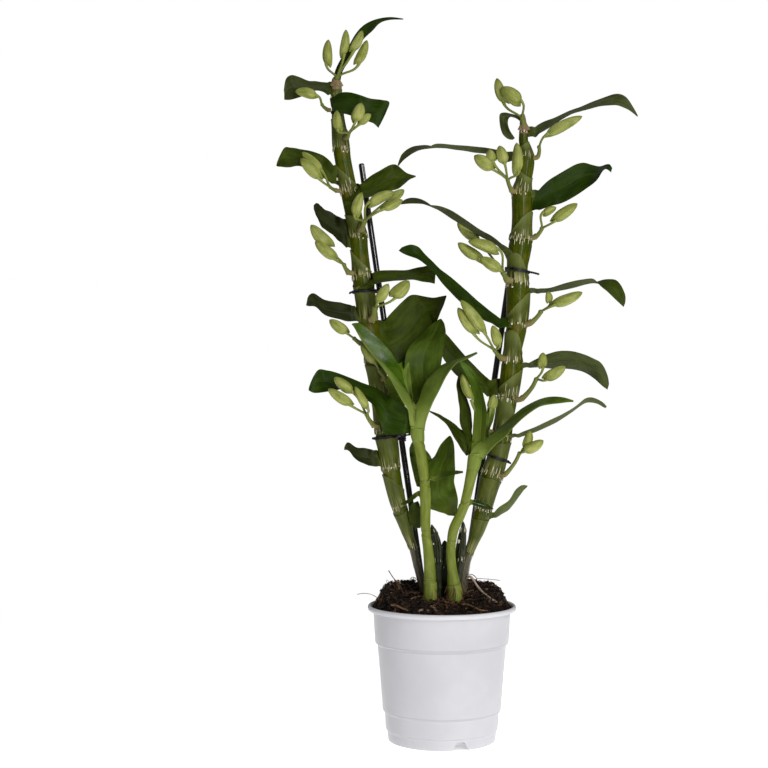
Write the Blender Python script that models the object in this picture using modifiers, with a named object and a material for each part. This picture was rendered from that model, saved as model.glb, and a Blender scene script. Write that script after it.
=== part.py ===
# Potted dendrobium orchid in bud.
#
# The plant stands in a round tapered pot. Two ripe canes lean apart, each
# tied to a thin stake; two young leafy shoots and three old cane stumps rise
# between them. Every leaf, every bud spray, every tie and every cane is its
# own object. Metres, +Z up, the viewer looks along +Y, and the origin is the
# middle of the pot's flat underside.

import math

import bpy
import bmesh
from mathutils import Matrix, Vector, noise

for ob in list(bpy.data.objects):
    bpy.data.objects.remove(ob, do_unlink=True)

# ---------------------------------------------------------------------------
# driving dimensions (m)
# ---------------------------------------------------------------------------
POT_HEIGHT = 0.1090         # floor to rim
POT_RIM_R = 0.0600          # outside of the rolled rim, a 120 mm pot
POT_LIP = 0.0042            # height of the rim band
POT_WALL = 0.0013
POT_SEGMENTS = 40
STEP_1, STEP_2, STEP_3 = 0.0783, 0.0236, 0.0086    # heights of the three steps
NOTCHES = 3                 # drain notches round the foot
NOTCH_TURN = 18.0           # degrees, first notch right of the front
MEDIUM_GAP = 0.0004         # between the growing medium and the pot
SOCKET_GAP = 0.0005         # round every stem that stands in the medium
LEAF_THICK = 0.0009
CLEAR = 0.0004

# ---------------------------------------------------------------------------
# front-elevation grid
# The shapes are read off a front elevation with 768 units across and down.
# One unit is K0 at the pot's axis; u runs to the right, v runs down, and the
# depth y is given in millimetres (negative is towards the viewer).
# ---------------------------------------------------------------------------
F = 1550.0          # viewing distance in grid units
D = 1.256           # viewing distance (m)
CX = -0.04675       # where the grid's centre line stands
CZ = 0.2876         # height of the grid's middle row


def at(u, v, y=0.0):
    k = (D + y * 0.001) / F
    return Vector((CX + (u - 384.0) * k, y * 0.001, CZ + (384.0 - v) * k))


def size(units, y=0.0):
    return units * (D + y * 0.001) / F


# canes and shoots: (u, v, width, y)
CANE_LEFT = [(424.0, 612, 6.5, 9), (424.0, 592, 6.5, 9), (421.0, 582, 7.0, 8.5), (417.0, 566, 7.4, 8),
             (412.6, 547, 8.4, 8), (407, 531, 11.5, 8), (399.6, 508, 15.3, 8), (395, 490, 17.5, 7.5),
             (391, 469, 19.2, 7), (388.7, 451, 21.2, 7), (386.3, 437, 22.2, 7), (383.6, 420, 20.6, 7),
             (382, 405, 20.0, 7), (379.5, 390, 19.5, 7), (377, 375, 19.5, 7), (374.4, 360, 20.5, 6.5),
             (372, 345, 19.5, 6), (370, 332, 19.3, 6), (368, 319, 20.6, 5.5), (366.2, 305, 20.8, 5),
             (364.4, 291, 21.2, 5), (361.9, 276, 20.2, 4.5), (360.6, 262, 18.6, 4.5), (359.2, 248, 18.2, 4),
             (358.4, 236, 18.4, 4), (355.6, 224, 17.4, 3.5), (352.6, 210, 17.2, 3), (348.8, 191, 17.6, 2.5),
             (345.6, 175, 17.4, 2), (342.9, 160, 17.0, 1.5), (341.4, 149, 17.6, 1), (340, 136, 16.6, 1),
             (338.2, 120, 13.6, 0.5), (337.2, 106, 11.8, 0), (336.6, 96, 11.6, 0), (336.6, 88, 9.6, 0)]
CANE_RIGHT = [(463.0, 610, 7.0, 8), (463.5, 588, 7.2, 8), (464.6, 570, 8.4, 8), (469, 553, 9.2, 8),
              (473.4, 541, 11.0, 8), (477.4, 530, 14.4, 8), (481.4, 515, 17.4, 8), (483.2, 508, 18.0, 7.5),
              (486.4, 495, 19.4, 7), (489.7, 482, 21.4, 7), (492.2, 474.5, 22.6, 7), (497.2, 458, 20.6, 7),
              (501.0, 441, 20.4, 7), (502.4, 430, 20.0, 7), (505, 414, 19.6, 6.5), (507.3, 400, 20.6, 6),
              (509.4, 386, 22.0, 6), (511.3, 371, 22.4, 5.5), (512.0, 360.5, 21.6, 5), (512.8, 350, 18.8, 5),
              (514.6, 338, 20.6, 4.5), (516.6, 326, 21.8, 4.5), (517.6, 308, 24.2, 4), (518.0, 296, 24.4, 4),
              (517.6, 284, 23.8, 3.5), (517.4, 268, 21.4, 3.5), (519.0, 254, 23.6, 3), (520.8, 241, 24.2, 3),
              (521.6, 228, 21.6, 2.5), (522, 215, 21.2, 2), (522, 193, 21.2, 1.5), (524, 180, 16.4, 1.5),
              (525.8, 166, 17.2, 1), (526.8, 157, 15.6, 1), (526.2, 149, 11.0, 0.5), (523.6, 142, 10.0, 0),
              (523.4, 132, 9.2, 0)]
SHOOT_LEFT = [(430.5, 616, 13.0, -13), (430.3, 598, 13.2, -13), (430.3, 585, 13.0, -13), (429.9, 579, 12.2, -13),
              (429.6, 567, 11.2, -13), (428.0, 549, 9.8, -13), (426.4, 536, 9.4, -12.5), (425.4, 522, 9.8, -12.5),
              (425.5, 502, 10.6, -12), (425.1, 490, 10.6, -12), (424.6, 480, 9.6, -12), (422.4, 464, 10.8, -12),
              (419.6, 448, 11.0, -12), (417.2, 434, 12.4, -12), (416.6, 424, 12.6, -12)]
SHOOT_RIGHT = [(455.0, 610, 15.0, -9), (454.9, 592, 15.4, -9), (453.6, 583, 13.4, -9.5), (452.4, 572, 10.0, -10),
               (450.8, 556, 9.2, -10), (451.4, 543, 9.2, -10), (453.8, 529, 9.8, -10), (459.4, 517, 9.8, -10.5),
               (464.2, 505, 9.4, -11), (467.8, 491, 9.6, -11), (470.6, 478, 10.6, -11), (473.2, 466, 12.0, -11),
               (475.0, 455, 12.6, -11)]
OLD_CANES = {
    "old_cane_middle": [(443.5, 608, 9.0, 5), (443.5, 585, 9.2, 5), (443.8, 565, 8.2, 5), (444.4, 548, 7.4, 5), (444.8, 541, 5.8, 5)],
    "old_cane_left": [(437.4, 606, 7.4, -3), (437.4, 585, 7.8, -3), (437.2, 566, 9.0, -3), (436.6, 549, 10.4, -3), (434.6, 537, 8.4, -3), (431.8, 525, 3.6, -3)],
    "old_cane_right": [(457.4, 606, 6.4, 0), (457.4, 585, 6.4, 0), (458.8, 565, 8.2, 1), (461.4, 545, 9.6, 1.5), (463.0, 530, 6.0, 2), (463.2, 522, 3.2, 2)],
}
NODES_LEFT = [566, 547, 508, 469, 431, 397, 360, 319, 276, 236, 191, 149, 96]
NODES_RIGHT = [553, 509, 474.5, 437, 399, 360.5, 325, 284, 240, 193, 157, 131]

# stakes: lower end, upper end (u, v, y), thickness in units
STAKES = {
    "stake_left": ((427.5, 618, 17), (361.2, 163.5, 23), 5.9),
    "stake_right": ((459.5, 618, 19), (512.2, 258, 22), 5.9),
}

# leaves: rows run from the base to the tip, one row across the blade each:
# (u, v of the upper margin, u, v of the lower margin, y of the middle, side)
# side +1 shows the blade's upper face, -1 its underside.
LEAVES = {
    "leaf_left_01": dict(w=13, side=1, rows=[
        (334.2, 75, 341.4, 75.5, 1), (337, 66, 344.6, 67.5, 2), (342, 57, 350, 59.5, 3), (348.6, 46, 357, 48.5, 4),
        (355, 34.5, 363.6, 39, 5), (364, 25, 372, 31, 5), (376, 19.4, 380, 23.2, 4), (390, 17, 390.4, 19.8, 2),
        (403.4, 18.6, 403, 19.6, 0)]),
    "leaf_left_02": dict(w=24, side=1, rows=[
        (329.4, 82.6, 329.6, 96.5, -1), (322, 82, 323, 92, -3), (314, 81.5, 314, 91, -4), (306, 79.6, 306.5, 94.6, -5),
        (297.4, 76.4, 300, 97.2, -6), (290.5, 75.2, 293, 99.2, -6), (285.8, 79, 287.6, 100, -5), (283.8, 90, 284.2, 99.6, -4)]),
    "leaf_left_03": dict(w=25, side=1, rows=[
        (332.4, 97, 332, 111.5, -11), (340.6, 93, 342, 113, -12), (351, 92.4, 352.6, 116, -12.5), (360.5, 95, 361.5, 120, -12.5),
        (370, 98.5, 368.5, 121.6, -12), (380.5, 99.8, 373, 123, -12), (389.4, 102, 376, 125.5, -11.5), (386.6, 111.5, 377.4, 127, -11),
        (380, 125, 378.4, 127.8, -10)]),
    "leaf_left_04": dict(w=24, side=1, rows=[
        (335, 167.5, 333.4, 185, -2), (329.4, 160.4, 326.6, 180, -3), (321.6, 155, 317.4, 174.5, -4), (311.6, 151, 307.4, 169.5, -5),
        (300.4, 149, 298.6, 166, -5), (291.4, 148, 290.4, 167, -5), (284.8, 147.2, 282.4, 167, -4.5), (280, 155, 278, 166.6, -4),
        (277.2, 162, 276.2, 165.6, -4)]),
    "leaf_left_05": dict(w=27, side=1, rows=[
        (353.4, 188.6, 354.6, 199, -9), (359.6, 184.4, 361.6, 198.6, -9), (367, 179, 369, 196.8, -8), (376.6, 172.4, 378.6, 194.6, -7),
        (386.4, 166.5, 388.4, 191.6, -6), (394.4, 164.4, 397, 189, -5), (401, 168.4, 404, 184.4, -4), (408, 173.4, 409.4, 179.8, -3),
        (416, 175.8, 415.6, 177, -2)]),
    "leaf_left_06": dict(w=31, side=1, rows=[
        (344.4, 219.4, 347.4, 249, 3), (338, 216.2, 341, 242.4, 3), (330.4, 212.2, 333.8, 236.2, 2.5), (324, 208.4, 326.8, 230.8, 2),
        (319, 204.6, 320.8, 225, 1.5), (316, 203, 316.4, 216.4, 1), (313.6, 205.6, 313.8, 209.4, 1)]),
    "leaf_left_07": dict(w=23, side=1, rows=[
        (356.6, 277.4, 357, 290.4, -11.5), (365.6, 275.4, 366.4, 287, -12), (375, 272, 376, 283.6, -11), (385.6, 270.4, 386, 282, -10),
        (397.6, 270, 398, 280.6, -9.5), (409.6, 269.6, 410, 279.4, -9), (421.4, 267, 421, 281.6, -8), (431.4, 265.4, 429.4, 282.6, -7),
        (436, 272, 434.8, 283.8, -6)]),
    "leaf_left_08": dict(w=23, side=1, rows=[
        (354.4, 306.4, 354.6, 321, -1), (349, 304.4, 349.4, 321.4, -2), (342, 302.8, 342, 320, -3), (334, 301.8, 333.4, 318, -4),
        (326, 300, 326, 315.4, -5), (319, 296.4, 319, 309.6, -5), (312.4, 293.4, 313.6, 306.4, -5), (308, 296.6, 309, 306.2, -4),
        (306.6, 303, 306, 305.4, -3)]),
    "leaf_left_09": dict(w=36, side=1, rows=[
        (383.4, 323, 387, 364, 10), (388, 316.6, 402, 366, 13), (395, 309, 416, 358, 15), (403, 301, 426, 346, 16),
        (411, 295, 433, 333, 16), (421, 295.6, 437, 322, 15), (432, 298, 441, 311, 14), (440, 296.4, 444.6, 302, 12),
        (446.2, 295.4, 446.4, 296.8, 10)]),
    "leaf_left_10": dict(w=25, side=1, rows=[
        (410, 413, 409.6, 433.6, -21), (405, 406, 398.4, 434, -20), (394, 399, 384, 432, -18), (384, 393, 374.6, 407, -15.5),
        (374, 387.5, 363, 399, -12), (362, 382.5, 352, 393, -10), (350, 377.5, 343, 389, -8.5), (338, 373, 334, 390.5, -8),
        (327, 370.5, 324, 392.3, -8), (318.5, 369.6, 315, 393, -7), (312.5, 378, 311, 391.8, -7), (309, 387, 308.5, 390.3, -6)]),
    "leaf_left_11": dict(w=20, side=1, rows=[
        (374.6, 450.6, 377.4, 466.8, 4), (370, 449, 371.6, 466, 4), (363.4, 448, 364.6, 464, 3.5), (356, 447, 357.5, 460.5, 3),
        (350.5, 443.6, 351.5, 454, 2), (347, 442.4, 347.5, 450.2, 1.5), (344.4, 447, 344.2, 450, 1)]),
    "leaf_right_01": dict(w=11, side=1, rows=[
        (516.6, 115.4, 516.6, 118.4, -1), (511, 113.8, 511.6, 116.6, -2), (505, 112.3, 509, 118, -3), (500, 114, 508, 121, -3),
        (499.4, 120, 508, 125, -3), (500.4, 128, 509.4, 129.4, -3), (503, 134.6, 511.4, 133, -3.5), (508, 139, 513.4, 135.8, -4),
        (512.8, 139.8, 515, 138, -4)]),
    "leaf_right_02": dict(w=20, side=1, rows=[
        (532.6, 129, 533.6, 141, -1), (537, 125.4, 538, 134.4, -2), (544, 121.6, 545, 130.2, -3), (552, 118.3, 553, 125.4, -4),
        (561, 114.4, 562, 119, -4.5), (571, 110.5, 572, 112.4, -5), (580, 107.2, 581, 110.2, -6, -1), (590, 103, 591, 108, -7, -1),
        (600, 99, 600.4, 105.6, -8, -1), (609, 95.4, 609, 104.6, -8, 1), (618, 94, 617, 105.4, -8), (626, 97, 624, 107.6, -8),
        (632, 105, 630, 110.8, -8), (638, 115.6, 637.4, 116.8, -8)]),
    "leaf_right_03": dict(w=20, side=-1, rows=[
        (512.0, 152.6, 512.4, 166, -1), (504, 151, 504, 159.6, -2), (495, 149.6, 495, 156, -4), (485, 147.8, 485, 153.6, -6),
        (475, 146.7, 475, 152.8, -8), (465, 145.5, 465, 150.8, -10), (455, 144.6, 455, 149.3, -12), (445, 144.1, 445, 147.9, -13),
        (435, 144.4, 435, 147.2, -14), (427, 145.2, 427, 148.2, -14, 1), (419, 145.4, 419.6, 150, -14, 1), (411.4, 146.9, 413, 153, -14, 1),
        (405, 151, 407.4, 157, -13, 1), (400.6, 156.4, 402.4, 161.4, -12, 1), (397.6, 165, 398.6, 166, -11, 1)]),
    "leaf_right_04": dict(w=28, side=1, rows=[
        (536.6, 192.4, 536.4, 211.2, -2), (541.4, 187, 544, 208.4, -3), (549, 180, 552, 205.6, -4), (558, 174.4, 562, 203, -5),
        (567.4, 168.8, 572.4, 197.8, -6), (576, 164.2, 583, 191, -6.5), (584, 163, 592, 184.4, -7), (592, 165, 598, 178, -7),
        (599, 166.2, 602.6, 171.6, -7), (605, 164.5, 606, 169.2, -7), (609.5, 164.4, 609.4, 171, -7), (612.3, 168, 611, 172.4, -7)]),
    "leaf_right_05": dict(w=20, side=-1, rows=[
        (504.6, 246.4, 505.4, 256, -2), (499, 241.6, 499.6, 247.6, -4), (491, 235.8, 490, 241.4, -6), (482, 230.5, 480, 236, -11),
        (472, 223.8, 469, 229.3, -15), (462, 217.3, 458, 223, -16.5), (452, 211, 449, 217.3, -16.5), (442, 207, 440, 211, -15),
        (434.6, 205.1, 434, 206.8, -16), (427, 202, 427, 204.2, -17, 1), (419, 198.8, 419, 203.8, -17, 1), (411, 197.8, 411, 203.6, -17, 1),
        (405, 199.5, 405, 204, -17, 1), (399.5, 203.4, 399.5, 204.6, -16, 1)]),
    "leaf_right_06": dict(w=22, side=-1, rows=[
        (533.8, 289, 534.2, 294.8, 0), (540, 288.6, 540.4, 292.8, -1), (548, 288.4, 548, 291.6, -2), (556, 286, 557, 290.6, -2),
        (565, 283, 566, 289.6, -3), (575, 280.5, 576, 287.4, -4), (585, 279.5, 586, 284.3, -5), (594, 279.4, 594.4, 282.2, -6),
        (603, 279.3, 600.4, 285.5, -7, 1), (611, 279.3, 607, 291, -7, 1), (617, 280.8, 612, 296, -7, 1), (622, 287, 617, 301, -7, 1),
        (625.5, 296, 621, 304.6, -7, 1), (625.2, 303, 623.6, 307, -7, 1)]),
    "leaf_right_07": dict(w=22, side=1, rows=[
        (503.4, 320.6, 503.6, 332, -10.5), (497, 316, 493, 324, -10), (488, 309.5, 483, 320, -9), (478, 301.5, 472, 311, -9),
        (468, 291.5, 461, 302, -10), (458, 283, 451, 293, -11), (448, 275, 442, 283.5, -12), (439, 268.5, 434.6, 273, -13),
        (431, 260, 427, 265.5, -13), (424, 252.5, 419, 259.5, -13), (418, 246.6, 410, 256.5, -13), (410, 244.6, 403, 253.5, -12),
        (401.6, 247.4, 398.6, 250.6, -11)]),
    "leaf_right_08": dict(w=24, side=-1, rows=[
        (526.2, 364.6, 526.8, 368, 1), (532, 361, 533, 367.6, 1), (539, 357.6, 540, 367.4, 1), (547, 354.5, 548, 368, 1),
        (556, 351.6, 557, 368.6, 0), (565, 350.6, 565, 369, -1), (574, 351.2, 573, 369.4, -2), (584, 354.6, 581, 371, -3),
        (593, 358.5, 588, 374, -4), (600, 361.8, 594, 378.6, -5), (604.6, 368, 599, 383, -6), (608, 377, 603, 386.6, -6),
        (609, 384, 607.4, 389.8, -6)]),
    "leaf_right_09": dict(w=23, side=1, rows=[
        (492.0, 381.6, 489.4, 398.6, 9), (485.4, 376.2, 482.4, 392, 10), (477, 368.4, 472, 386, 11), (469, 360, 464, 381, 12),
        (461, 351, 456, 375, 12), (453.6, 342.4, 450, 368, 12), (447.4, 335.2, 443, 358, 12), (441, 329, 437, 345, 12),
        (434, 325, 433, 330, 11)]),
    "leaf_right_10": dict(w=18, side=-1, rows=[
        (514.8, 435.6, 515, 438.4, 1), (521, 432.6, 521, 436.6, 0.5), (529, 429.4, 529, 434.2, 0), (538, 425.3, 538, 431, 0),
        (548, 421, 548, 426.5, -1), (557, 417, 557, 421.7, -2), (564, 413.5, 565, 415.8, -3), (571, 409.2, 572, 410.8, -4),
        (578, 403.8, 579, 406, -4), (585, 398.8, 586, 402.9, -4), (592, 397.6, 593, 402.6, -4), (599, 400, 598, 404, -4),
        (604, 403.3, 602.5, 406.7, -4), (606.8, 406.6, 605.4, 408.2, -4)]),
    "leaf_right_11": dict(w=14, side=-1, rows=[
        (493.2, 513.4, 494.4, 518.4, 4), (497, 509, 500, 515.4, 3), (503, 504.6, 507, 511, 2), (508.6, 500.4, 512, 506, 1),
        (514, 492.5, 517.2, 499.5, 0), (518.5, 487, 521.6, 492.6, 0), (523, 485, 525, 489, 0), (527.6, 485.6, 527.2, 487, 0)]),
    "shoot_left_leaf_1": dict(w=26, side=1, rows=[
        (416.6, 406, 408.4, 410, -21), (412.4, 399, 403.4, 402, -21.5), (409, 391, 398, 392.6, -22), (403.6, 377, 391, 380, -22), (399, 365, 382, 366.6, -23),
        (392.6, 353.4, 372, 354.6, -24), (384.6, 344, 364, 344, -25), (375.6, 336, 358.2, 334, -25.5), (366, 327.4, 355, 328.4, -26),
        (359, 323, 353, 325.4, -26), (352.4, 323.4, 351.8, 324.6, -26)]),
    "shoot_left_leaf_2": dict(w=36, side=1, rows=[
        (411.5, 404, 428, 406, -2.6), (408.6, 394, 433, 396, -2), (406, 380, 437.5, 382, -1.4),
        (404.5, 365, 441, 365, -1), (407, 351, 443, 351, -0.4), (414, 341, 445, 338, 0), (423, 332, 445.2, 330, 0.4),
        (431, 325, 444.5, 324, 0.8), (438, 320, 442.5, 320.4, 1), (440.2, 318.8, 441.4, 319, 1)]),
    "shoot_left_leaf_3": dict(w=11, side=1, rows=[
        (405.8, 406, 412.6, 406, -16), (403.6, 396, 413, 396, -16), (402.4, 383, 412.4, 383, -16), (403, 370, 410.6, 370, -16), (405.6, 363, 407.4, 363, -15.5)]),
    "shoot_left_leaf_4": dict(w=22, side=1, rows=[
        (421.4, 401, 431.8, 403.4, -12), (424, 393, 435, 396, -13), (427.4, 385, 439, 388.6, -14), (432, 376, 443, 381, -14.5),
        (439, 367, 449.5, 369, -15), (448, 362, 457, 362.7, -16), (458, 358.6, 464, 360, -16.5), (467, 355.5, 470, 357.5, -17),
        (476.4, 351.8, 477.6, 353.4, -17)]),
    "shoot_left_leaf_5": dict(w=20, side=1, rows=[
        (417.4, 488, 424.4, 488, 7), (414.6, 479, 431, 481, 8), (412, 468, 434, 470, 8), (410, 458, 431, 457, 8),
        (409.3, 449, 423, 447, 8), (412, 442, 415.6, 441.4, 8)]),
    "shoot_left_leaf_6": dict(w=10, side=1, rows=[
        (433, 477.2, 433, 481.4, -14), (441, 474, 442, 478.4, -13.5), (450, 471.2, 451, 475.4, -12.5), (457, 470.6, 457.6, 474, -10.8),
        (463, 471, 463, 473, -9)]),
    "shoot_left_leaf_7": dict(w=9, side=1, rows=[
        (417.6, 491, 417.6, 496.4, -8), (413, 494.4, 412.6, 500.4, -7), (407, 500, 408, 503.4, -6), (401, 503, 401.4, 505, -5)]),
    "shoot_right_leaf_1": dict(w=21, side=1, rows=[
        (466.4, 433.6, 461, 449, -8), (460.6, 428.8, 455.6, 439.4, -8.5), (455, 424.4, 450.6, 431, -9),
        (449.4, 420.4, 446.2, 424.2, -10), (443, 416, 441, 419, -11), (436, 413, 435, 415.4, -12), (428.6, 410.2, 428.8, 411.4, -13)]),
    "shoot_right_leaf_2": dict(w=20, side=1, rows=[
        (472.8, 440, 482.4, 440, -9), (472.8, 428, 484.4, 428, -9.4), (473.6, 414, 486, 414, -10), (473.5, 400, 485, 402, -11), (471, 388, 482.5, 390, -12),
        (467, 377.5, 478.5, 378, -12.5), (463, 369, 471, 368, -13), (459, 361.4, 461, 360.4, -13.5)]),
    "shoot_right_leaf_3": dict(w=11, side=1, rows=[
        (486.4, 430, 492.6, 427.4, -11), (486.4, 421, 494.2, 420, -11), (488.6, 412.6, 496, 412.4, -11), (493.6, 407, 497, 406.8, -11)]),
    "shoot_right_leaf_4": dict(w=23, side=1, rows=[
        (484.6, 438.6, 490.6, 449.6, -14), (492, 432.4, 497, 443, -14.5), (501, 425.4, 505.4, 436.4, -15),
        (511, 417.8, 513.4, 427, -16), (521, 409.4, 522, 418.6, -17), (531, 403.2, 531, 411.6, -18), (541, 398.6, 540, 406.2, -19),
        (551, 396.4, 550, 404, -20), (561, 397, 560, 403, -21), (568, 398.6, 567.6, 402, -21), (573.6, 400.4, 573.4, 401.8, -21)]),
    "shoot_right_leaf_5": dict(w=16, side=-1, rows=[
        (464.4, 434, 472.2, 434, -1), (460, 423, 472, 424, 0), (459.3, 408, 470.8, 410, 1), (458, 396, 467, 399, 2),
        (456.3, 385, 462.5, 390, 2), (458, 376.5, 460.5, 377, 2)]),
    "shoot_right_leaf_6": dict(w=36, side=1, rows=[
        (450, 516.6, 456, 514, 3), (445, 513.6, 457.4, 506, 2), (437, 510.6, 458, 499, 0),
        (424, 506, 456, 490, -4), (421, 490, 454, 481, -4.6), (423, 474, 455, 472, -5), (427, 463, 455.3, 463, -5), (434, 456, 454.6, 455, -5),
        (440, 445.5, 454, 446, -4.6), (446, 438.6, 452.6, 439.6, -4), (449.2, 435.8, 450.8, 436, -4)]),
    "shoot_right_leaf_7": dict(w=9, side=1, rows=[
        (472, 499.6, 471.6, 504.6, -8), (478, 500.4, 477.6, 506.4, -7.4), (485, 502.6, 484.6, 508.4, -7), (490, 506.4, 489.6, 509.6, -6),
        (493.4, 508.2, 493, 509.4, -5)]),
}

# bud sprays: base and hub of the common stalk (u, v, y), stalk width, then
# the buds as (tip u, v, foot u, v, width, y, y of the foot)
SPRAYS = {
    "buds_left_01": dict(base=(336.4, 83.2, -0.5), hub=(337, 77, -3), wide=6.0, buds=[
        (328.5, 39.5, 327.4, 64.5, 10.4, -6), (345.8, 29.5, 343, 55, 9.6, -7), (362.2, 30.4, 352.6, 50.5, 9.6, -7), (366.8, 40, 357.6, 63.4, 10.2, -3)]),
    "buds_left_02": dict(base=(327.4, 109.6, -5), hub=(322, 104.6, -13), wide=3.6, buds=[(295, 91.4, 316.4, 95.6, 11.2, -21)]),
    "buds_left_03": dict(base=(347, 137.4, -9.5), hub=(349, 133, -13), wide=4.0, buds=[
        (337, 110.4, 338.6, 130, 10.4, -19), (361.4, 102.8, 355, 121, 14.0, -22), (371, 114, 359.4, 123.6, 9.6, -21)]),
    "buds_left_04": dict(base=(336, 190.4, -4), hub=(330, 187, -10), wide=3.6, buds=[
        (300.6, 158.4, 319.6, 178, 12.4, -17), (302, 152, 321.4, 171, 10.6, -13)]),
    "buds_left_05": dict(base=(361.4, 229, -7.5), hub=(364.6, 221, -13), wide=5.6, buds=[
        (362.2, 192.4, 355.4, 216, 11.4, -19), (395, 192.4, 369.6, 203.4, 11.6, -16.5), (404.2, 189.6, 387.4, 200.4, 10.6, -11.5), (402.6, 199.6, 382.8, 208.6, 9.8, -20)]),
    "buds_left_06": dict(base=(348.6, 272.4, -4.5), hub=(344, 264.6, -9), wide=4.4, buds=[
        (311, 224.6, 329.6, 246.6, 14.0, -11), (315, 241.4, 335, 258.4, 12.0, -15)]),
    "buds_left_07": dict(base=(373, 318.6, -8.5), hub=(375, 308, -15), wide=6.4, buds=[
        (409, 280.6, 393.6, 297, 15.4, -21), (388.4, 283.6, 377.6, 302, 11.4, -20)]),
    "buds_left_08": dict(base=(360, 343, -6), hub=(354, 338.4, -9), wide=4.4, buds=[(329.4, 319.6, 347, 332.4, 11.8, -13)]),
    "buds_left_09": dict(base=(384.4, 378.6, -7), hub=(379, 370, -11), wide=4.2, buds=[(361, 344.6, 375.4, 363, 10.0, -13)]),
    "buds_left_10": dict(base=(373.6, 425, -6), hub=(366.6, 414.6, -16), wide=4.6, buds=[
        (334, 377.4, 352, 391.6, 12.0, -23), (328, 388.6, 350.6, 404.2, 11.4, -25), (355, 386.4, 367.6, 408, 9.0, -25.5)]),
    "buds_right_01": dict(base=(523.6, 127.6, -0.5), hub=(522, 118, -2.5), wide=5.6, buds=[
        (497, 78, 505, 102.4, 11.6, -2), (501, 87.6, 520.4, 101.6, 15.4, -9)]),
    "buds_right_02": dict(base=(537.4, 157.2, -2), hub=(539, 146.6, -6), wide=4.0, buds=[(582.4, 116.4, 547, 134.6, 11.8, -12.5)]),
    "buds_right_03": dict(base=(512, 190.6, -8), hub=(507.6, 179.6, -11), wide=4.4, buds=[
        (474.2, 155.4, 493.4, 168.2, 14.4, -15.5), (489, 149.4, 493.6, 160.4, 10.6, -19), (499.2, 145.6, 504.6, 163, 12.4, -20), (516.4, 142.6, 517.4, 172, 11.8, -14)]),
    "buds_right_04": dict(base=(535, 237.2, -2), hub=(542, 228.4, -5), wide=4.4, buds=[
        (577.4, 203.4, 554, 220.6, 12.0, -12), (556.4, 207.4, 543.4, 213.4, 8.6, -9)]),
    "buds_right_05": dict(base=(507.4, 279.6, -9), hub=(503, 272.6, -11.5), wide=5.6, buds=[
        (457.4, 222.4, 477.6, 240, 12.4, -1), (458, 242.6, 478.6, 258.6, 12.0, -10.5), (468, 241.4, 497, 250, 12.6, -17.5), (479.6, 257.6, 500.6, 270, 12.6, -18)]),
    "buds_right_06": dict(base=(530, 323.4, -2.5), hub=(541, 311.6, -5), wide=5.0, buds=[
        (582.4, 292, 553.6, 304.6, 12.0, -12), (547.6, 291.4, 549.6, 302, 8.0, -7)]),
    "buds_right_07": dict(base=(501.4, 358, -7.5), hub=(494.6, 350.4, -16), wide=4.6, buds=[
        (460.4, 300, 484, 331.4, 12.4, -25), (458, 307.4, 475, 333, 12.0, -21), (492.4, 325.4, 499, 345, 11.2, -21)]),
    "buds_right_08": dict(base=(522, 398.6, -2), hub=(536.4, 379, -5), wide=4.8, buds=[
        (543, 352.4, 542, 367.6, 10.4, -9.5), (565.4, 366.4, 545.4, 379, 12.0, -10.5)]),
    "buds_right_09": dict(base=(488.4, 431.6, -7), hub=(488.6, 424, -6.6), wide=4.6, buds=[
        (494.4, 394.4, 490.6, 409.4, 11.0, -10)]),
    "buds_right_10": dict(base=(505, 474.6, -3), hub=(519.6, 453, -7), wide=4.2, buds=[
        (543.4, 440.2, 524, 451, 12.0, -11), (530, 430.4, 526.4, 446, 9.6, -8.5)]),
}

# ---------------------------------------------------------------------------
# collections and materials
# ---------------------------------------------------------------------------
scene = bpy.context.scene
parts = bpy.data.collections.new("potted_dendrobium")
helpers = bpy.data.collections.new("cutters")
scene.collection.children.link(parts)
scene.collection.children.link(helpers)

MATERIALS = {}


def material(name, colour, roughness, metallic=0.0):
    mat = MATERIALS.get(name)
    if mat is None:
        mat = bpy.data.materials.new(name)
        mat.use_nodes = True
        bsdf = mat.node_tree.nodes["Principled BSDF"]
        bsdf.inputs["Base Color"].default_value = (*colour, 1.0)
        bsdf.inputs["Roughness"].default_value = roughness
        bsdf.inputs["Metallic"].default_value = metallic
        mat.diffuse_color = (*colour, 1.0)
        MATERIALS[name] = mat
    return mat


POT = material("pot_plastic", (0.71, 0.71, 0.73), 0.35)
SOIL = material("coir_and_bark", (0.016, 0.008, 0.005), 0.95)
LEAF = material("leaf_dark", (0.026, 0.044, 0.010), 0.42)
YOUNG = material("leaf_young", (0.060, 0.110, 0.016), 0.38)
CANE = material("cane", (0.060, 0.075, 0.012), 0.38)
SHOOT = material("shoot_stem", (0.210, 0.270, 0.055), 0.42)
OLD = material("old_cane", (0.014, 0.017, 0.008), 0.60)
BUD = material("bud", (0.330, 0.400, 0.120), 0.48)
STAKE = material("stake_plastic", (0.006, 0.006, 0.010), 0.28)
TIE = material("tie_wire", (0.006, 0.006, 0.007), 0.45)


def link(obj, where, mat=None):
    where.objects.link(obj)
    if mat is not None:
        obj.data.materials.clear()
        obj.data.materials.append(mat)
    return obj


def smooth(obj, angle=40.0):
    obj.data.shade_smooth()
    obj.data.set_sharp_from_angle(angle=math.radians(angle))


def from_bmesh(bm, name, where, mat=None):
    mesh = bpy.data.meshes.new(name)
    bm.to_mesh(mesh)
    bm.free()
    return link(bpy.data.objects.new(name, mesh), where, mat)


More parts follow.
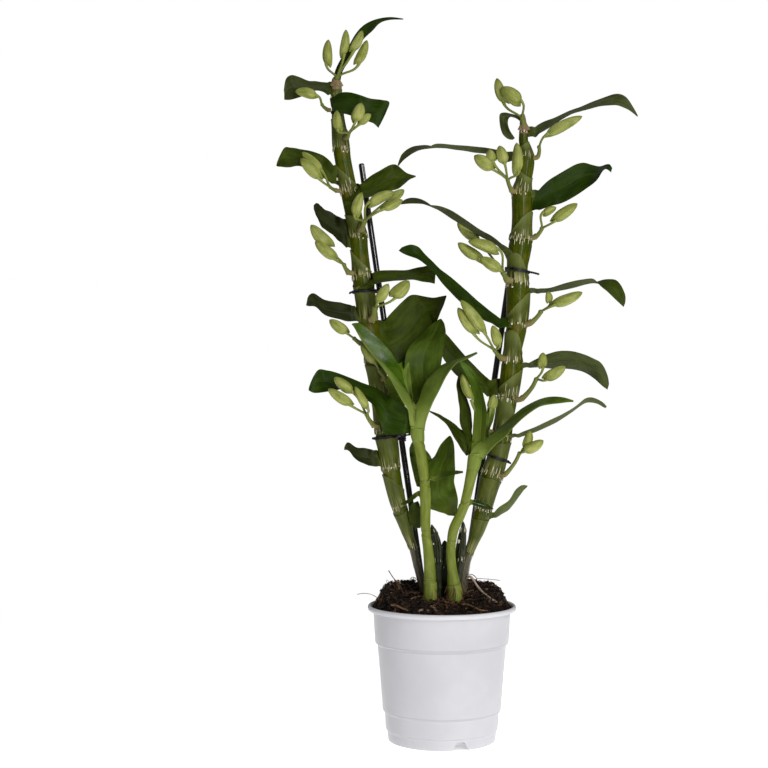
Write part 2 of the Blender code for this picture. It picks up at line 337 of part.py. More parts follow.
def as_mesh(obj):
    """The evaluated shape as a plain welded mesh object of the same name."""
    bpy.context.view_layer.update()
    graph = bpy.context.evaluated_depsgraph_get()
    mesh = bpy.data.meshes.new_from_object(obj.evaluated_get(graph))
    bm = bmesh.new()
    bm.from_mesh(mesh)
    bmesh.ops.remove_doubles(bm, verts=bm.verts, dist=1e-6)
    bmesh.ops.recalc_face_normals(bm, faces=bm.faces)
    bm.to_mesh(mesh)
    bm.free()
    name = obj.name
    where = obj.users_collection[0]
    placed = obj.matrix_world.copy()
    bpy.data.objects.remove(obj, do_unlink=True)
    out = bpy.data.objects.new(name, mesh)
    out.matrix_world = placed
    where.objects.link(out)
    return out


def guide(obj):
    obj.hide_render = True
    obj.display_type = 'WIRE'
    return obj


def boolean(obj, other, operation):
    mod = obj.modifiers.new(operation.lower(), 'BOOLEAN')
    mod.operation = operation
    mod.solver = 'EXACT'
    mod.object = other
    return mod


def tube(name, points, radii, where, mat=None, resolution=2, cyclic=False):
    """A round bar through the points, its radius given point by point."""
    curve = bpy.data.curves.new(name, 'CURVE')
    curve.dimensions = '3D'
    curve.bevel_depth = 1.0
    curve.bevel_resolution = resolution
    curve.use_fill_caps = True
    spline = curve.splines.new('POLY')
    spline.points.add(len(points) - 1)
    for slot, place, radius in zip(spline.points, points, radii):
        slot.co = (*place, 1.0)
        slot.radius = radius
    spline.use_cyclic_u = cyclic
    return link(bpy.data.objects.new(name, curve), where, mat)


# ---------------------------------------------------------------------------
# smooth reading between rows
# ---------------------------------------------------------------------------
def spline_read(rows, t):
    """Catmull-Rom reading of rows of equal length at t from 0 to 1."""
    last = len(rows) - 1
    x = min(max(t, 0.0), 1.0) * last
    i = min(int(x), last - 1)
    f = x - i
    p0 = rows[max(i - 1, 0)]
    p1, p2 = rows[i], rows[i + 1]
    p3 = rows[min(i + 2, last)]
    out = []
    for a, b, c, d in zip(p0, p1, p2, p3):
        out.append(0.5 * (2 * b + (c - a) * f + (2 * a - 5 * b + 4 * c - d) * f * f
                          + (3 * b - a - 3 * c + d) * f ** 3))
    return out


def stem_points(rows, count):
    """Places and radii along a stem."""
    places, radii = [], []
    for i in range(count):
        u, v, w, y = spline_read(rows, i / (count - 1))
        places.append(at(u, v, y))
        radii.append(0.5 * size(w, y))
    return places, radii


# ---------------------------------------------------------------------------
# leaves
# ---------------------------------------------------------------------------
def leaf_margins(spec, t):
    """Near and far margin of the blade at t, as world points."""
    rows = []
    for row in spec["rows"]:
        side = row[5] if len(row) > 5 else spec["side"]
        au, av, bu, bv, y = row[:5]
        if side > 0:                       # upper margin is the far one
            rows.append((bu, bv, au, av, y))
        else:
            rows.append((au, av, bu, bv, y))
    nu, nv, fu, fv, y = spline_read(rows, t)
    seen = math.hypot(nu - fu, nv - fv)
    full = spec["w"] * min(1.0, 0.50 + 2.2 * t) * min(1.0, 0.12 + 3.0 * (1.0 - t)) ** 0.8
    deep = 0.5 * math.sqrt(max(full * full - seen * seen, 0.0)) * 0.81
    deep *= min(1.0, 3.2 * (1.0 - t) + 0.05)
    near = at(nu, nv, y - deep)
    far = at(fu, fv, y + deep)
    if (near - far).length < 0.0012:
        middle = (near + far) * 0.5
        across = (near - far)
        across = across.normalized() if across.length > 1e-6 else Vector((0, -1, 0))
        near = middle + across * 0.0006
        far = middle - across * 0.0006
    return near, far


def leaf(name, spec, mat):
    """A blade: a flat grid drawn out between its two margins, keeled along
    the midrib, and given its thickness."""
    steps = max(7, min(11, len(spec["rows"])))
    bm = bmesh.new()
    bmesh.ops.create_grid(bm, x_segments=steps, y_segments=2, size=1.0)
    for vert in bm.verts:
        t = 0.5 * (vert.co.x + 1.0)
        s = vert.co.y                      # -1 near margin, +1 far margin
        near, far = leaf_margins(spec, t)
        a, b = leaf_margins(spec, max(t - 0.04, 0.0)), leaf_margins(spec, min(t + 0.04, 1.0))
        along = (b[0] + b[1]) - (a[0] + a[1])
        face = along.cross(far - near)
        face = face.normalized() if face.length > 1e-12 else Vector((0, 0, 1))
        if face.z < 0:
            face = -face
        place = near.lerp(far, 0.5 * (s + 1.0))
        keel = 0.07 * (far - near).length * (1.0 - abs(s))
        vert.co = place - face * keel
    obj = from_bmesh(bm, name, parts, mat)
    mod = obj.modifiers.new("thickness", 'SOLIDIFY')
    mod.thickness = LEAF_THICK
    mod.offset = 0.0
    mod.use_even_offset = False
    smooth(obj, 50)
    return obj


# ---------------------------------------------------------------------------
# buds and their stalks
# ---------------------------------------------------------------------------
def bud_body(name, tip, foot, width):
    """A closed bud: full near its foot and drawn to a blunt point."""
    axis = tip - foot
    length = axis.length
    turn = axis.to_track_quat('Z', 'Y').to_matrix()
    bm = bmesh.new()
    bmesh.ops.create_uvsphere(bm, u_segments=7, v_segments=5, radius=1.0)
    for vert in bm.verts:
        t = 0.5 * (vert.co.z + 1.0)
        fat = 1.10 - 0.22 * t
        local = Vector((vert.co.x * fat * width * 0.5, vert.co.y * fat * width * 0.5, t * length))
        vert.co = foot + turn @ local
    return from_bmesh(bm, name, helpers)


def spray(name, spec):
    """A stalk that forks to its buds, all one piece."""
    bu, bv, by = spec["base"]
    hu, hv, hy = spec["hub"]
    base, hub = at(bu, bv, by), at(hu, hv, hy)
    wide = size(spec["wide"], by) * 0.5
    core = as_mesh(tube(name, [base, base.lerp(hub, 0.5), hub], [wide * 1.15, wide, wide], parts, None, 1))
    pieces = []
    bm = bmesh.new()
    bmesh.ops.create_uvsphere(bm, u_segments=6, v_segments=4, radius=wide * 1.08)
    bmesh.ops.translate(bm, verts=bm.verts, vec=hub)
    pieces.append(from_bmesh(bm, name + "_hub", helpers))
    for n, (tu, tv, fu, fv, w, y, *more) in enumerate(spec["buds"]):
        tip, foot = at(tu, tv, y - 1.5), at(fu, fv, y)
        pieces.append(bud_body("%s_b%d" % (name, n), tip, foot, size(w, y)))
        inside = foot.lerp(tip, 0.12)
        sag = hub.lerp(inside, 0.5) + Vector((0.0, 0.0, -0.10 * (inside - hub).length))
        thin = size(2.6, y) * 0.5
        start = hub + (sag - hub).normalized() * 0.0002
        pieces.append(as_mesh(tube("%s_p%d" % (name, n), [start, sag, inside], [thin, thin, thin * 1.2], helpers, None, 0)))
    for piece in pieces:
        guide(piece)
        boolean(core, piece, 'UNION')
    out = as_mesh(core)
    out.data.materials.clear()
    out.data.materials.append(BUD)
    for piece in pieces:
        bpy.data.objects.remove(piece, do_unlink=True)
    smooth(out, 60)
    return out


# ---------------------------------------------------------------------------
# the pot
# ---------------------------------------------------------------------------
def turned(name, profile, where, mat, segments):
    """A profile in the XZ plane, its outer side run from top to bottom,
    turned about Z."""
    mesh = bpy.data.meshes.new(name)
    bm = bmesh.new()
    verts = [bm.verts.new((r, 0.0, z)) for r, z in profile]
    for a, b in zip(verts, verts[1:]):
        bm.edges.new((a, b))
    bm.to_mesh(mesh)
    bm.free()
    obj = link(bpy.data.objects.new(name, mesh), where, mat)
    mod = obj.modifiers.new("turn", 'SCREW')
    mod.axis = 'Z'
    mod.angle = math.tau
    mod.steps = segments
    mod.render_steps = segments
    mod.use_merge_vertices = True
    mod.merge_threshold = 0.00001
    mod.use_normal_calculate = False
    return obj


def pot():
    h, w = POT_HEIGHT, POT_WALL
    body = 0.0556                      # radius just under the rim band
    profile = [
        (0.0, 0.0042), (0.0330, 0.0042), (0.0392, 0.0098), (0.0446, STEP_2),
        (body - 2.0 * w, 0.092), (body - w, h - POT_LIP),
        (POT_RIM_R - 2.4 * w, h - 0.0016), (POT_RIM_R - 1.4 * w, h), (POT_RIM_R - 0.5 * w, h),
        (POT_RIM_R, h - 0.0008), (POT_RIM_R - 0.0002, h - POT_LIP), (body + 0.0002, h - POT_LIP - 0.0004),
        (0.0541, STEP_1 + 0.0012), (0.0520, STEP_1 - 0.0006),
        (0.0479, STEP_2 + 0.0010), (0.0461, STEP_2 - 0.0006),
        (0.0454, STEP_3 + 0.0008), (0.0440, STEP_3 - 0.0004),
        (0.0434, 0.0008), (0.0427, 0.0), (0.0, 0.0)]
    obj = turned("pot", profile, parts, POT, POT_SEGMENTS)
    for n in range(NOTCHES):
        angle = math.radians(-90.0 + NOTCH_TURN + 360.0 * n / NOTCHES)
        bm = bmesh.new()
        bmesh.ops.create_cube(bm, size=1.0)
        for vert in bm.verts:                     # a trapezoid, wider below
            top = vert.co.z > 0
            half = 0.0031 if top else 0.0078
            vert.co = Vector((0.0440 + vert.co.x * 0.0092, math.copysign(half, vert.co.y), 0.0066 if top else -0.0010))
        bmesh.ops.rotate(bm, verts=bm.verts, cent=(0, 0, 0), matrix=Matrix.Rotation(angle, 3, 'Z'))
        cutter = guide(from_bmesh(bm, "cut_notch_%d" % n, helpers))
        boolean(obj, cutter, 'DIFFERENCE')
    smooth(obj, 28)
    return obj


# ---------------------------------------------------------------------------
# the growing medium, heaped over the rim, with a socket for every stem
# ---------------------------------------------------------------------------
def heap(x, y):
    r = math.hypot(x, y)
    t = min(max((0.0546 - r) / 0.0100, 0.0), 1.0)
    rise = t * t * (3 - 2 * t)
    rough = noise.noise(Vector((x * 90.0, y * 90.0, 3.1))) * 0.0022 * rise
    return 0.1078 + (0.0082 + 0.16 * y) * rise + rough


def growing_medium():
    rings, spokes = 8, 28
    bm = bmesh.new()
    bmesh.ops.create_uvsphere(bm, u_segments=spokes, v_segments=2 * rings, radius=1.0)
    floor = 0.0042 + MEDIUM_GAP
    wall = [(0.0330 - MEDIUM_GAP, floor), (0.0390 - MEDIUM_GAP, 0.0100 + MEDIUM_GAP), (0.0444 - MEDIUM_GAP, STEP_2),
            (0.0528 - MEDIUM_GAP, 0.0920), (0.0541 - MEDIUM_GAP, POT_HEIGHT - POT_LIP), (0.0556, 0.1078)]
    for vert in bm.verts:
        turn = math.atan2(vert.co.y, vert.co.x)
        ring = int(round((math.pi - math.acos(max(-1.0, min(1.0, vert.co.z)))) / math.pi * 2 * rings))
        # ring 0 is the pole below, rings 1 to 6 climb the wall, the rest is the heap
        if ring == 0:
            vert.co = Vector((0, 0, floor))
            continue
        if ring <= 6:
            r, z = wall[ring - 1]
            vert.co = Vector((r * math.cos(turn), r * math.sin(turn), z))
            continue
        left = (2 * rings - ring) / float(2 * rings - 6)
        r = 0.0556 * left
        x, y = r * math.cos(turn), r * math.sin(turn)
        vert.co = Vector((x, y, max(heap(x, y), 0.1079)))
    obj = from_bmesh(bm, "growing_medium", parts, SOIL)
    smooth(obj, 60)
    return obj


def socket(medium, name, points, radii):
    """Room for a stem: its lower end, a little larger and open upwards."""
    grown = [r + SOCKET_GAP for r in radii]
    run = (points[0] - points[1]).normalized()
    pts = [points[0] + run * SOCKET_GAP] + points[1:]
    hole = as_mesh(tube("cut_" + name, pts, grown, helpers, None, 3))
    guide(hole)
    boolean(medium, hole, 'DIFFERENCE')


# ---------------------------------------------------------------------------
# ties: a loop round a cane and its stake
# ---------------------------------------------------------------------------
def hull(points):
    points = sorted(points)

    def half(seq):
        out = []
        for p in seq:
            while len(out) > 1 and ((out[-1][0] - out[-2][0]) * (p[1] - out[-2][1])
                                    - (out[-1][1] - out[-2][1]) * (p[0] - out[-2][0])) <= 0:
                out.pop()
            out.append(p)
        return out[:-1]
    return half(points) + half(points[::-1])


def belt(one, r1, two, r2, off, count):
    """A closed line round two circles in the XY plane."""
    cloud = []
    for centre, radius in ((one, r1), (two, r2)):
        for i in range(40):
            a = math.tau * i / 40
            cloud.append((centre.x + (radius + off) * math.cos(a), centre.y + (radius + off) * math.sin(a)))
    ring = hull(cloud)
    ring.append(ring[0])
    lengths = [0.0]
    for a, b in zip(ring, ring[1:]):
        lengths.append(lengths[-1] + math.dist(a, b))
    out = []
    for i in range(count):
        want = lengths[-1] * i / count
        j = max(k for k in range(len(lengths)) if lengths[k] <= want + 1e-12)
        j = min(j, len(ring) - 2)
        f = (want - lengths[j]) / max(lengths[j + 1] - lengths[j], 1e-9)
        out.append((ring[j][0] + (ring[j + 1][0] - ring[j][0]) * f, ring[j][1] + (ring[j + 1][1] - ring[j][1]) * f))
    return out


def stem_at(rows, v):
    """Centre and radius of a stem where it crosses the row v."""
    for a, b in zip(rows, rows[1:]):
        if (a[1] - v) * (b[1] - v) <= 0 and a[1] != b[1]:
            f = (v - a[1]) / (b[1] - a[1])
            u, w, y = (a[i] + (b[i] - a[i]) * f for i in (0, 2, 3))
            return at(u, v, y), 0.5 * size(w, y)
    raise ValueError(v)


def stake_at(name, v):
    low, high, w = STAKES[name]
    f = (v - high[1]) / (low[1] - high[1])
    u, y = high[0] + (low[0] - high[0]) * f, high[2] + (low[2] - high[2]) * f
    return at(u, v, y), 0.5 * size(w, y)


# tie: cane, stake, row, slope of the loop, then its loose end as world
# offsets from the loop's front: (angle of the knot, tail length)
TIES = {
    "tie_left_upper": (CANE_LEFT, "stake_left", 291.5, 0.06, (205.0, 0.0060)),
    "tie_left_lower": (CANE_LEFT, "stake_left", 437.0, 0.12, (190.0, 0.0042)),
    "tie_right_upper": (CANE_RIGHT, "stake_right", 270.5, -0.16, (-20.0, 0.0088)),
    "tie_right_lower": (CANE_RIGHT, "stake_right", 458.0, -0.34, (-25.0, 0.0040)),
}
TIE_R = 0.00085

# the smallest slips of leaf and single buds, listed but not made
SMALL = {"leaf_right_01", "shoot_left_leaf_3", "shoot_left_leaf_6", "shoot_left_leaf_7",
         "shoot_right_leaf_3", "shoot_right_leaf_5", "shoot_right_leaf_7", "buds_left_09", "buds_right_09"}


def tie(name, spec):
    rows, stake, v, slope, (angle, tail) = spec
    cane, rc = stem_at(rows, v)
    post, rs = stake_at(stake, v)
    ring = belt(cane, rc * 1.02, post, rs * 1.05, TIE_R + 0.0005, 22)
    places = [Vector((x, y, cane.z + slope * (x - cane.x))) for x, y in ring]
    loop = as_mesh(tube(name, places, [TIE_R] * len(places), parts, None, 1, True))
    way = Vector((math.cos(math.radians(angle)), math.sin(math.radians(angle)), slope * math.cos(math.radians(angle)))).normalized()
    start = cane + way * (rc * 1.02 + TIE_R + 0.0005)
    end = as_mesh(tube(name + "_tail", [start - way * TIE_R * 0.2, start + way * tail * 0.5 + Vector((0, 0, -0.0003)), start + way * tail],
                       [TIE_R * 1.5, TIE_R * 1.3, TIE_R], helpers, None, 1))
    guide(end)
    boolean(loop, end, 'UNION')
    out = as_mesh(loop)
    out.data.materials.clear()
    out.data.materials.append(TIE)
    bpy.data.objects.remove(end, do_unlink=True)
    smooth(out, 60)
    return out


# ---------------------------------------------------------------------------
# build
# ---------------------------------------------------------------------------
pot()
medium = growing_medium()

stems = {"cane_left": (CANE_LEFT, CANE, 32), "cane_right": (CANE_RIGHT, CANE, 33),
         "shoot_left": (SHOOT_LEFT, SHOOT, 15), "shoot_right": (SHOOT_RIGHT, SHOOT, 13)}
for name, rows in OLD_CANES.items():
    stems[name] = (rows, OLD, 6)
stumps = []
for name, (rows, mat, count) in stems.items():
    if name.startswith("cane"):
        places = [at(u, v, y) for u, v, w, y in rows]
        radii = [0.5 * size(w, y) for u, v, w, y in rows]
    else:
        places, radii = stem_points(rows, count)
    if name in OLD_CANES:
        stumps.append((name, places, radii))
    else:
        tube(name, places, radii, parts, mat, 3 if name.startswith("cane") else 2)
    keep = [i for i, p in enumerate(places) if p.z < 0.150]
    socket(medium, name, [places[i] for i in keep], [radii[i] for i in keep])

# the old stumps share one creeping rootstock, sunk in the medium
feet = [places[0].lerp(places[1], 0.35) for name, places, radii in stumps]
feet.sort(key=lambda p: p.x)
ends = [feet[0] + (feet[0] - feet[1]).normalized() * 0.003] + feet + [feet[-1] + (feet[-1] - feet[-2]).normalized() * 0.003]
root_r = [0.0022] + [0.0030] * len(feet) + [0.0022]
stock = as_mesh(tube("old_canes", ends, root_r, parts, None, 2))
for name, places, radii in stumps:
    piece = guide(as_mesh(tube(name, places, radii, helpers, None, 2)))
    boolean(stock, piece, 'UNION')
old = as_mesh(stock)
old.data.materials.clear()
old.data.materials.append(OLD)
smooth(old, 60)
for name, places, radii in stumps:
    bpy.data.objects.remove(bpy.data.objects[name], do_unlink=True)
reach = (ends[0] - ends[1]).normalized() * 0.0012, (ends[-1] - ends[-2]).normalized() * 0.0012
socket(medium, "rootstock", [ends[0] + reach[0]] + ends[1:-1] + [ends[-1] + reach[1]], [r + 0.0005 for r in root_r])

for name, (low, high, w) in STAKES.items():
    foot, top = at(*low), at(*high)
    foot = top + (foot - top) * (top.z - 0.060) / (top.z - foot.z)      # driven well into the medium
    radius = 0.5 * size(w, low[2])
    tube(name, [foot, foot.lerp(top, 0.5), top], [radius] * 3, parts, STAKE, 3)
    socket(medium, name, [foot, foot.lerp(top, 0.2)], [radius] * 2)

for name, spec in LEAVES.items():
    if name not in SMALL:
        leaf(name, spec, YOUNG if name.startswith("shoot") else LEAF)
for name, spec in SPRAYS.items():
    if name not in SMALL:
        spray(name, spec)
for name, spec in TIES.items():
    tie(name, spec)
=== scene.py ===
import math

import bpy
import bmesh
import numpy as np
from mathutils import Matrix, Vector, noise


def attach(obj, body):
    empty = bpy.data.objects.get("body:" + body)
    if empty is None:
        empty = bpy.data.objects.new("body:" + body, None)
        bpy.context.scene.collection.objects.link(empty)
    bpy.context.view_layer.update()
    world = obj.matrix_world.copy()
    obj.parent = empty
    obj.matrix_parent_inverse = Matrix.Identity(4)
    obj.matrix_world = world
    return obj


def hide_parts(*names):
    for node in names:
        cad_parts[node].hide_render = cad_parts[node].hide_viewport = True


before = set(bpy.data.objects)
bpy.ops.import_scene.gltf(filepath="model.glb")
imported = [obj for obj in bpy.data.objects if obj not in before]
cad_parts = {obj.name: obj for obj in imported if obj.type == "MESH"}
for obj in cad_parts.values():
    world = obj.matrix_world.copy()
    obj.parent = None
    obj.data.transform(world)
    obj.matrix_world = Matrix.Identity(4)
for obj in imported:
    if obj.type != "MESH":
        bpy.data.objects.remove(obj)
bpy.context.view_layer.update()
rng = np.random.default_rng(20)

# ---------------------------------------------------------------------------
# front-elevation grid
# The shapes are read off a front elevation with 768 units across and down.
# One unit is K0 at the pot's axis; u runs to the right, v runs down, and the
# depth y is given in millimetres (negative is towards the viewer).
# ---------------------------------------------------------------------------
F = 1550.0          # viewing distance in grid units
D = 1.256           # viewing distance (m)
CX = -0.04675       # where the grid's centre line stands
CZ = 0.2876         # height of the grid's middle row


def at(u, v, y=0.0):
    k = (D + y * 0.001) / F
    return Vector((CX + (u - 384.0) * k, y * 0.001, CZ + (384.0 - v) * k))


def size(units, y=0.0):
    return units * (D + y * 0.001) / F


# canes and shoots: (u, v, width, y)
CANE_LEFT = [(424.0, 612, 6.5, 9), (424.0, 592, 6.5, 9), (421.0, 582, 7.0, 8.5), (417.0, 566, 7.4, 8),
             (412.6, 547, 8.4, 8), (407, 531, 11.5, 8), (399.6, 508, 15.3, 8), (395, 490, 17.5, 7.5),
             (391, 469, 19.2, 7), (388.7, 451, 21.2, 7), (386.3, 437, 22.2, 7), (383.6, 420, 20.6, 7),
             (382, 405, 20.0, 7), (379.5, 390, 19.5, 7), (377, 375, 19.5, 7), (374.4, 360, 20.5, 6.5),
             (372, 345, 19.5, 6), (370, 332, 19.3, 6), (368, 319, 20.6, 5.5), (366.2, 305, 20.8, 5),
             (364.4, 291, 21.2, 5), (361.9, 276, 20.2, 4.5), (360.6, 262, 18.6, 4.5), (359.2, 248, 18.2, 4),
             (358.4, 236, 18.4, 4), (355.6, 224, 17.4, 3.5), (352.6, 210, 17.2, 3), (348.8, 191, 17.6, 2.5),
             (345.6, 175, 17.4, 2), (342.9, 160, 17.0, 1.5), (341.4, 149, 17.6, 1), (340, 136, 16.6, 1),
             (338.2, 120, 13.6, 0.5), (337.2, 106, 11.8, 0), (336.6, 96, 11.6, 0), (336.6, 88, 9.6, 0)]
CANE_RIGHT = [(463.0, 610, 7.0, 8), (463.5, 588, 7.2, 8), (464.6, 570, 8.4, 8), (469, 553, 9.2, 8),
              (473.4, 541, 11.0, 8), (477.4, 530, 14.4, 8), (481.4, 515, 17.4, 8), (483.2, 508, 18.0, 7.5),
              (486.4, 495, 19.4, 7), (489.7, 482, 21.4, 7), (492.2, 474.5, 22.6, 7), (497.2, 458, 20.6, 7),
              (501.0, 441, 20.4, 7), (502.4, 430, 20.0, 7), (505, 414, 19.6, 6.5), (507.3, 400, 20.6, 6),
              (509.4, 386, 22.0, 6), (511.3, 371, 22.4, 5.5), (512.0, 360.5, 21.6, 5), (512.8, 350, 18.8, 5),
              (514.6, 338, 20.6, 4.5), (516.6, 326, 21.8, 4.5), (517.6, 308, 24.2, 4), (518.0, 296, 24.4, 4),
              (517.6, 284, 23.8, 3.5), (517.4, 268, 21.4, 3.5), (519.0, 254, 23.6, 3), (520.8, 241, 24.2, 3),
              (521.6, 228, 21.6, 2.5), (522, 215, 21.2, 2), (522, 193, 21.2, 1.5), (524, 180, 16.4, 1.5),
              (525.8, 166, 17.2, 1), (526.8, 157, 15.6, 1), (526.2, 149, 11.0, 0.5), (523.6, 142, 10.0, 0),
              (523.4, 132, 9.2, 0)]
SHOOT_LEFT = [(430.5, 616, 13.0, -13), (430.3, 598, 13.2, -13), (430.3, 585, 13.0, -13), (429.9, 579, 12.2, -13),
              (429.6, 567, 11.2, -13), (428.0, 549, 9.8, -13), (426.4, 536, 9.4, -12.5), (425.4, 522, 9.8, -12.5),
              (425.5, 502, 10.6, -12), (425.1, 490, 10.6, -12), (424.6, 480, 9.6, -12), (422.4, 464, 10.8, -12),
              (419.6, 448, 11.0, -12), (417.2, 434, 12.4, -12), (416.6, 424, 12.6, -12)]
SHOOT_RIGHT = [(455.0, 610, 15.0, -9), (454.9, 592, 15.4, -9), (453.6, 583, 13.4, -9.5), (452.4, 572, 10.0, -10),
               (450.8, 556, 9.2, -10), (451.4, 543, 9.2, -10), (453.8, 529, 9.8, -10), (459.4, 517, 9.8, -10.5),
               (464.2, 505, 9.4, -11), (467.8, 491, 9.6, -11), (470.6, 478, 10.6, -11), (473.2, 466, 12.0, -11),
               (475.0, 455, 12.6, -11)]
OLD_CANES = {
    "old_cane_middle": [(443.5, 608, 9.0, 5), (443.5, 585, 9.2, 5), (443.8, 565, 8.2, 5), (444.4, 548, 7.4, 5), (444.8, 541, 5.8, 5)],
    "old_cane_left": [(437.4, 606, 7.4, -3), (437.4, 585, 7.8, -3), (437.2, 566, 9.0, -3), (436.6, 549, 10.4, -3), (434.6, 537, 8.4, -3), (431.8, 525, 3.6, -3)],
    "old_cane_right": [(457.4, 606, 6.4, 0), (457.4, 585, 6.4, 0), (458.8, 565, 8.2, 1), (461.4, 545, 9.6, 1.5), (463.0, 530, 6.0, 2), (463.2, 522, 3.2, 2)],
}
NODES_LEFT = [566, 547, 508, 469, 431, 397, 360, 319, 276, 236, 191, 149, 96]
NODES_RIGHT = [553, 509, 474.5, 437, 399, 360.5, 325, 284, 240, 193, 157, 131]

# stakes: lower end, upper end (u, v, y), thickness in units
STAKES = {
    "stake_left": ((427.5, 618, 17), (361.2, 163.5, 23), 5.9),
    "stake_right": ((459.5, 618, 19), (512.2, 258, 22), 5.9),
}

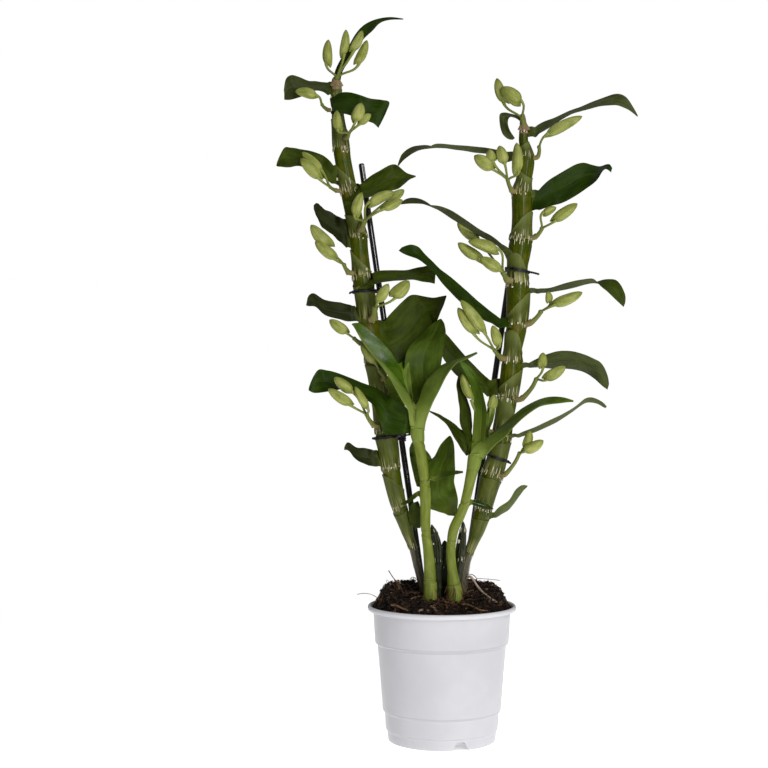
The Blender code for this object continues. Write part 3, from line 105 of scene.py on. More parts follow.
# leaves: rows run from the base to the tip, one row across the blade each:
# (u, v of the upper margin, u, v of the lower margin, y of the middle, side)
# side +1 shows the blade's upper face, -1 its underside.
LEAVES = {
    "leaf_left_01": dict(w=13, side=1, rows=[
        (334.2, 75, 341.4, 75.5, 1), (337, 66, 344.6, 67.5, 2), (342, 57, 350, 59.5, 3), (348.6, 46, 357, 48.5, 4),
        (355, 34.5, 363.6, 39, 5), (364, 25, 372, 31, 5), (376, 19.4, 380, 23.2, 4), (390, 17, 390.4, 19.8, 2),
        (403.4, 18.6, 403, 19.6, 0)]),
    "leaf_left_02": dict(w=24, side=1, rows=[
        (329.4, 82.6, 329.6, 96.5, -1), (322, 82, 323, 92, -3), (314, 81.5, 314, 91, -4), (306, 79.6, 306.5, 94.6, -5),
        (297.4, 76.4, 300, 97.2, -6), (290.5, 75.2, 293, 99.2, -6), (285.8, 79, 287.6, 100, -5), (283.8, 90, 284.2, 99.6, -4)]),
    "leaf_left_03": dict(w=25, side=1, rows=[
        (332.4, 97, 332, 111.5, -11), (340.6, 93, 342, 113, -12), (351, 92.4, 352.6, 116, -12.5), (360.5, 95, 361.5, 120, -12.5),
        (370, 98.5, 368.5, 121.6, -12), (380.5, 99.8, 373, 123, -12), (389.4, 102, 376, 125.5, -11.5), (386.6, 111.5, 377.4, 127, -11),
        (380, 125, 378.4, 127.8, -10)]),
    "leaf_left_04": dict(w=24, side=1, rows=[
        (335, 167.5, 333.4, 185, -2), (329.4, 160.4, 326.6, 180, -3), (321.6, 155, 317.4, 174.5, -4), (311.6, 151, 307.4, 169.5, -5),
        (300.4, 149, 298.6, 166, -5), (291.4, 148, 290.4, 167, -5), (284.8, 147.2, 282.4, 167, -4.5), (280, 155, 278, 166.6, -4),
        (277.2, 162, 276.2, 165.6, -4)]),
    "leaf_left_05": dict(w=27, side=1, rows=[
        (353.4, 188.6, 354.6, 199, -9), (359.6, 184.4, 361.6, 198.6, -9), (367, 179, 369, 196.8, -8), (376.6, 172.4, 378.6, 194.6, -7),
        (386.4, 166.5, 388.4, 191.6, -6), (394.4, 164.4, 397, 189, -5), (401, 168.4, 404, 184.4, -4), (408, 173.4, 409.4, 179.8, -3),
        (416, 175.8, 415.6, 177, -2)]),
    "leaf_left_06": dict(w=31, side=1, rows=[
        (344.4, 219.4, 347.4, 249, 3), (338, 216.2, 341, 242.4, 3), (330.4, 212.2, 333.8, 236.2, 2.5), (324, 208.4, 326.8, 230.8, 2),
        (319, 204.6, 320.8, 225, 1.5), (316, 203, 316.4, 216.4, 1), (313.6, 205.6, 313.8, 209.4, 1)]),
    "leaf_left_07": dict(w=23, side=1, rows=[
        (356.6, 277.4, 357, 290.4, -11.5), (365.6, 275.4, 366.4, 287, -12), (375, 272, 376, 283.6, -11), (385.6, 270.4, 386, 282, -10),
        (397.6, 270, 398, 280.6, -9.5), (409.6, 269.6, 410, 279.4, -9), (421.4, 267, 421, 281.6, -8), (431.4, 265.4, 429.4, 282.6, -7),
        (436, 272, 434.8, 283.8, -6)]),
    "leaf_left_08": dict(w=23, side=1, rows=[
        (354.4, 306.4, 354.6, 321, -1), (349, 304.4, 349.4, 321.4, -2), (342, 302.8, 342, 320, -3), (334, 301.8, 333.4, 318, -4),
        (326, 300, 326, 315.4, -5), (319, 296.4, 319, 309.6, -5), (312.4, 293.4, 313.6, 306.4, -5), (308, 296.6, 309, 306.2, -4),
        (306.6, 303, 306, 305.4, -3)]),
    "leaf_left_09": dict(w=36, side=1, rows=[
        (383.4, 323, 387, 364, 10), (388, 316.6, 402, 366, 13), (395, 309, 416, 358, 15), (403, 301, 426, 346, 16),
        (411, 295, 433, 333, 16), (421, 295.6, 437, 322, 15), (432, 298, 441, 311, 14), (440, 296.4, 444.6, 302, 12),
        (446.2, 295.4, 446.4, 296.8, 10)]),
    "leaf_left_10": dict(w=25, side=1, rows=[
        (410, 413, 409.6, 433.6, -21), (405, 406, 398.4, 434, -20), (394, 399, 384, 432, -18), (384, 393, 374.6, 407, -15.5),
        (374, 387.5, 363, 399, -12), (362, 382.5, 352, 393, -10), (350, 377.5, 343, 389, -8.5), (338, 373, 334, 390.5, -8),
        (327, 370.5, 324, 392.3, -8), (318.5, 369.6, 315, 393, -7), (312.5, 378, 311, 391.8, -7), (309, 387, 308.5, 390.3, -6)]),
    "leaf_left_11": dict(w=20, side=1, rows=[
        (374.6, 450.6, 377.4, 466.8, 4), (370, 449, 371.6, 466, 4), (363.4, 448, 364.6, 464, 3.5), (356, 447, 357.5, 460.5, 3),
        (350.5, 443.6, 351.5, 454, 2), (347, 442.4, 347.5, 450.2, 1.5), (344.4, 447, 344.2, 450, 1)]),
    "leaf_left_12": dict(w=30, side=1, rows=[
        (386, 379, 388, 410, -1), (391, 371, 399, 410, -1.5), (397, 365, 408, 401, -1.5), (403, 361.6, 411.6, 384, 0.5), (407.6, 360.6, 411, 372, 2.5),
        (409.6, 361.2, 410.2, 363, 3.5)]),
    "leaf_right_01": dict(w=11, side=1, rows=[
        (516.6, 115.4, 516.6, 118.4, -1), (511, 113.8, 511.6, 116.6, -2), (505, 112.3, 509, 118, -3), (500, 114, 508, 121, -3),
        (499.4, 120, 508, 125, -3), (500.4, 128, 509.4, 129.4, -3), (503, 134.6, 511.4, 133, -3.5), (508, 139, 513.4, 135.8, -4),
        (512.8, 139.8, 515, 138, -4)]),
    "leaf_right_02": dict(w=20, side=1, rows=[
        (532.6, 129, 533.6, 141, -1), (537, 125.4, 538, 134.4, -2), (544, 121.6, 545, 130.2, -3), (552, 118.3, 553, 125.4, -4),
        (561, 114.4, 562, 119, -4.5), (571, 110.5, 572, 112.4, -5), (580, 107.2, 581, 110.6, -6), (590, 102.6, 591, 108.4, -7),
        (600, 98.6, 600.4, 106.4, -8), (609, 95.4, 609, 105.6, -8), (618, 94, 617, 105.4, -8), (626, 97, 624, 107.6, -8),
        (632, 105, 630, 110.8, -8), (638, 115.6, 637.4, 116.8, -8)]),
    "leaf_right_03": dict(w=20, side=-1, rows=[
        (512.0, 152.6, 512.4, 166, -1), (504, 151, 504, 159.6, -2), (495, 149.6, 495, 156, -4), (485, 147.8, 485, 153.6, -6),
        (475, 146.7, 475, 152.8, -8), (465, 145.5, 465, 150.8, -10), (455, 144.6, 455, 149.3, -12), (445, 144.1, 445, 147.9, -13),
        (435, 144.4, 435, 147.2, -14), (427, 145.2, 427, 148.2, -14, 1), (419, 145.4, 419.6, 150, -14, 1), (411.4, 146.9, 413, 153, -14, 1),
        (405, 151, 407.4, 157, -13, 1), (400.6, 156.4, 402.4, 161.4, -12, 1), (397.6, 165, 398.6, 166, -11, 1)]),
    "leaf_right_04": dict(w=28, side=1, rows=[
        (536.6, 192.4, 536.4, 211.2, -2), (541.4, 187, 544, 208.4, -3), (549, 180, 552, 205.6, -4), (558, 174.4, 562, 203, -5),
        (567.4, 168.8, 572.4, 197.8, -6), (576, 164.2, 583, 191, -6.5), (584, 163, 592, 184.4, -7), (592, 165, 598, 178, -7),
        (599, 166.2, 602.6, 171.6, -7), (605, 164.5, 606, 169.2, -7), (609.5, 164.4, 609.4, 171, -7), (612.3, 168, 611, 172.4, -7)]),
    "leaf_right_05": dict(w=20, side=-1, rows=[
        (504.6, 246.4, 505.4, 256, -2), (499, 241.6, 499.6, 247.6, -4), (491, 235.8, 490, 241.4, -6), (482, 230.5, 480, 236, -11),
        (472, 223.8, 469, 229.3, -15), (462, 217.3, 458, 223, -16.5), (452, 211, 449, 217.3, -16.5), (442, 207, 440, 211, -15),
        (434.6, 205.1, 434, 206.8, -16), (427, 202, 427, 204.2, -17, 1), (419, 198.8, 419, 203.8, -17, 1), (411, 197.8, 411, 203.6, -17, 1),
        (405, 199.5, 405, 204, -17, 1), (399.5, 203.4, 399.5, 204.6, -16, 1)]),
    "leaf_right_06": dict(w=22, side=-1, rows=[
        (533.8, 289, 534.2, 294.8, 0), (540, 288.6, 540.4, 292.8, -1), (548, 288.4, 548, 291.6, -2), (556, 286, 557, 290.6, -2),
        (565, 283, 566, 289.6, -3), (575, 280.5, 576, 287.4, -4), (585, 279.5, 586, 284.3, -5), (594, 279.4, 594.4, 282.2, -6),
        (603, 279.3, 600.4, 285.5, -7, 1), (611, 279.3, 607, 291, -7, 1), (617, 280.8, 612, 296, -7, 1), (622, 287, 617, 301, -7, 1),
        (625.5, 296, 621, 304.6, -7, 1), (625.2, 303, 623.6, 307, -7, 1)]),
    "leaf_right_07": dict(w=22, side=1, rows=[
        (503.4, 320.6, 503.6, 332, -10.5), (497, 316, 493, 324, -10), (488, 309.5, 483, 320, -9), (478, 301.5, 472, 311, -9),
        (468, 291.5, 461, 302, -10), (458, 283, 451, 293, -11), (448, 275, 442, 283.5, -12), (439, 268.5, 434.6, 273, -13),
        (431, 260, 427, 265.5, -13), (424, 252.5, 419, 259.5, -13), (418, 246.6, 410, 256.5, -13), (410, 244.6, 403, 253.5, -12),
        (401.6, 247.4, 398.6, 250.6, -11)]),
    "leaf_right_08": dict(w=24, side=-1, rows=[
        (526.2, 364.6, 526.8, 368, 1), (532, 361, 533, 367.6, 1), (539, 357.6, 540, 367.4, 1), (547, 354.5, 548, 368, 1),
        (556, 351.6, 557, 368.6, 0), (565, 350.6, 565, 369, -1), (574, 351.2, 573, 369.4, -2), (584, 354.6, 581, 371, -3),
        (593, 358.5, 588, 374, -4), (600, 361.8, 594, 378.6, -5), (604.6, 368, 599, 383, -6), (608, 377, 603, 386.6, -6),
        (609, 384, 607.4, 389.8, -6)]),
    "leaf_right_09": dict(w=23, side=1, rows=[
        (492.0, 381.6, 489.4, 398.6, 9), (485.4, 376.2, 482.4, 392, 10), (477, 368.4, 472, 386, 11), (469, 360, 464, 381, 12),
        (461, 351, 456, 375, 12), (453.6, 342.4, 450, 368, 12), (447.4, 335.2, 443, 358, 12), (441, 329, 437, 345, 12),
        (434, 325, 433, 330, 11)]),
    "leaf_right_10": dict(w=18, side=-1, rows=[
        (514.8, 435.6, 515, 438.4, 1), (521, 432.6, 521, 436.6, 0.5), (529, 429.4, 529, 434.2, 0), (538, 425.3, 538, 431, 0),
        (548, 421, 548, 426.5, -1), (557, 417, 557, 421.7, -2), (564, 413.5, 565, 415.8, -3), (571, 409.2, 572, 410.8, -4),
        (578, 403.8, 579, 406, -4), (585, 398.8, 586, 402.9, -4), (592, 397.6, 593, 402.6, -4), (599, 400, 598, 404, -4),
        (604, 403.3, 602.5, 406.7, -4), (606.8, 406.6, 605.4, 408.2, -4)]),
    "leaf_right_11": dict(w=14, side=-1, rows=[
        (493.2, 513.4, 494.4, 518.4, 4), (497, 509, 500, 515.4, 3), (503, 504.6, 507, 511, 2), (508.6, 500.4, 512, 506, 1),
        (514, 492.5, 517.2, 499.5, 0), (518.5, 487, 521.6, 492.6, 0), (523, 485, 525, 489, 0), (527.6, 485.6, 527.2, 487, 0)]),
    "shoot_left_leaf_1": dict(w=26, side=1, rows=[
        (416.6, 406, 408.4, 410, -17.5), (412.4, 399, 403.4, 402, -19.5), (409, 391, 398, 392.6, -21), (403.6, 377, 391, 380, -22), (399, 365, 382, 366.6, -23),
        (392.6, 353.4, 372, 354.6, -24), (384.6, 344, 364, 344, -25), (375.6, 336, 358.2, 334, -25.5), (366, 327.4, 355, 328.4, -26),
        (359, 323, 353, 325.4, -26), (352.4, 323.4, 351.8, 324.6, -26)]),
    "shoot_left_leaf_2": dict(w=36, side=1, rows=[
        (411.5, 404, 428, 406, -2.6), (408.6, 394, 433, 396, -2), (406, 380, 437.5, 382, -1.4),
        (404.5, 365, 441, 365, -1), (407, 351, 443, 351, -0.4), (414, 341, 445, 338, 0), (423, 332, 445.2, 330, 0.4),
        (431, 325, 444.5, 324, 0.8), (438, 320, 442.5, 320.4, 1), (440.2, 318.8, 441.4, 319, 1)]),
    "shoot_left_leaf_3": dict(w=11, side=1, rows=[
        (410.6, 406, 413.4, 406, -16), (406.6, 396, 412.6, 396, -16), (401.6, 384, 411.2, 383, -16), (401.8, 374, 410.2, 374, -16), (405.2, 367, 409.4, 367, -15.8), (408.2, 362.4, 408.9, 362.4, -15.5)]),
    "shoot_left_leaf_4": dict(w=22, side=1, rows=[
        (418.4, 399.6, 432.6, 402.4, -17), (421, 391, 437, 394, -17), (424.8, 383, 441.2, 385.6, -16.5), (430.6, 375, 445.2, 377.6, -16),
        (438.4, 367.6, 450.2, 370, -15), (448, 362, 457, 362.7, -16), (458, 358.6, 464, 360, -16.5), (467, 355.5, 470, 357.5, -17),
        (476.4, 351.8, 477.6, 353.4, -17)]),
    "shoot_left_leaf_5": dict(w=20, side=1, rows=[
        (417.4, 488, 424.4, 488, 7), (414.6, 479, 431, 481, 8), (412, 468, 434, 470, 8), (410, 458, 431, 457, 8),
        (409.3, 449, 423, 447, 8), (412, 442, 415.6, 441.4, 8)]),
    "shoot_left_leaf_6": dict(w=10, side=1, rows=[
        (433, 477.2, 433, 481.4, -14), (441, 474, 442, 478.4, -13.5), (450, 471.2, 451, 475.4, -12.5), (457, 470.6, 457.6, 474, -10.8),
        (463, 471, 463, 473, -9)]),
    "shoot_left_leaf_7": dict(w=9, side=1, rows=[
        (417.6, 491, 417.6, 496.4, -8), (413, 494.4, 412.6, 500.4, -7), (407, 500, 408, 503.4, -6), (401, 503, 401.4, 505, -5)]),
    "shoot_right_leaf_1": dict(w=21, side=1, rows=[
        (466.4, 433.6, 461, 449, -8), (460.6, 428.8, 455.6, 439.4, -8.5), (455, 424.4, 450.6, 431, -9),
        (449.4, 420.4, 446.2, 424.2, -10), (443, 416, 441, 419, -11), (436, 413, 435, 415.4, -12), (428.6, 410.2, 428.8, 411.4, -13)]),
    "shoot_right_leaf_2": dict(w=20, side=1, rows=[
        (472.2, 440, 485, 440, -11), (472.8, 428, 485.6, 428, -10.4), (473.8, 414, 486.6, 414, -10.4), (473.5, 400, 485.2, 402, -11), (471, 388, 482.5, 390, -12),
        (467, 377.5, 478.5, 378, -12.5), (463, 369, 471, 368, -13), (459, 361.4, 461, 360.4, -13.5)]),
    "shoot_right_leaf_3": dict(w=11, side=1, rows=[
        (485, 432, 489, 431, -11), (484.6, 422.6, 493, 421, -11), (487.4, 413.6, 494.8, 413.6, -11), (493.4, 407.6, 495.6, 408.6, -11)]),
    "shoot_right_leaf_4": dict(w=23, side=1, rows=[
        (484.6, 438.6, 490.6, 449.6, -14), (492, 432.4, 497, 443, -14.5), (501, 425.4, 505.4, 436.4, -15),
        (511, 417.8, 513.4, 427, -16), (521, 409.4, 522, 418.6, -17), (531, 403.2, 531, 411.6, -18), (541, 398.6, 540, 406.2, -19),
        (551, 396.4, 550, 404, -20), (561, 397, 560, 403, -21), (568, 398.6, 567.6, 402, -21), (573.6, 400.4, 573.4, 401.8, -21)]),
    "shoot_right_leaf_5": dict(w=16, side=-1, rows=[
        (464.4, 434, 472.2, 434, -1), (460, 423, 472, 424, 0), (459.3, 408, 470.8, 410, 1), (458, 396, 467, 399, 2),
        (456.3, 385, 462.5, 390, 2), (458, 376.5, 460.5, 377, 2)]),
    "shoot_right_leaf_6": dict(w=36, side=1, rows=[
        (450, 516.6, 456, 514, 3), (445, 513.6, 457.4, 506, 2), (437, 510.6, 458, 499, 0),
        (424, 506, 456, 490, -4), (421, 490, 454, 481, -4.6), (423, 474, 455, 472, -5), (427, 463, 455.3, 463, -5), (434, 456, 454.6, 455, -5),
        (440, 445.5, 454, 446, -4.6), (446, 438.6, 452.6, 439.6, -4), (449.2, 435.8, 450.8, 436, -4)]),
    "shoot_right_leaf_7": dict(w=9, side=1, rows=[
        (472, 499.6, 471.6, 504.6, -8), (478, 500.4, 477.6, 506.4, -7.4), (485, 502.6, 484.6, 508.4, -7), (490, 506.4, 489.6, 509.6, -6),
        (493.4, 508.2, 493, 509.4, -5)]),
}

# bud sprays: base and hub of the common stalk (u, v, y), stalk width, then
# the buds as (tip u, v, foot u, v, width, y, y of the foot)
SPRAYS = {
    "buds_left_01": dict(base=(336.4, 83.2, -0.5), hub=(337, 77, -3), wide=6.0, buds=[
        (328.5, 39.5, 327.4, 64.5, 10.4, -6), (345.8, 29.5, 343, 55, 9.6, -7), (362.2, 30.4, 352.6, 50.5, 9.6, -7), (366.8, 40, 357.6, 63.4, 10.2, -3)]),
    "buds_left_02": dict(base=(327.4, 109.6, -5), hub=(322, 104.6, -13), wide=3.6, buds=[(295, 91.4, 316.4, 95.6, 11.2, -21)]),
    "buds_left_03": dict(base=(347, 137.4, -9.5), hub=(349, 133, -13), wide=4.0, buds=[
        (337, 110.4, 338.6, 130, 10.4, -19), (361.4, 102.8, 355, 121, 14.0, -22), (371, 114, 359.4, 123.6, 9.6, -21)]),
    "buds_left_04": dict(base=(336, 190.4, -4), hub=(330, 187, -10), wide=3.6, buds=[
        (300.6, 158.4, 319.6, 178, 12.4, -17), (302, 152, 321.4, 171, 10.6, -13)]),
    "buds_left_05": dict(base=(361.4, 229, -7.5), hub=(364.6, 221, -13), wide=5.6, buds=[
        (362.2, 192.4, 355.4, 216, 11.4, -19), (395, 192.4, 369.6, 203.4, 11.6, -16.5), (404.2, 189.6, 387.4, 200.4, 10.6, -11.5), (402.6, 199.6, 382.8, 208.6, 9.8, -20)]),
    "buds_left_06": dict(base=(348.6, 272.4, -4.5), hub=(344, 264.6, -9), wide=4.4, buds=[
        (311, 224.6, 329.6, 246.6, 14.0, -11), (315, 241.4, 335, 258.4, 12.0, -15)]),
    "buds_left_07": dict(base=(373, 318.6, -8.5), hub=(375, 308, -15), wide=6.4, buds=[
        (409, 280.6, 393.6, 297, 15.4, -21), (388.4, 283.6, 377.6, 302, 11.4, -20)]),
    "buds_left_08": dict(base=(360, 343, -6), hub=(354, 338.4, -9), wide=4.4, buds=[(329.4, 319.6, 347, 332.4, 11.8, -13)]),
    "buds_left_09": dict(base=(384.4, 378.6, -7), hub=(379, 370, -11), wide=4.2, buds=[(361, 344.6, 375.4, 363, 10.0, -13)]),
    "buds_left_10": dict(base=(373.6, 425, -6), hub=(366.6, 414.6, -16), wide=4.6, buds=[
        (334, 377.4, 352, 391.6, 12.0, -23), (328, 388.6, 350.6, 404.2, 11.4, -25), (355, 386.4, 367.6, 408, 9.0, -25.5)]),
    "buds_right_01": dict(base=(523.6, 127.6, -0.5), hub=(522, 118, -2.5), wide=5.6, buds=[
        (497, 78, 505, 102.4, 11.6, -2), (501, 87.6, 520.4, 101.6, 15.4, -9)]),
    "buds_right_02": dict(base=(537.4, 157.2, -2), hub=(539, 146.6, -6), wide=4.0, buds=[(582.4, 116.4, 547, 134.6, 11.8, -12.5)]),
    "buds_right_03": dict(base=(512, 190.6, -8), hub=(507.6, 179.6, -11), wide=4.4, buds=[
        (474.2, 155.4, 493.4, 168.2, 14.4, -15.5), (489, 149.4, 493.6, 160.4, 10.6, -19), (499.2, 145.6, 504.6, 163, 12.4, -20), (516.4, 142.6, 517.4, 172, 11.8, -14)]),
    "buds_right_04": dict(base=(535, 237.2, -2), hub=(542, 228.4, -5), wide=4.4, buds=[
        (577.4, 203.4, 554, 220.6, 12.0, -12), (556.4, 207.4, 543.4, 213.4, 8.6, -9)]),
    "buds_right_05": dict(base=(507.4, 279.6, -9), hub=(503, 272.6, -11.5), wide=5.6, buds=[
        (457.4, 222.4, 477.6, 240, 12.4, -1), (458, 242.6, 478.6, 258.6, 12.0, -10.5), (468, 241.4, 497, 250, 12.6, -17.5), (479.6, 257.6, 500.6, 270, 12.6, -18)]),
    "buds_right_06": dict(base=(530, 323.4, -2.5), hub=(541, 311.6, -5), wide=5.0, buds=[
        (582.4, 292, 553.6, 304.6, 12.0, -12), (547.6, 291.4, 549.6, 302, 8.0, -7)]),
    "buds_right_07": dict(base=(501.4, 358, -7.5), hub=(494.6, 350.4, -16), wide=4.6, buds=[
        (460.4, 300, 484, 331.4, 12.4, -25), (458, 307.4, 475, 333, 12.0, -21), (492.4, 325.4, 499, 345, 11.2, -21)]),
    "buds_right_08": dict(base=(522, 398.6, -2), hub=(536.4, 379, -5), wide=4.8, buds=[
        (543, 352.4, 542, 367.6, 10.4, -9.5), (565.4, 366.4, 545.4, 379, 12.0, -10.5)]),
    "buds_right_09": dict(base=(488.4, 431.6, -7), hub=(488.6, 424, -6.6), wide=4.6, buds=[
        (494.4, 394.4, 490.6, 409.4, 11.0, -10)]),
    "buds_right_10": dict(base=(505, 474.6, -3), hub=(519.6, 453, -7), wide=4.2, buds=[
        (543.4, 440.2, 524, 451, 12.0, -11), (530, 430.4, 526.4, 446, 9.6, -8.5)]),
}

# ---------------------------------------------------------------------------
# mesh soup: many pieces gathered in one mesh, with two attributes that the
# materials read: "grow" (round, round, along) and "tone" (two free numbers)
# ---------------------------------------------------------------------------
class Soup:
    def __init__(self):
        self.v, self.f, self.m, self.g, self.t = [], [], [], [], []
        self.n = 0

    def add(self, verts, faces, mat=0, grow=None, tone=None):
        verts = np.asarray(verts, float).reshape(-1, 3)
        count = len(verts)
        self.v.append(verts)
        if grow is None:
            grow = verts * 100.0
        self.g.append(np.asarray(grow, float).reshape(-1, 3))
        if tone is None:
            tone = (0.5, 0.5)
        tone = np.asarray(tone, float)
        if tone.ndim == 1:
            tone = np.tile(tone, (count, 1))
        self.t.append(np.column_stack([tone, np.zeros(count)]))
        for block in (faces if isinstance(faces, list) else [faces]):
            block = np.asarray(block, np.int64)
            if len(block) == 0:
                continue
            mats = np.full(len(block), mat) if np.isscalar(mat) else np.asarray(mat)
            self.f.append(block + self.n)
            self.m.append(mats)
        self.n += count

    def build(self, name, mats, body="root", replaces=(), slot=None, fix=True):
        mesh = bpy.data.meshes.new(name)
        verts = np.concatenate(self.v)
        loops = np.concatenate([f.ravel() for f in self.f])
        counts = np.concatenate([np.full(len(f), f.shape[1]) for f in self.f])
        starts = np.concatenate([[0], np.cumsum(counts)[:-1]])
        mesh.vertices.add(len(verts))
        mesh.vertices.foreach_set("co", verts.astype(np.float32).ravel())
        mesh.loops.add(len(loops))
        mesh.loops.foreach_set("vertex_index", loops.astype(np.int32))
        mesh.polygons.add(len(counts))
        mesh.polygons.foreach_set("loop_start", starts.astype(np.int32))
        mesh.polygons.foreach_set("material_index", np.concatenate(self.m).astype(np.int32))
        mesh.polygons.foreach_set("use_smooth", np.ones(len(counts), bool))
        mesh.update(calc_edges=True)
        for label, data in (("grow", self.g), ("tone", self.t)):
            layer = mesh.attributes.new(label, 'FLOAT_VECTOR', 'POINT')
            layer.data.foreach_set("vector", np.concatenate(data).astype(np.float32).ravel())
        mesh.validate()
        if fix:
            bm = bmesh.new()
            bm.from_mesh(mesh)
            bmesh.ops.recalc_face_normals(bm, faces=bm.faces)
            bm.to_mesh(mesh)
            bm.free()
        obj = bpy.data.objects.new(name, mesh)
        bpy.context.scene.collection.objects.link(obj)
        for mat in mats:
            mesh.materials.append(mat)
        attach(obj, body)
        if replaces:
            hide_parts(*replaces)
        return obj


def grid_faces(rows, cols, wrap=False, base=0):
    """Quads between rows of points."""
    i = np.arange(rows - 1)[:, None]
    j = np.arange(cols if wrap else cols - 1)[None, :]
    k = (j + 1) % cols
    a, b = i * cols + j, i * cols + k
    c, d = (i + 1) * cols + k, (i + 1) * cols + j
    return base + np.stack([a, b, c, d], -1).reshape(-1, 4)


def fan(centre, ring, flip=False):
    """Triangles from a centre point to a closed ring of indices."""
    ring = np.asarray(ring)
    nxt = np.roll(ring, -1)
    tri = np.stack([np.full(len(ring), centre), ring, nxt], -1)
    return tri[:, ::-1] if flip else tri


def unit(a):
    a = np.asarray(a, float)
    return a / np.maximum(np.linalg.norm(a, axis=-1, keepdims=True), 1e-12)


def carry(points, first=None):
    """Tangents and two cross directions carried along a line without twist."""
    points = np.asarray(points, float)
    tang = unit(np.gradient(points, axis=0))
    if first is None:
        first = np.array([0.0, 1.0, 0.0]) if abs(tang[0][1]) < 0.9 else np.array([1.0, 0.0, 0.0])
    one = np.zeros_like(points)
    ref = np.asarray(first, float)
    for i, t in enumerate(tang):
        ref = ref - t * ref.dot(t)
        ref = ref / max(np.linalg.norm(ref), 1e-12)
        one[i] = ref
    return tang, one, np.cross(tang, one)


def rod(soup, points, radii, sides=10, mat=0, tone=None, first=None, caps=True, ripple=None, grow_scale=100.0, flat=1.0):
    """A bar along a line of points; its end caps are closed."""
    points = np.asarray(points, float)
    radii = np.broadcast_to(np.asarray(radii, float), (len(points),)) if np.ndim(radii) < 2 else np.asarray(radii)
    tang, one, two = carry(points, first)
    turn = np.linspace(0, math.tau, sides, endpoint=False)
    cos, sin = np.cos(turn), np.sin(turn)
    r = radii[:, None] if radii.ndim == 1 else radii
    if ripple is not None:
        r = r * ripple
    ring = points[:, None, :] + r[..., None] * (cos[None, :, None] * one[:, None, :] + flat * sin[None, :, None] * two[:, None, :])
    step = np.concatenate([[0], np.cumsum(np.linalg.norm(np.diff(points, axis=0), axis=1))])
    grow = np.stack([np.broadcast_to(cos, ring.shape[:2]), np.broadcast_to(sin, ring.shape[:2]),
                     np.broadcast_to(step[:, None] * grow_scale, ring.shape[:2])], -1)
    verts, grows = ring.reshape(-1, 3), grow.reshape(-1, 3)
    faces = [grid_faces(len(points), sides, True)]
    if caps:
        n = len(verts)
        verts = np.vstack([verts, points[0], points[-1]])
        grows = np.vstack([grows, [0, 0, 0], [0, 0, step[-1] * grow_scale]])
        faces.append(np.vstack([fan(n, np.arange(sides), True), fan(n + 1, np.arange(sides) + (len(points) - 1) * sides)]))
    if tone is not None and np.ndim(tone) == 2 and len(tone) == len(points):
        tone = np.repeat(np.asarray(tone, float), sides, axis=0)
        if caps:
            tone = np.vstack([tone, tone[0], tone[-1]])
    soup.add(verts, faces, mat, grows, tone)


def curve_through(points, count):
    """Smooth line of count points through the given ones."""
    points = [list(p) for p in points]
    return np.array([spline_read(points, i / (count - 1)) for i in range(count)])


def spline_read(rows, t):
    """Catmull-Rom reading of rows of equal length at t from 0 to 1."""
    last = len(rows) - 1
    x = min(max(t, 0.0), 1.0) * last
    i = min(int(x), last - 1)
    f = x - i
    p0 = rows[max(i - 1, 0)]
    p1, p2 = rows[i], rows[i + 1]
    p3 = rows[min(i + 2, last)]
    out = []
    for a, b, c, d in zip(p0, p1, p2, p3):
        out.append(0.5 * (2 * b + (c - a) * f + (2 * a - 5 * b + 4 * c - d) * f * f
                          + (3 * b - a - 3 * c + d) * f ** 3))
    return out


class Stem:
    """A cane or shoot: its middle line, radius and cross directions by row v."""

    def __init__(self, rows):
        n = (len(rows) - 1) * 14 + 1
        s = np.array([spline_read(rows, i / (n - 1)) for i in range(n)])
        s = s[np.argsort(s[:, 1])]
        self.v, self.u, self.w, self.y = s[:, 1], s[:, 0], s[:, 2], s[:, 3]

    def centre(self, v):
        v = np.asarray(v, float)
        u, y = np.interp(v, self.v, self.u), np.interp(v, self.v, self.y)
        k = (D + y * 0.001) / F
        return np.stack([CX + (u - 384.0) * k, y * 0.001, CZ + (384.0 - v) * k], -1)

    def radius(self, v):
        v = np.asarray(v, float)
        w, y = np.interp(v, self.v, self.w), np.interp(v, self.v, self.y)
        return 0.5 * w * (D + y * 0.001) / F

    def frame(self, v):
        v = np.asarray(v, float)
        t = unit(self.centre(v - 4.0) - self.centre(v + 4.0))
        x = np.array([1.0, 0.0, 0.0])
        one = unit(x - t * (t @ x)[..., None])
        return t, one, np.cross(t, one)

    def point(self, v, turn, off=0.0, scale=1.0):
        """A point on the surface; turn 0 is right, 90 the back, 270 the front."""
        v, turn = np.broadcast_arrays(np.asarray(v, float), np.asarray(turn, float))
        t, one, two = self.frame(v)
        r = self.radius(v) * scale + off
        return self.centre(v) + r[..., None] * (np.cos(turn)[..., None] * one + np.sin(turn)[..., None] * two)


def on_front(stem, u, v):
    """The turn of the surface point seen at (u, v)."""
    c = stem.centre(v)
    t, one, two = stem.frame(v)
    r = float(stem.radius(v))
    k = (D + float(c[1])) / F
    x = CX + (u - 384.0) * k
    cos = max(-0.98, min(0.98, (x - float(c[0])) / r))
    return -math.acos(cos)


def smooth_noise(x, seed, octaves=3):
    """Plain one-dimensional noise for outlines, -1 to 1."""
    out = np.zeros_like(np.asarray(x, float))
    gen = np.random.default_rng(seed)
    for o in range(octaves):
        phase, freq = gen.uniform(0, math.tau, 3), gen.uniform(0.7, 1.4, 3) * 2 ** o
        for p, f in zip(phase, freq):
            out += np.sin(x * f + p) / (3 * 1.6 ** o)
    return out

# ---------------------------------------------------------------------------
# materials
# ---------------------------------------------------------------------------
def lin(r, g, b):
    """Eight-bit display colour to scene-linear."""
    out = []
    for c in (r, g, b):
        c = c / 255.0
        out.append(c / 12.92 if c <= 0.04045 else ((c + 0.055) / 1.055) ** 2.4)
    return out


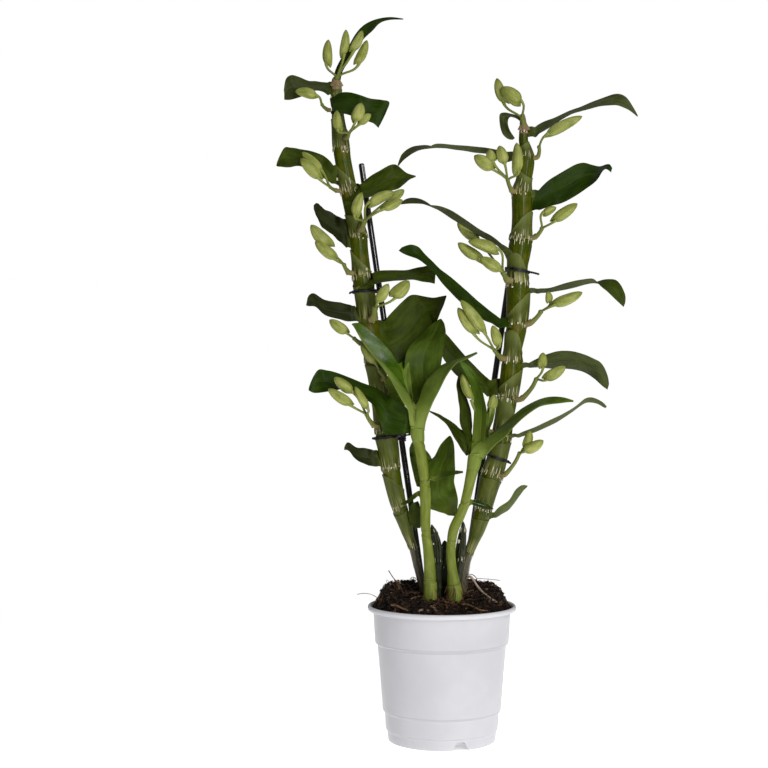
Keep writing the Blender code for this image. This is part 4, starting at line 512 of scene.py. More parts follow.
class Paint:
    """A small writer of shader nodes round one Principled BSDF."""

    def __init__(self, name, roughness=0.5, level=0.5, coat=0.0, subsurface=0.0):
        self.mat = bpy.data.materials.new(name)
        self.mat.use_nodes = True
        self.tree = self.mat.node_tree
        self.bsdf = self.tree.nodes["Principled BSDF"]
        self.set("Roughness", roughness)
        self.bsdf.inputs["Specular IOR Level"].default_value = level
        self.bsdf.inputs["Coat Weight"].default_value = coat
        self.bsdf.inputs["Coat Roughness"].default_value = 0.25
        if subsurface:
            self.bsdf.inputs["Subsurface Weight"].default_value = subsurface
            self.bsdf.inputs["Subsurface Radius"].default_value = (1.0, 1.0, 0.35)
            self.bsdf.inputs["Subsurface Scale"].default_value = 0.002

    def node(self, kind, **values):
        node = self.tree.nodes.new(kind)
        for key, value in values.items():
            setattr(node, key, value)
        return node

    def plug(self, socket, value):
        if isinstance(value, bpy.types.NodeSocket):
            self.tree.links.new(value, socket)
        elif isinstance(value, (tuple, list)):
            if socket.type == 'RGBA' and len(value) == 3:
                value = (*value, 1.0)
            socket.default_value = value
        else:
            socket.default_value = value

    def set(self, name, value):
        self.plug(self.bsdf.inputs[name], value)

    def attr(self, name):
        return self.node('ShaderNodeAttribute', attribute_name=name).outputs["Vector"]

    def split(self, vector):
        node = self.node('ShaderNodeSeparateXYZ')
        self.plug(node.inputs[0], vector)
        return node.outputs

    def join(self, x, y, z):
        node = self.node('ShaderNodeCombineXYZ')
        for slot, value in zip(node.inputs, (x, y, z)):
            self.plug(slot, value)
        return node.outputs[0]

    def scaled(self, vector, scale):
        node = self.node('ShaderNodeMapping')
        self.plug(node.inputs["Vector"], vector)
        node.inputs["Scale"].default_value = scale
        return node.outputs[0]

    def noise(self, vector, scale=1.0, detail=3.0, rough=0.55, distort=0.0):
        node = self.node('ShaderNodeTexNoise')
        self.plug(node.inputs["Vector"], vector)
        node.inputs["Scale"].default_value = scale
        node.inputs["Detail"].default_value = detail
        node.inputs["Roughness"].default_value = rough
        node.inputs["Distortion"].default_value = distort
        return node.outputs["Fac"]

    def cells(self, vector, scale=1.0, feature='F1'):
        node = self.node('ShaderNodeTexVoronoi', feature=feature)
        self.plug(node.inputs["Vector"], vector)
        node.inputs["Scale"].default_value = scale
        return node.outputs["Distance"]

    def math(self, op, a, b=0.5, c=None, clamp=False):
        node = self.node('ShaderNodeMath', operation=op, use_clamp=clamp)
        self.plug(node.inputs[0], a)
        self.plug(node.inputs[1], b)
        if c is not None:
            self.plug(node.inputs[2], c)
        return node.outputs[0]

    def band(self, value, low, high, to_low=0.0, to_high=1.0):
        node = self.node('ShaderNodeMapRange', interpolation_type='SMOOTHSTEP')
        self.plug(node.inputs["Value"], value)
        self.plug(node.inputs["From Min"], low)
        self.plug(node.inputs["From Max"], high)
        self.plug(node.inputs["To Min"], to_low)
        self.plug(node.inputs["To Max"], to_high)
        return node.outputs["Result"]

    def ramp(self, value, stops, smooth=False):
        node = self.node('ShaderNodeValToRGB')
        self.plug(node.inputs[0], value)
        ramp = node.color_ramp
        if smooth:
            ramp.interpolation = 'EASE'
        while len(ramp.elements) > 1:
            ramp.elements.remove(ramp.elements[-1])
        ramp.elements[0].position = stops[0][0]
        ramp.elements[0].color = (*stops[0][1], 1.0)
        for place, colour in stops[1:]:
            element = ramp.elements.new(place)
            element.color = (*colour, 1.0)
        return node.outputs[0]

    def mix(self, fac, a, b, how='MIX'):
        node = self.node('ShaderNodeMix', data_type='RGBA', blend_type=how, clamp_factor=True)
        self.plug(node.inputs[0], fac)
        self.plug(node.inputs[6], a)
        self.plug(node.inputs[7], b)
        return node.outputs[2]

    def bump(self, height, distance, strength=1.0, normal=None):
        node = self.node('ShaderNodeBump')
        self.plug(node.inputs["Height"], height)
        node.inputs["Distance"].default_value = distance
        node.inputs["Strength"].default_value = strength
        if normal is not None:
            self.plug(node.inputs["Normal"], normal)
        self.tree.links.new(node.outputs[0], self.bsdf.inputs["Normal"])
        return node.outputs[0]


def leaf_paint(name, dark, light, vein, base, rough, level, coat=0.0, streak=0.30, base_to=0.03):
    """Blade surface. grow = (across cm, along cm, place across -1 to 1),
    tone = (the leaf's own number, place along 0 to 1)."""
    p = Paint(name, rough, level, coat)
    grow, tone = p.attr("grow"), p.attr("tone")
    across, along, s = p.split(grow)
    own, t, _ = p.split(tone)
    seed = p.math('MULTIPLY', own, 37.0)
    fine = p.noise(p.join(p.math('MULTIPLY', across, 15.0), p.math('MULTIPLY', along, 0.55), seed), 1.0, 2.0, 0.6)
    broad = p.noise(p.join(p.math('MULTIPLY', across, 1.6), p.math('MULTIPLY', along, 0.7), seed), 1.0, 3.0, 0.6)
    colour = p.mix(p.band(broad, 0.30, 0.72), dark, light)
    colour = p.mix(p.math('MULTIPLY', p.band(fine, 0.45, 0.75), streak), colour, vein)
    rib = p.band(p.math('ABSOLUTE', s), 0.0, 0.075, 1.0, 0.0)
    colour = p.mix(p.math('MULTIPLY', rib, 0.22), colour, vein)
    # painted light and shade: each leaf's own number scales its brightness, partly its own tone and partly light and
    # shade painted on it
    shade = p.math('MULTIPLY_ADD', own, 1.2, 0.4)
    lit = p.node('ShaderNodeHueSaturation')
    p.plug(lit.inputs["Color"], colour)
    p.plug(lit.inputs["Value"], shade)
    foot = p.mix(p.band(fine, 0.40, 0.75, 0.0, 0.5), base, light)
    p.set("Base Color", p.mix(p.band(t, 0.0, base_to, 1.0, 0.0), lit.outputs[0], foot))
    p.set("Roughness", p.band(broad, 0.25, 0.8, rough - 0.06, rough + 0.12))
    height = p.math('MULTIPLY_ADD', fine, 0.6, p.math('MULTIPLY', broad, 0.8))
    p.bump(height, 0.00022, 0.6)
    return p.mat


LEAF_UP = leaf_paint("leaf_upper", lin(42, 54, 8), lin(62, 75, 14), lin(78, 90, 28), lin(66, 78, 18), 0.48, 0.07)
LEAF_DEEP = leaf_paint("leaf_upper_deep", lin(34, 54, 4), lin(50, 74, 8), lin(68, 90, 22), lin(40, 62, 8), 0.46, 0.09, base_to=0.02)
LEAF_GREY = leaf_paint("leaf_upper_grey", lin(42, 49, 20), lin(60, 68, 32), lin(80, 87, 50), lin(64, 74, 24), 0.46, 0.12)
LEAF_UNDER = leaf_paint("leaf_under", lin(56, 64, 30), lin(72, 81, 42), lin(88, 96, 56), lin(78, 88, 34), 0.56, 0.08)
YOUNG_UP = leaf_paint("young_leaf_upper", lin(36, 60, 1), lin(58, 84, 6), lin(80, 104, 24), lin(92, 108, 36), 0.24, 0.50, streak=0.28, base_to=0.12)
YOUNG_DULL = leaf_paint("young_leaf_dull", lin(52, 70, 12), lin(74, 93, 24), lin(90, 108, 36), lin(108, 122, 44), 0.48, 0.10, streak=0.25, base_to=0.34)
YOUNG_UNDER = leaf_paint("young_leaf_under", lin(56, 70, 18), lin(74, 90, 30), lin(92, 107, 44), lin(118, 134, 55), 0.50, 0.18, base_to=0.45)
# painted light: a lighter copy of the young underside, partly the real paler underside and partly light painted on
# faces that lie in shade
YOUNG_UNDER_LIT = leaf_paint("young_leaf_under_painted_light", lin(70, 86, 26), lin(92, 108, 42), lin(110, 124, 58), lin(126, 140, 64), 0.50, 0.18, base_to=0.45)
YOUNG_FOOT = leaf_paint("young_leaf_pale_foot", lin(46, 68, 4), lin(68, 92, 12), lin(90, 112, 30), lin(124, 139, 56), 0.40, 0.22, streak=0.28, base_to=0.70)


def cane_paint():
    """The green cane itself: glossy, dark olive, with long faint lines.
    grow = (cos, sin, along cm), tone = (own number, rise above the node)."""
    p = Paint("cane_skin", 0.26, 0.24, 0.0)
    grow, tone = p.attr("grow"), p.attr("tone")
    x, y, z = p.split(grow)
    own, rise, _ = p.split(tone)
    lines = p.noise(p.join(p.math('MULTIPLY', x, 9.0), p.math('MULTIPLY', y, 9.0), p.math('MULTIPLY', z, 0.35)), 1.0, 3.0, 0.6)
    patch = p.noise(p.join(p.math('MULTIPLY', x, 1.3), p.math('MULTIPLY', y, 1.3), p.math('MULTIPLY', z, 0.8)), 1.0, 3.0, 0.55)
    colour = p.ramp(patch, [(0.28, lin(49, 63, 1)), (0.48, lin(66, 77, 2)), (0.60, lin(84, 85, 4)), (0.74, lin(106, 87, 4))])
    colour = p.mix(p.band(lines, 0.50, 0.74, 0.0, 0.40), colour, lin(92, 101, 16))
    colour = p.mix(p.band(lines, 0.50, 0.30, 0.0, 0.5), colour, lin(32, 40, 1))
    foot = p.ramp(lines, [(0.32, lin(44, 42, 32)), (0.48, lin(84, 80, 62)), (0.62, lin(122, 116, 96)), (0.75, lin(150, 146, 128))])
    colour = p.mix(p.band(own, 0.4, 0.6), colour, foot)       # the dry striped foot of the cane
    p.set("Base Color", colour)
    p.set("Roughness", p.band(patch, 0.3, 0.8, 0.24, 0.42))
    p.bump(lines, 0.00025, 0.7)
    return p.mat


def sheath_paint():
    """Dry papery sheath: olive above, pleated into pale and dark strands
    towards its foot. tone = (own number, rise 0 at its foot to 1)."""
    p = Paint("sheath_paper", 0.48, 0.20)
    grow, tone = p.attr("grow"), p.attr("tone")
    x, y, z = p.split(grow)
    own, rise, _ = p.split(tone)
    seed = p.math('MULTIPLY', own, 23.0)
    strands = p.noise(p.join(p.math('MULTIPLY_ADD', x, 6.5, seed), p.math('MULTIPLY', y, 6.5), p.math('MULTIPLY', z, 0.25)), 1.0, 2.0, 0.5)
    lines = p.noise(p.join(p.math('MULTIPLY_ADD', x, 13.0, seed), p.math('MULTIPLY', y, 13.0), p.math('MULTIPLY', z, 0.4)), 1.0, 2.0, 0.6)
    patch = p.noise(p.join(p.math('MULTIPLY_ADD', x, 1.2, seed), p.math('MULTIPLY', y, 1.2), p.math('MULTIPLY', z, 0.9)), 1.0, 3.0, 0.55)
    colour = p.ramp(patch, [(0.30, lin(64, 73, 18)), (0.50, lin(78, 86, 27)), (0.70, lin(93, 98, 37))])
    colour = p.mix(p.band(lines, 0.48, 0.74, 0.0, 0.40), colour, lin(110, 112, 57))
    colour = p.mix(p.band(lines, 0.50, 0.28, 0.0, 0.45), colour, lin(52, 59, 11))
    mouth = p.math('MULTIPLY', p.band(rise, 0.50, 0.95, 0.0, 0.55), p.band(z, 11.0, 17.0))
    colour = p.mix(mouth, colour, lin(112, 122, 62))
    foot = p.band(rise, 0.10, 0.52, 1.0, 0.0)
    colour = p.mix(p.math('MULTIPLY', p.band(strands, 0.50, 0.66), foot), colour, lin(157, 155, 102))
    colour = p.mix(p.math('MULTIPLY', p.band(strands, 0.48, 0.34), p.math('MULTIPLY', foot, 0.85)), colour, lin(40, 42, 5))
    colour = p.mix(p.band(rise, 0.95, 1.0, 0.0, 0.35), colour, lin(120, 120, 70))
    colour = p.mix(p.math('MULTIPLY', p.band(rise, 0.06, 0.0), p.band(strands, 0.40, 0.52)), colour, lin(185, 179, 137))
    p.set("Base Color", colour)
    p.set("Roughness", p.band(strands, 0.3, 0.7, 0.58, 0.38))
    height = p.math('ADD', p.math('MULTIPLY', lines, 0.5), p.math('MULTIPLY', strands, foot))
    p.bump(height, 0.0004, 0.8)
    return p.mat


def fringe_and_highlight_paint():
    # whitish strands: real torn sheath fringes, and also painted highlights where flecks sit at the cane joints
    p = Paint("sheath_fringe_and_highlights", 0.42, 0.45)
    own, rise, _ = p.split(p.attr("tone"))
    colour = p.ramp(own, [(0.0, lin(150, 146, 96)), (0.45, lin(196, 192, 150)), (0.8, lin(232, 228, 204)), (1.0, lin(250, 248, 236))])
    p.set("Base Color", p.mix(p.noise(p.attr("grow"), 2.0, 2.0), colour, lin(170, 160, 112)))
    p.bump(p.noise(p.attr("grow"), 6.0, 2.0), 0.0002, 0.5)
    return p.mat


def bud_paint():
    """Closed bud. grow = (cos, sin, along cm), tone = (own, place 0 to 1)."""
    p = Paint("bud_skin", 0.42, 0.22, subsurface=0.12)
    grow, tone = p.attr("grow"), p.attr("tone")
    x, y, z = p.split(grow)
    own, t, _ = p.split(tone)
    seed = p.math('MULTIPLY', own, 19.0)
    lines = p.noise(p.join(p.math('MULTIPLY_ADD', x, 3.2, seed), p.math('MULTIPLY', y, 3.2), p.math('MULTIPLY', z, 0.5)), 1.0, 3.0, 0.6)
    broad = p.noise(p.join(p.math('MULTIPLY_ADD', x, 0.9, seed), p.math('MULTIPLY', y, 0.9), p.math('MULTIPLY', z, 1.1)), 1.0, 2.0, 0.5)
    colour = p.ramp(broad, [(0.30, lin(123, 132, 55)), (0.50, lin(147, 154, 74)), (0.70, lin(167, 170, 96))])
    colour = p.mix(p.band(lines, 0.50, 0.75, 0.0, 0.45), colour, lin(179, 180, 116))
    colour = p.mix(p.band(lines, 0.48, 0.28, 0.0, 0.55), colour, lin(104, 117, 41))
    # painted shade: the bud is painted darker at its chin by the stalk; it is also darker towards its point
    colour = p.mix(p.band(t, 0.0, 0.20, 0.55, 0.0), colour, lin(115, 124, 52))
    colour = p.mix(p.band(t, 0.80, 1.0, 0.0, 0.6), colour, lin(111, 120, 49))
    p.set("Base Color", colour)
    p.set("Roughness", p.band(lines, 0.3, 0.7, 0.36, 0.50))
    p.bump(lines, 0.00018, 0.6)
    return p.mat


def stalk_paint():
    """Bud stalks and their short joints; tone.y is 0 at the cane."""
    p = Paint("bud_stalk", 0.46, 0.18, subsurface=0.06)
    grow, tone = p.attr("grow"), p.attr("tone")
    own, t, _ = p.split(tone)
    lines = p.noise(p.scaled(grow, (2.4, 2.4, 0.8)), 1.0, 3.0, 0.6)
    colour = p.ramp(t, [(0.0, lin(150, 122, 92)), (0.10, lin(132, 122, 74)), (0.22, lin(108, 114, 50)), (0.45, lin(104, 116, 46)), (0.8, lin(122, 130, 58)), (1.0, lin(140, 148, 70))])
    colour = p.mix(p.band(lines, 0.5, 0.8, 0.0, 0.5), colour, lin(152, 150, 98))
    colour = p.mix(p.band(lines, 0.45, 0.25, 0.0, 0.5), colour, lin(84, 92, 34))
    p.set("Base Color", colour)
    p.bump(lines, 0.0002, 0.6)
    return p.mat


def bract_paint():
    p = Paint("bract_paper", 0.60, 0.25)
    grow, tone = p.attr("grow"), p.attr("tone")
    own, t, _ = p.split(tone)
    lines = p.noise(p.scaled(grow, (5.0, 5.0, 0.7)), 1.0, 3.0, 0.6)
    colour = p.ramp(lines, [(0.3, lin(104, 90, 56)), (0.5, lin(138, 124, 84)), (0.7, lin(168, 152, 112))])
    p.set("Base Color", p.mix(p.band(own, 0.4, 1.0), colour, lin(136, 106, 84)))
    p.bump(lines, 0.0002, 0.8)
    return p.mat


def shoot_paint():
    """Young stems and their green sheaths; tone.y is the rise in a sheath."""
    p = Paint("shoot_skin", 0.42, 0.20, subsurface=0.08)
    grow, tone = p.attr("grow"), p.attr("tone")
    x, y, z = p.split(grow)
    own, rise, _ = p.split(tone)
    lines = p.noise(p.join(p.math('MULTIPLY', x, 7.0), p.math('MULTIPLY', y, 7.0), p.math('MULTIPLY', z, 0.22)), 1.0, 3.0, 0.6)
    patch = p.noise(p.join(p.math('MULTIPLY', x, 1.1), p.math('MULTIPLY', y, 1.1), p.math('MULTIPLY', z, 0.7)), 1.0, 2.0, 0.5)
    colour = p.ramp(patch, [(0.3, lin(101, 114, 35)), (0.52, lin(116, 128, 46)), (0.72, lin(133, 143, 63))])
    colour = p.mix(p.band(lines, 0.5, 0.75, 0.0, 0.35), colour, lin(146, 154, 75))
    colour = p.mix(p.band(lines, 0.48, 0.28, 0.0, 0.35), colour, lin(86, 101, 25))
    colour = p.mix(p.band(own, 0.2, 1.0, 0.0, 0.8), colour, lin(105, 95, 40))
    colour = p.mix(p.band(rise, 0.95, 1.0, 0.0, 0.25), colour, lin(141, 149, 73))
    p.set("Base Color", colour)
    p.set("Roughness", p.band(patch, 0.3, 0.8, 0.34, 0.48))
    p.bump(lines, 0.0002, 0.6)
    return p.mat


def old_paint():
    p = Paint("old_cane_skin", 0.40, 0.35)
    grow, tone = p.attr("grow"), p.attr("tone")
    x, y, z = p.split(grow)
    lines = p.noise(p.join(p.math('MULTIPLY', x, 5.0), p.math('MULTIPLY', y, 5.0), p.math('MULTIPLY', z, 0.5)), 1.0, 4.0, 0.65)
    patch = p.noise(p.scaled(grow, (1.5, 1.5, 1.2)), 1.0, 4.0, 0.6)
    colour = p.ramp(patch, [(0.3, lin(14, 18, 4)), (0.5, lin(27, 35, 8)), (0.62, lin(42, 48, 14)), (0.80, lin(74, 70, 40))])
    colour = p.mix(p.band(lines, 0.56, 0.80, 0.0, 0.5), colour, lin(84, 80, 52))
    p.set("Base Color", colour)
    p.set("Roughness", p.band(lines, 0.3, 0.7, 0.26, 0.5))
    p.bump(lines, 0.0005, 0.9)
    return p.mat


def stake_paint():
    p = Paint("stake_gloss", 0.14, 0.9, coat=1.0)
    p.bsdf.inputs["Coat Roughness"].default_value = 0.06
    grow = p.attr("grow")
    scuff = p.noise(p.scaled(grow, (1.2, 1.2, 0.5)), 1.0, 4.0, 0.65)
    p.set("Base Color", p.ramp(scuff, [(0.35, lin(9, 8, 14)), (0.62, lin(17, 16, 25)), (0.8, lin(38, 35, 42))]))
    p.set("Roughness", p.band(scuff, 0.4, 0.8, 0.16, 0.26))
    p.bump(p.noise(p.scaled(grow, (1.0, 1.0, 0.3)), 1.0, 2.0), 0.00010, 0.25)
    return p.mat


def tie_paint():
    p = Paint("tie_coating", 0.38, 0.4)
    grow = p.attr("grow")
    grain = p.noise(p.scaled(grow, (2.0, 2.0, 3.0)), 1.0, 3.0)
    p.set("Base Color", p.ramp(grain, [(0.3, lin(6, 7, 8)), (0.7, lin(24, 26, 30))]))
    p.bump(grain, 0.0002, 0.6)
    return p.mat


def medium_paint(name, stops, rough=0.9, scale=9.0, level=0.12):
    p = Paint(name, rough, level)
    own, t, _ = p.split(p.attr("tone"))
    where = p.node('ShaderNodeTexCoord').outputs["Object"]
    grain = p.noise(where, scale * 100.0, 4.0, 0.7)
    colour = p.ramp(own, stops)
    colour = p.mix(p.band(grain, 0.35, 0.75, 0.55, 0.0), colour, (0.0035, 0.0022, 0.0016))
    p.set("Base Color", colour)
    p.bump(grain, 0.0008, 0.9)
    return p.mat


def root_paint():
    p = Paint("root_skin", 0.6, 0.3)
    grow, tone = p.attr("grow"), p.attr("tone")
    own, t, _ = p.split(tone)
    grain = p.noise(p.scaled(grow, (2.2, 2.2, 2.0)), 1.0, 3.0, 0.6)
    colour = p.ramp(own, [(0.0, lin(72, 44, 26)), (0.3, lin(116, 84, 54)), (0.55, lin(168, 132, 96)), (0.8, lin(206, 182, 156)), (1.0, lin(232, 216, 200))])
    p.set("Base Color", p.mix(p.band(grain, 0.4, 0.75, 0.6, 0.0), colour, lin(92, 62, 42)))
    p.bump(grain, 0.0003, 0.8)
    return p.mat


def pot_paint():
    p = Paint("pot_gloss", 0.34, 0.30)
    where = p.node('ShaderNodeTexCoord').outputs["Object"]
    x, y, z = p.split(where)
    peel = p.noise(where, 900.0, 2.0, 0.5)
    cloud = p.noise(where, 22.0, 4.0, 0.55)
    specks = p.cells(where, 260.0)
    colour = p.mix(p.band(cloud, 0.35, 0.75), lin(194, 193, 198), lin(202, 201, 205))
    foot = p.band(z, 0.0, 0.014, 0.45, 0.0)
    colour = p.mix(p.math('MULTIPLY', p.band(p.noise(where, 140.0, 4.0, 0.7), 0.55, 0.75), foot), colour, lin(176, 170, 164))
    brim = p.band(z, 0.101, 0.1085, 0.0, 0.30)
    colour = p.mix(p.math('MULTIPLY', p.band(specks, 0.16, 0.05), brim), colour, lin(120, 96, 78))
    for low, high in ((0.0772, 0.0801), (0.0236, 0.0255), (0.0083, 0.0094)):     # painted shade in the creases of the steps
        crease = p.math('MULTIPLY', p.band(z, low - 0.0004, low), p.band(z, high, high + 0.0004, 1.0, 0.0))
        colour = p.mix(p.math('MULTIPLY', crease, 0.42), colour, lin(160, 159, 164))
    # painted highlight: the top of the rolled rim is painted lighter
    colour = p.mix(p.band(z, 0.1046, 0.1062), colour, lin(210, 210, 214))
    p.set("Base Color", colour)
    p.set("Roughness", p.band(cloud, 0.3, 0.8, 0.28, 0.42))
    p.bump(p.math('MULTIPLY_ADD', cloud, 0.7, p.math('MULTIPLY', peel, 0.16)), 0.00035, 0.5)
    return p.mat


def floor_paint():
    p = Paint("studio_floor", 0.9, 0.05)
    where = p.node('ShaderNodeTexCoord').outputs["Object"]
    p.set("Base Color", p.ramp(p.noise(where, 3.0, 2.0), [(0.0, (0.88, 0.88, 0.88)), (1.0, (0.91, 0.91, 0.91))]))
    p.bsdf.inputs["Emission Color"].default_value = (1, 1, 1, 1)
    x, y, z = p.split(where)
    away = p.math('SQRT', p.math('ADD', p.math('MULTIPLY', x, x), p.math('MULTIPLY', y, y)))
    # painted shadow: the floor glows less under the pot's foot, a painted contact shadow
    p.set("Emission Strength", p.band(away, 0.036, 0.0450, 0.30, 0.88))
    return p.mat


CANE_SKIN = cane_paint()
SHEATH = sheath_paint()
FRINGE_AND_HIGHLIGHTS = fringe_and_highlight_paint()
BUD_SKIN = bud_paint()
STALK = stalk_paint()
BRACT = bract_paint()
SHOOT_SKIN = shoot_paint()
OLD_SKIN = old_paint()
STAKE_GLOSS = stake_paint()
TIE_COAT = tie_paint()
SOIL = medium_paint("coir_bed", [(0.0, lin(13, 8, 7)), (0.5, lin(22, 16, 11)), (1.0, lin(42, 27, 18))])
CHIPS = medium_paint("bark_chips", [(0.0, lin(17, 12, 9)), (0.38, lin(34, 24, 17)), (0.66, lin(67, 48, 32)), (0.90, lin(131, 96, 64)), (1.0, lin(197, 159, 120))], 0.7, 5.0, 0.25)
FIBRES = medium_paint("coir_fibres", [(0.0, lin(27, 18, 14)), (0.55, lin(52, 33, 23)), (0.85, lin(102, 66, 42)), (1.0, lin(180, 133, 93))], 0.7, 12.0, 0.25)
ROOT_SKIN = root_paint()
POT_GLOSS = pot_paint()
FLOOR = floor_paint()

# ---------------------------------------------------------------------------
# stems
# ---------------------------------------------------------------------------
LEFT, RIGHT = Stem(CANE_LEFT), Stem(CANE_RIGHT)
S_LEFT, S_RIGHT = Stem(SHOOT_LEFT), Stem(SHOOT_RIGHT)


# ---------------------------------------------------------------------------
# leaves
# ---------------------------------------------------------------------------
ACROSS = np.array([-1.0, -0.975, -0.90, -0.79, -0.66, -0.52, -0.38, -0.25, -0.14, -0.07, -0.03, 0.0,
                   0.03, 0.07, 0.14, 0.25, 0.38, 0.52, 0.66, 0.79, 0.90, 0.975, 1.0])


def leaf_margins(spec, t):
    """Near and far margin of the blade at t, as world points."""
    rows = []
    for row in spec["rows"]:
        side = row[5] if len(row) > 5 else spec["side"]
        au, av, bu, bv, y = row[:5]
        if side > 0:                       # upper margin is the far one
            rows.append((bu, bv, au, av, y))
        else:
            rows.append((au, av, bu, bv, y))
    nu, nv, fu, fv, y = spline_read(rows, t)
    seen = math.hypot(nu - fu, nv - fv)
    full = spec["w"] * min(1.0, 0.50 + 2.2 * t) * min(1.0, 0.12 + 3.0 * (1.0 - t)) ** 0.8
    deep = 0.5 * math.sqrt(max(full * full - seen * seen, 0.0)) * 0.81
    deep *= min(1.0, 3.2 * (1.0 - t) + 0.05)
    near = np.array(at(nu, nv, y - deep))
    far = np.array(at(fu, fv, y + deep))
    if np.linalg.norm(near - far) < 0.0009:
        middle = (near + far) * 0.5
        across = unit(near - far) if np.linalg.norm(near - far) > 1e-7 else np.array([0.0, -1.0, 0.0])
        near, far = middle + across * 0.00045, middle - across * 0.00045
    return near, far


def leaf_rows(spec, host, count, clasp=1.0):
    """Cross lines of a blade from its clasping foot to its tip: middle-sheet
    points, the upper face's direction, along and across lengths."""
    ts = np.linspace(0.0, 1.0, count) ** 0.96
    near, far = map(np.array, zip(*[leaf_margins(spec, t) for t in ts]))
    mid = (near + far) * 0.5
    along = unit(np.gradient(mid, axis=0))
    face = unit(np.cross(along, far - near))
    for i in range(1, count):
        if face[i].dot(face[i - 1]) < 0:
            face[i] = -face[i]
    # the side of the blade that each row shows to the front tells its upper face
    rows = spec["rows"]
    sides = np.array([rows[int(round(t * (len(rows) - 1)))][5] if len(rows[int(round(t * (len(rows) - 1)))]) > 5 else spec["side"] for t in ts])
    to_eye = unit(np.array([CX, -D, CZ]) - mid)
    score = (sides * np.einsum('ij,ij->i', face, to_eye) * np.linalg.norm(far - near, axis=1)).sum()
    if score < 0:
        face = -face
    s = ACROSS
    half = 0.5 * np.linalg.norm(far - near, axis=1)
    lines = near[:, None, :] + (far - near)[:, None, :] * (0.5 * (s + 1.0))[None, :, None]
    gen = np.random.default_rng(spec["seed"])
    phase = gen.uniform(0, math.tau, 4)
    keel = spec.get("keel", 0.13) * (1.0 - 0.55 * ts) + spec.get("keel_foot", 0.0) * np.exp(-(ts / 0.16) ** 2)
    fold = (1.0 - np.abs(s) ** 1.35)
    lift = -face[:, None, :] * (keel * 2 * half)[:, None, None] * fold[None, :, None]
    # slow waves of the margins, each its own
    wave = np.sin(ts[:, None] * 17.0 + phase[0] + np.where(s > 0, phase[1], phase[2])[None, :]) * 0.6 \
        + np.sin(ts[:, None] * 31.0 + phase[3]) * 0.25
    wave = wave * (np.abs(s) ** 2.2)[None, :] * (half * 0.055)[:, None] * np.clip(ts * 6.0, 0, 1)[:, None]
    if "fold" in spec:
        # folded along the midrib: the near half stands up in front of the far one
        g = np.interp(ts, np.linspace(0, 1, len(spec["fold"])), spec["fold"])[:, None, None]
        edge = near[:, None, :] + (far - near)[:, None, :] * g + np.array([0, -1.0, 0]) * (half[:, None, None] * 0.55 * g + 0.0005)
        a = np.abs(s)[None, :, None]
        bulge = spec.get("bulge", 0.0) * np.exp(-(ts / 0.13) ** 2)[:, None, None] * np.sin(a * math.pi) + (half * 0.10)[:, None, None] * np.sin(a * math.pi)
        front = near[:, None, :] + (edge - near[:, None, :]) * a + np.array([0, -1.0, 0]) * bulge
        back = near[:, None, :] + (far - near)[:, None, :] * a
        lines = np.where((s < 0)[None, :, None], front, back)
        lift = lift * 0.0
    lines = lines + lift + face[:, None, :] * wave[..., None]
    faces = np.repeat(face[:, None, :], len(s), axis=1)
    # tilt the face direction across the fold so that the thickness stays even
    slope = np.gradient(lines, axis=1)
    tangent = np.gradient(lines, axis=0)
    cross = unit(np.cross(tangent, slope))
    sign = np.sign(np.einsum('ijk,ijk->ij', cross, faces))
    sign[sign == 0] = 1
    if "fold" in spec:
        far_side = np.einsum('ijk,ijk->ij', cross, faces)[:, s > 0.3].sum()
        faces = cross * (1.0 if far_side > 0 else -1.0)
    else:
        faces = unit(cross * sign[..., None] * 0.85 + faces * 0.15)
    t_rows = ts.copy()
    if host is not None and clasp > 0:
        lines, faces, t_rows, half = add_clasp(lines, faces, t_rows, half, host, clasp, spec)
    return lines, faces, t_rows, half


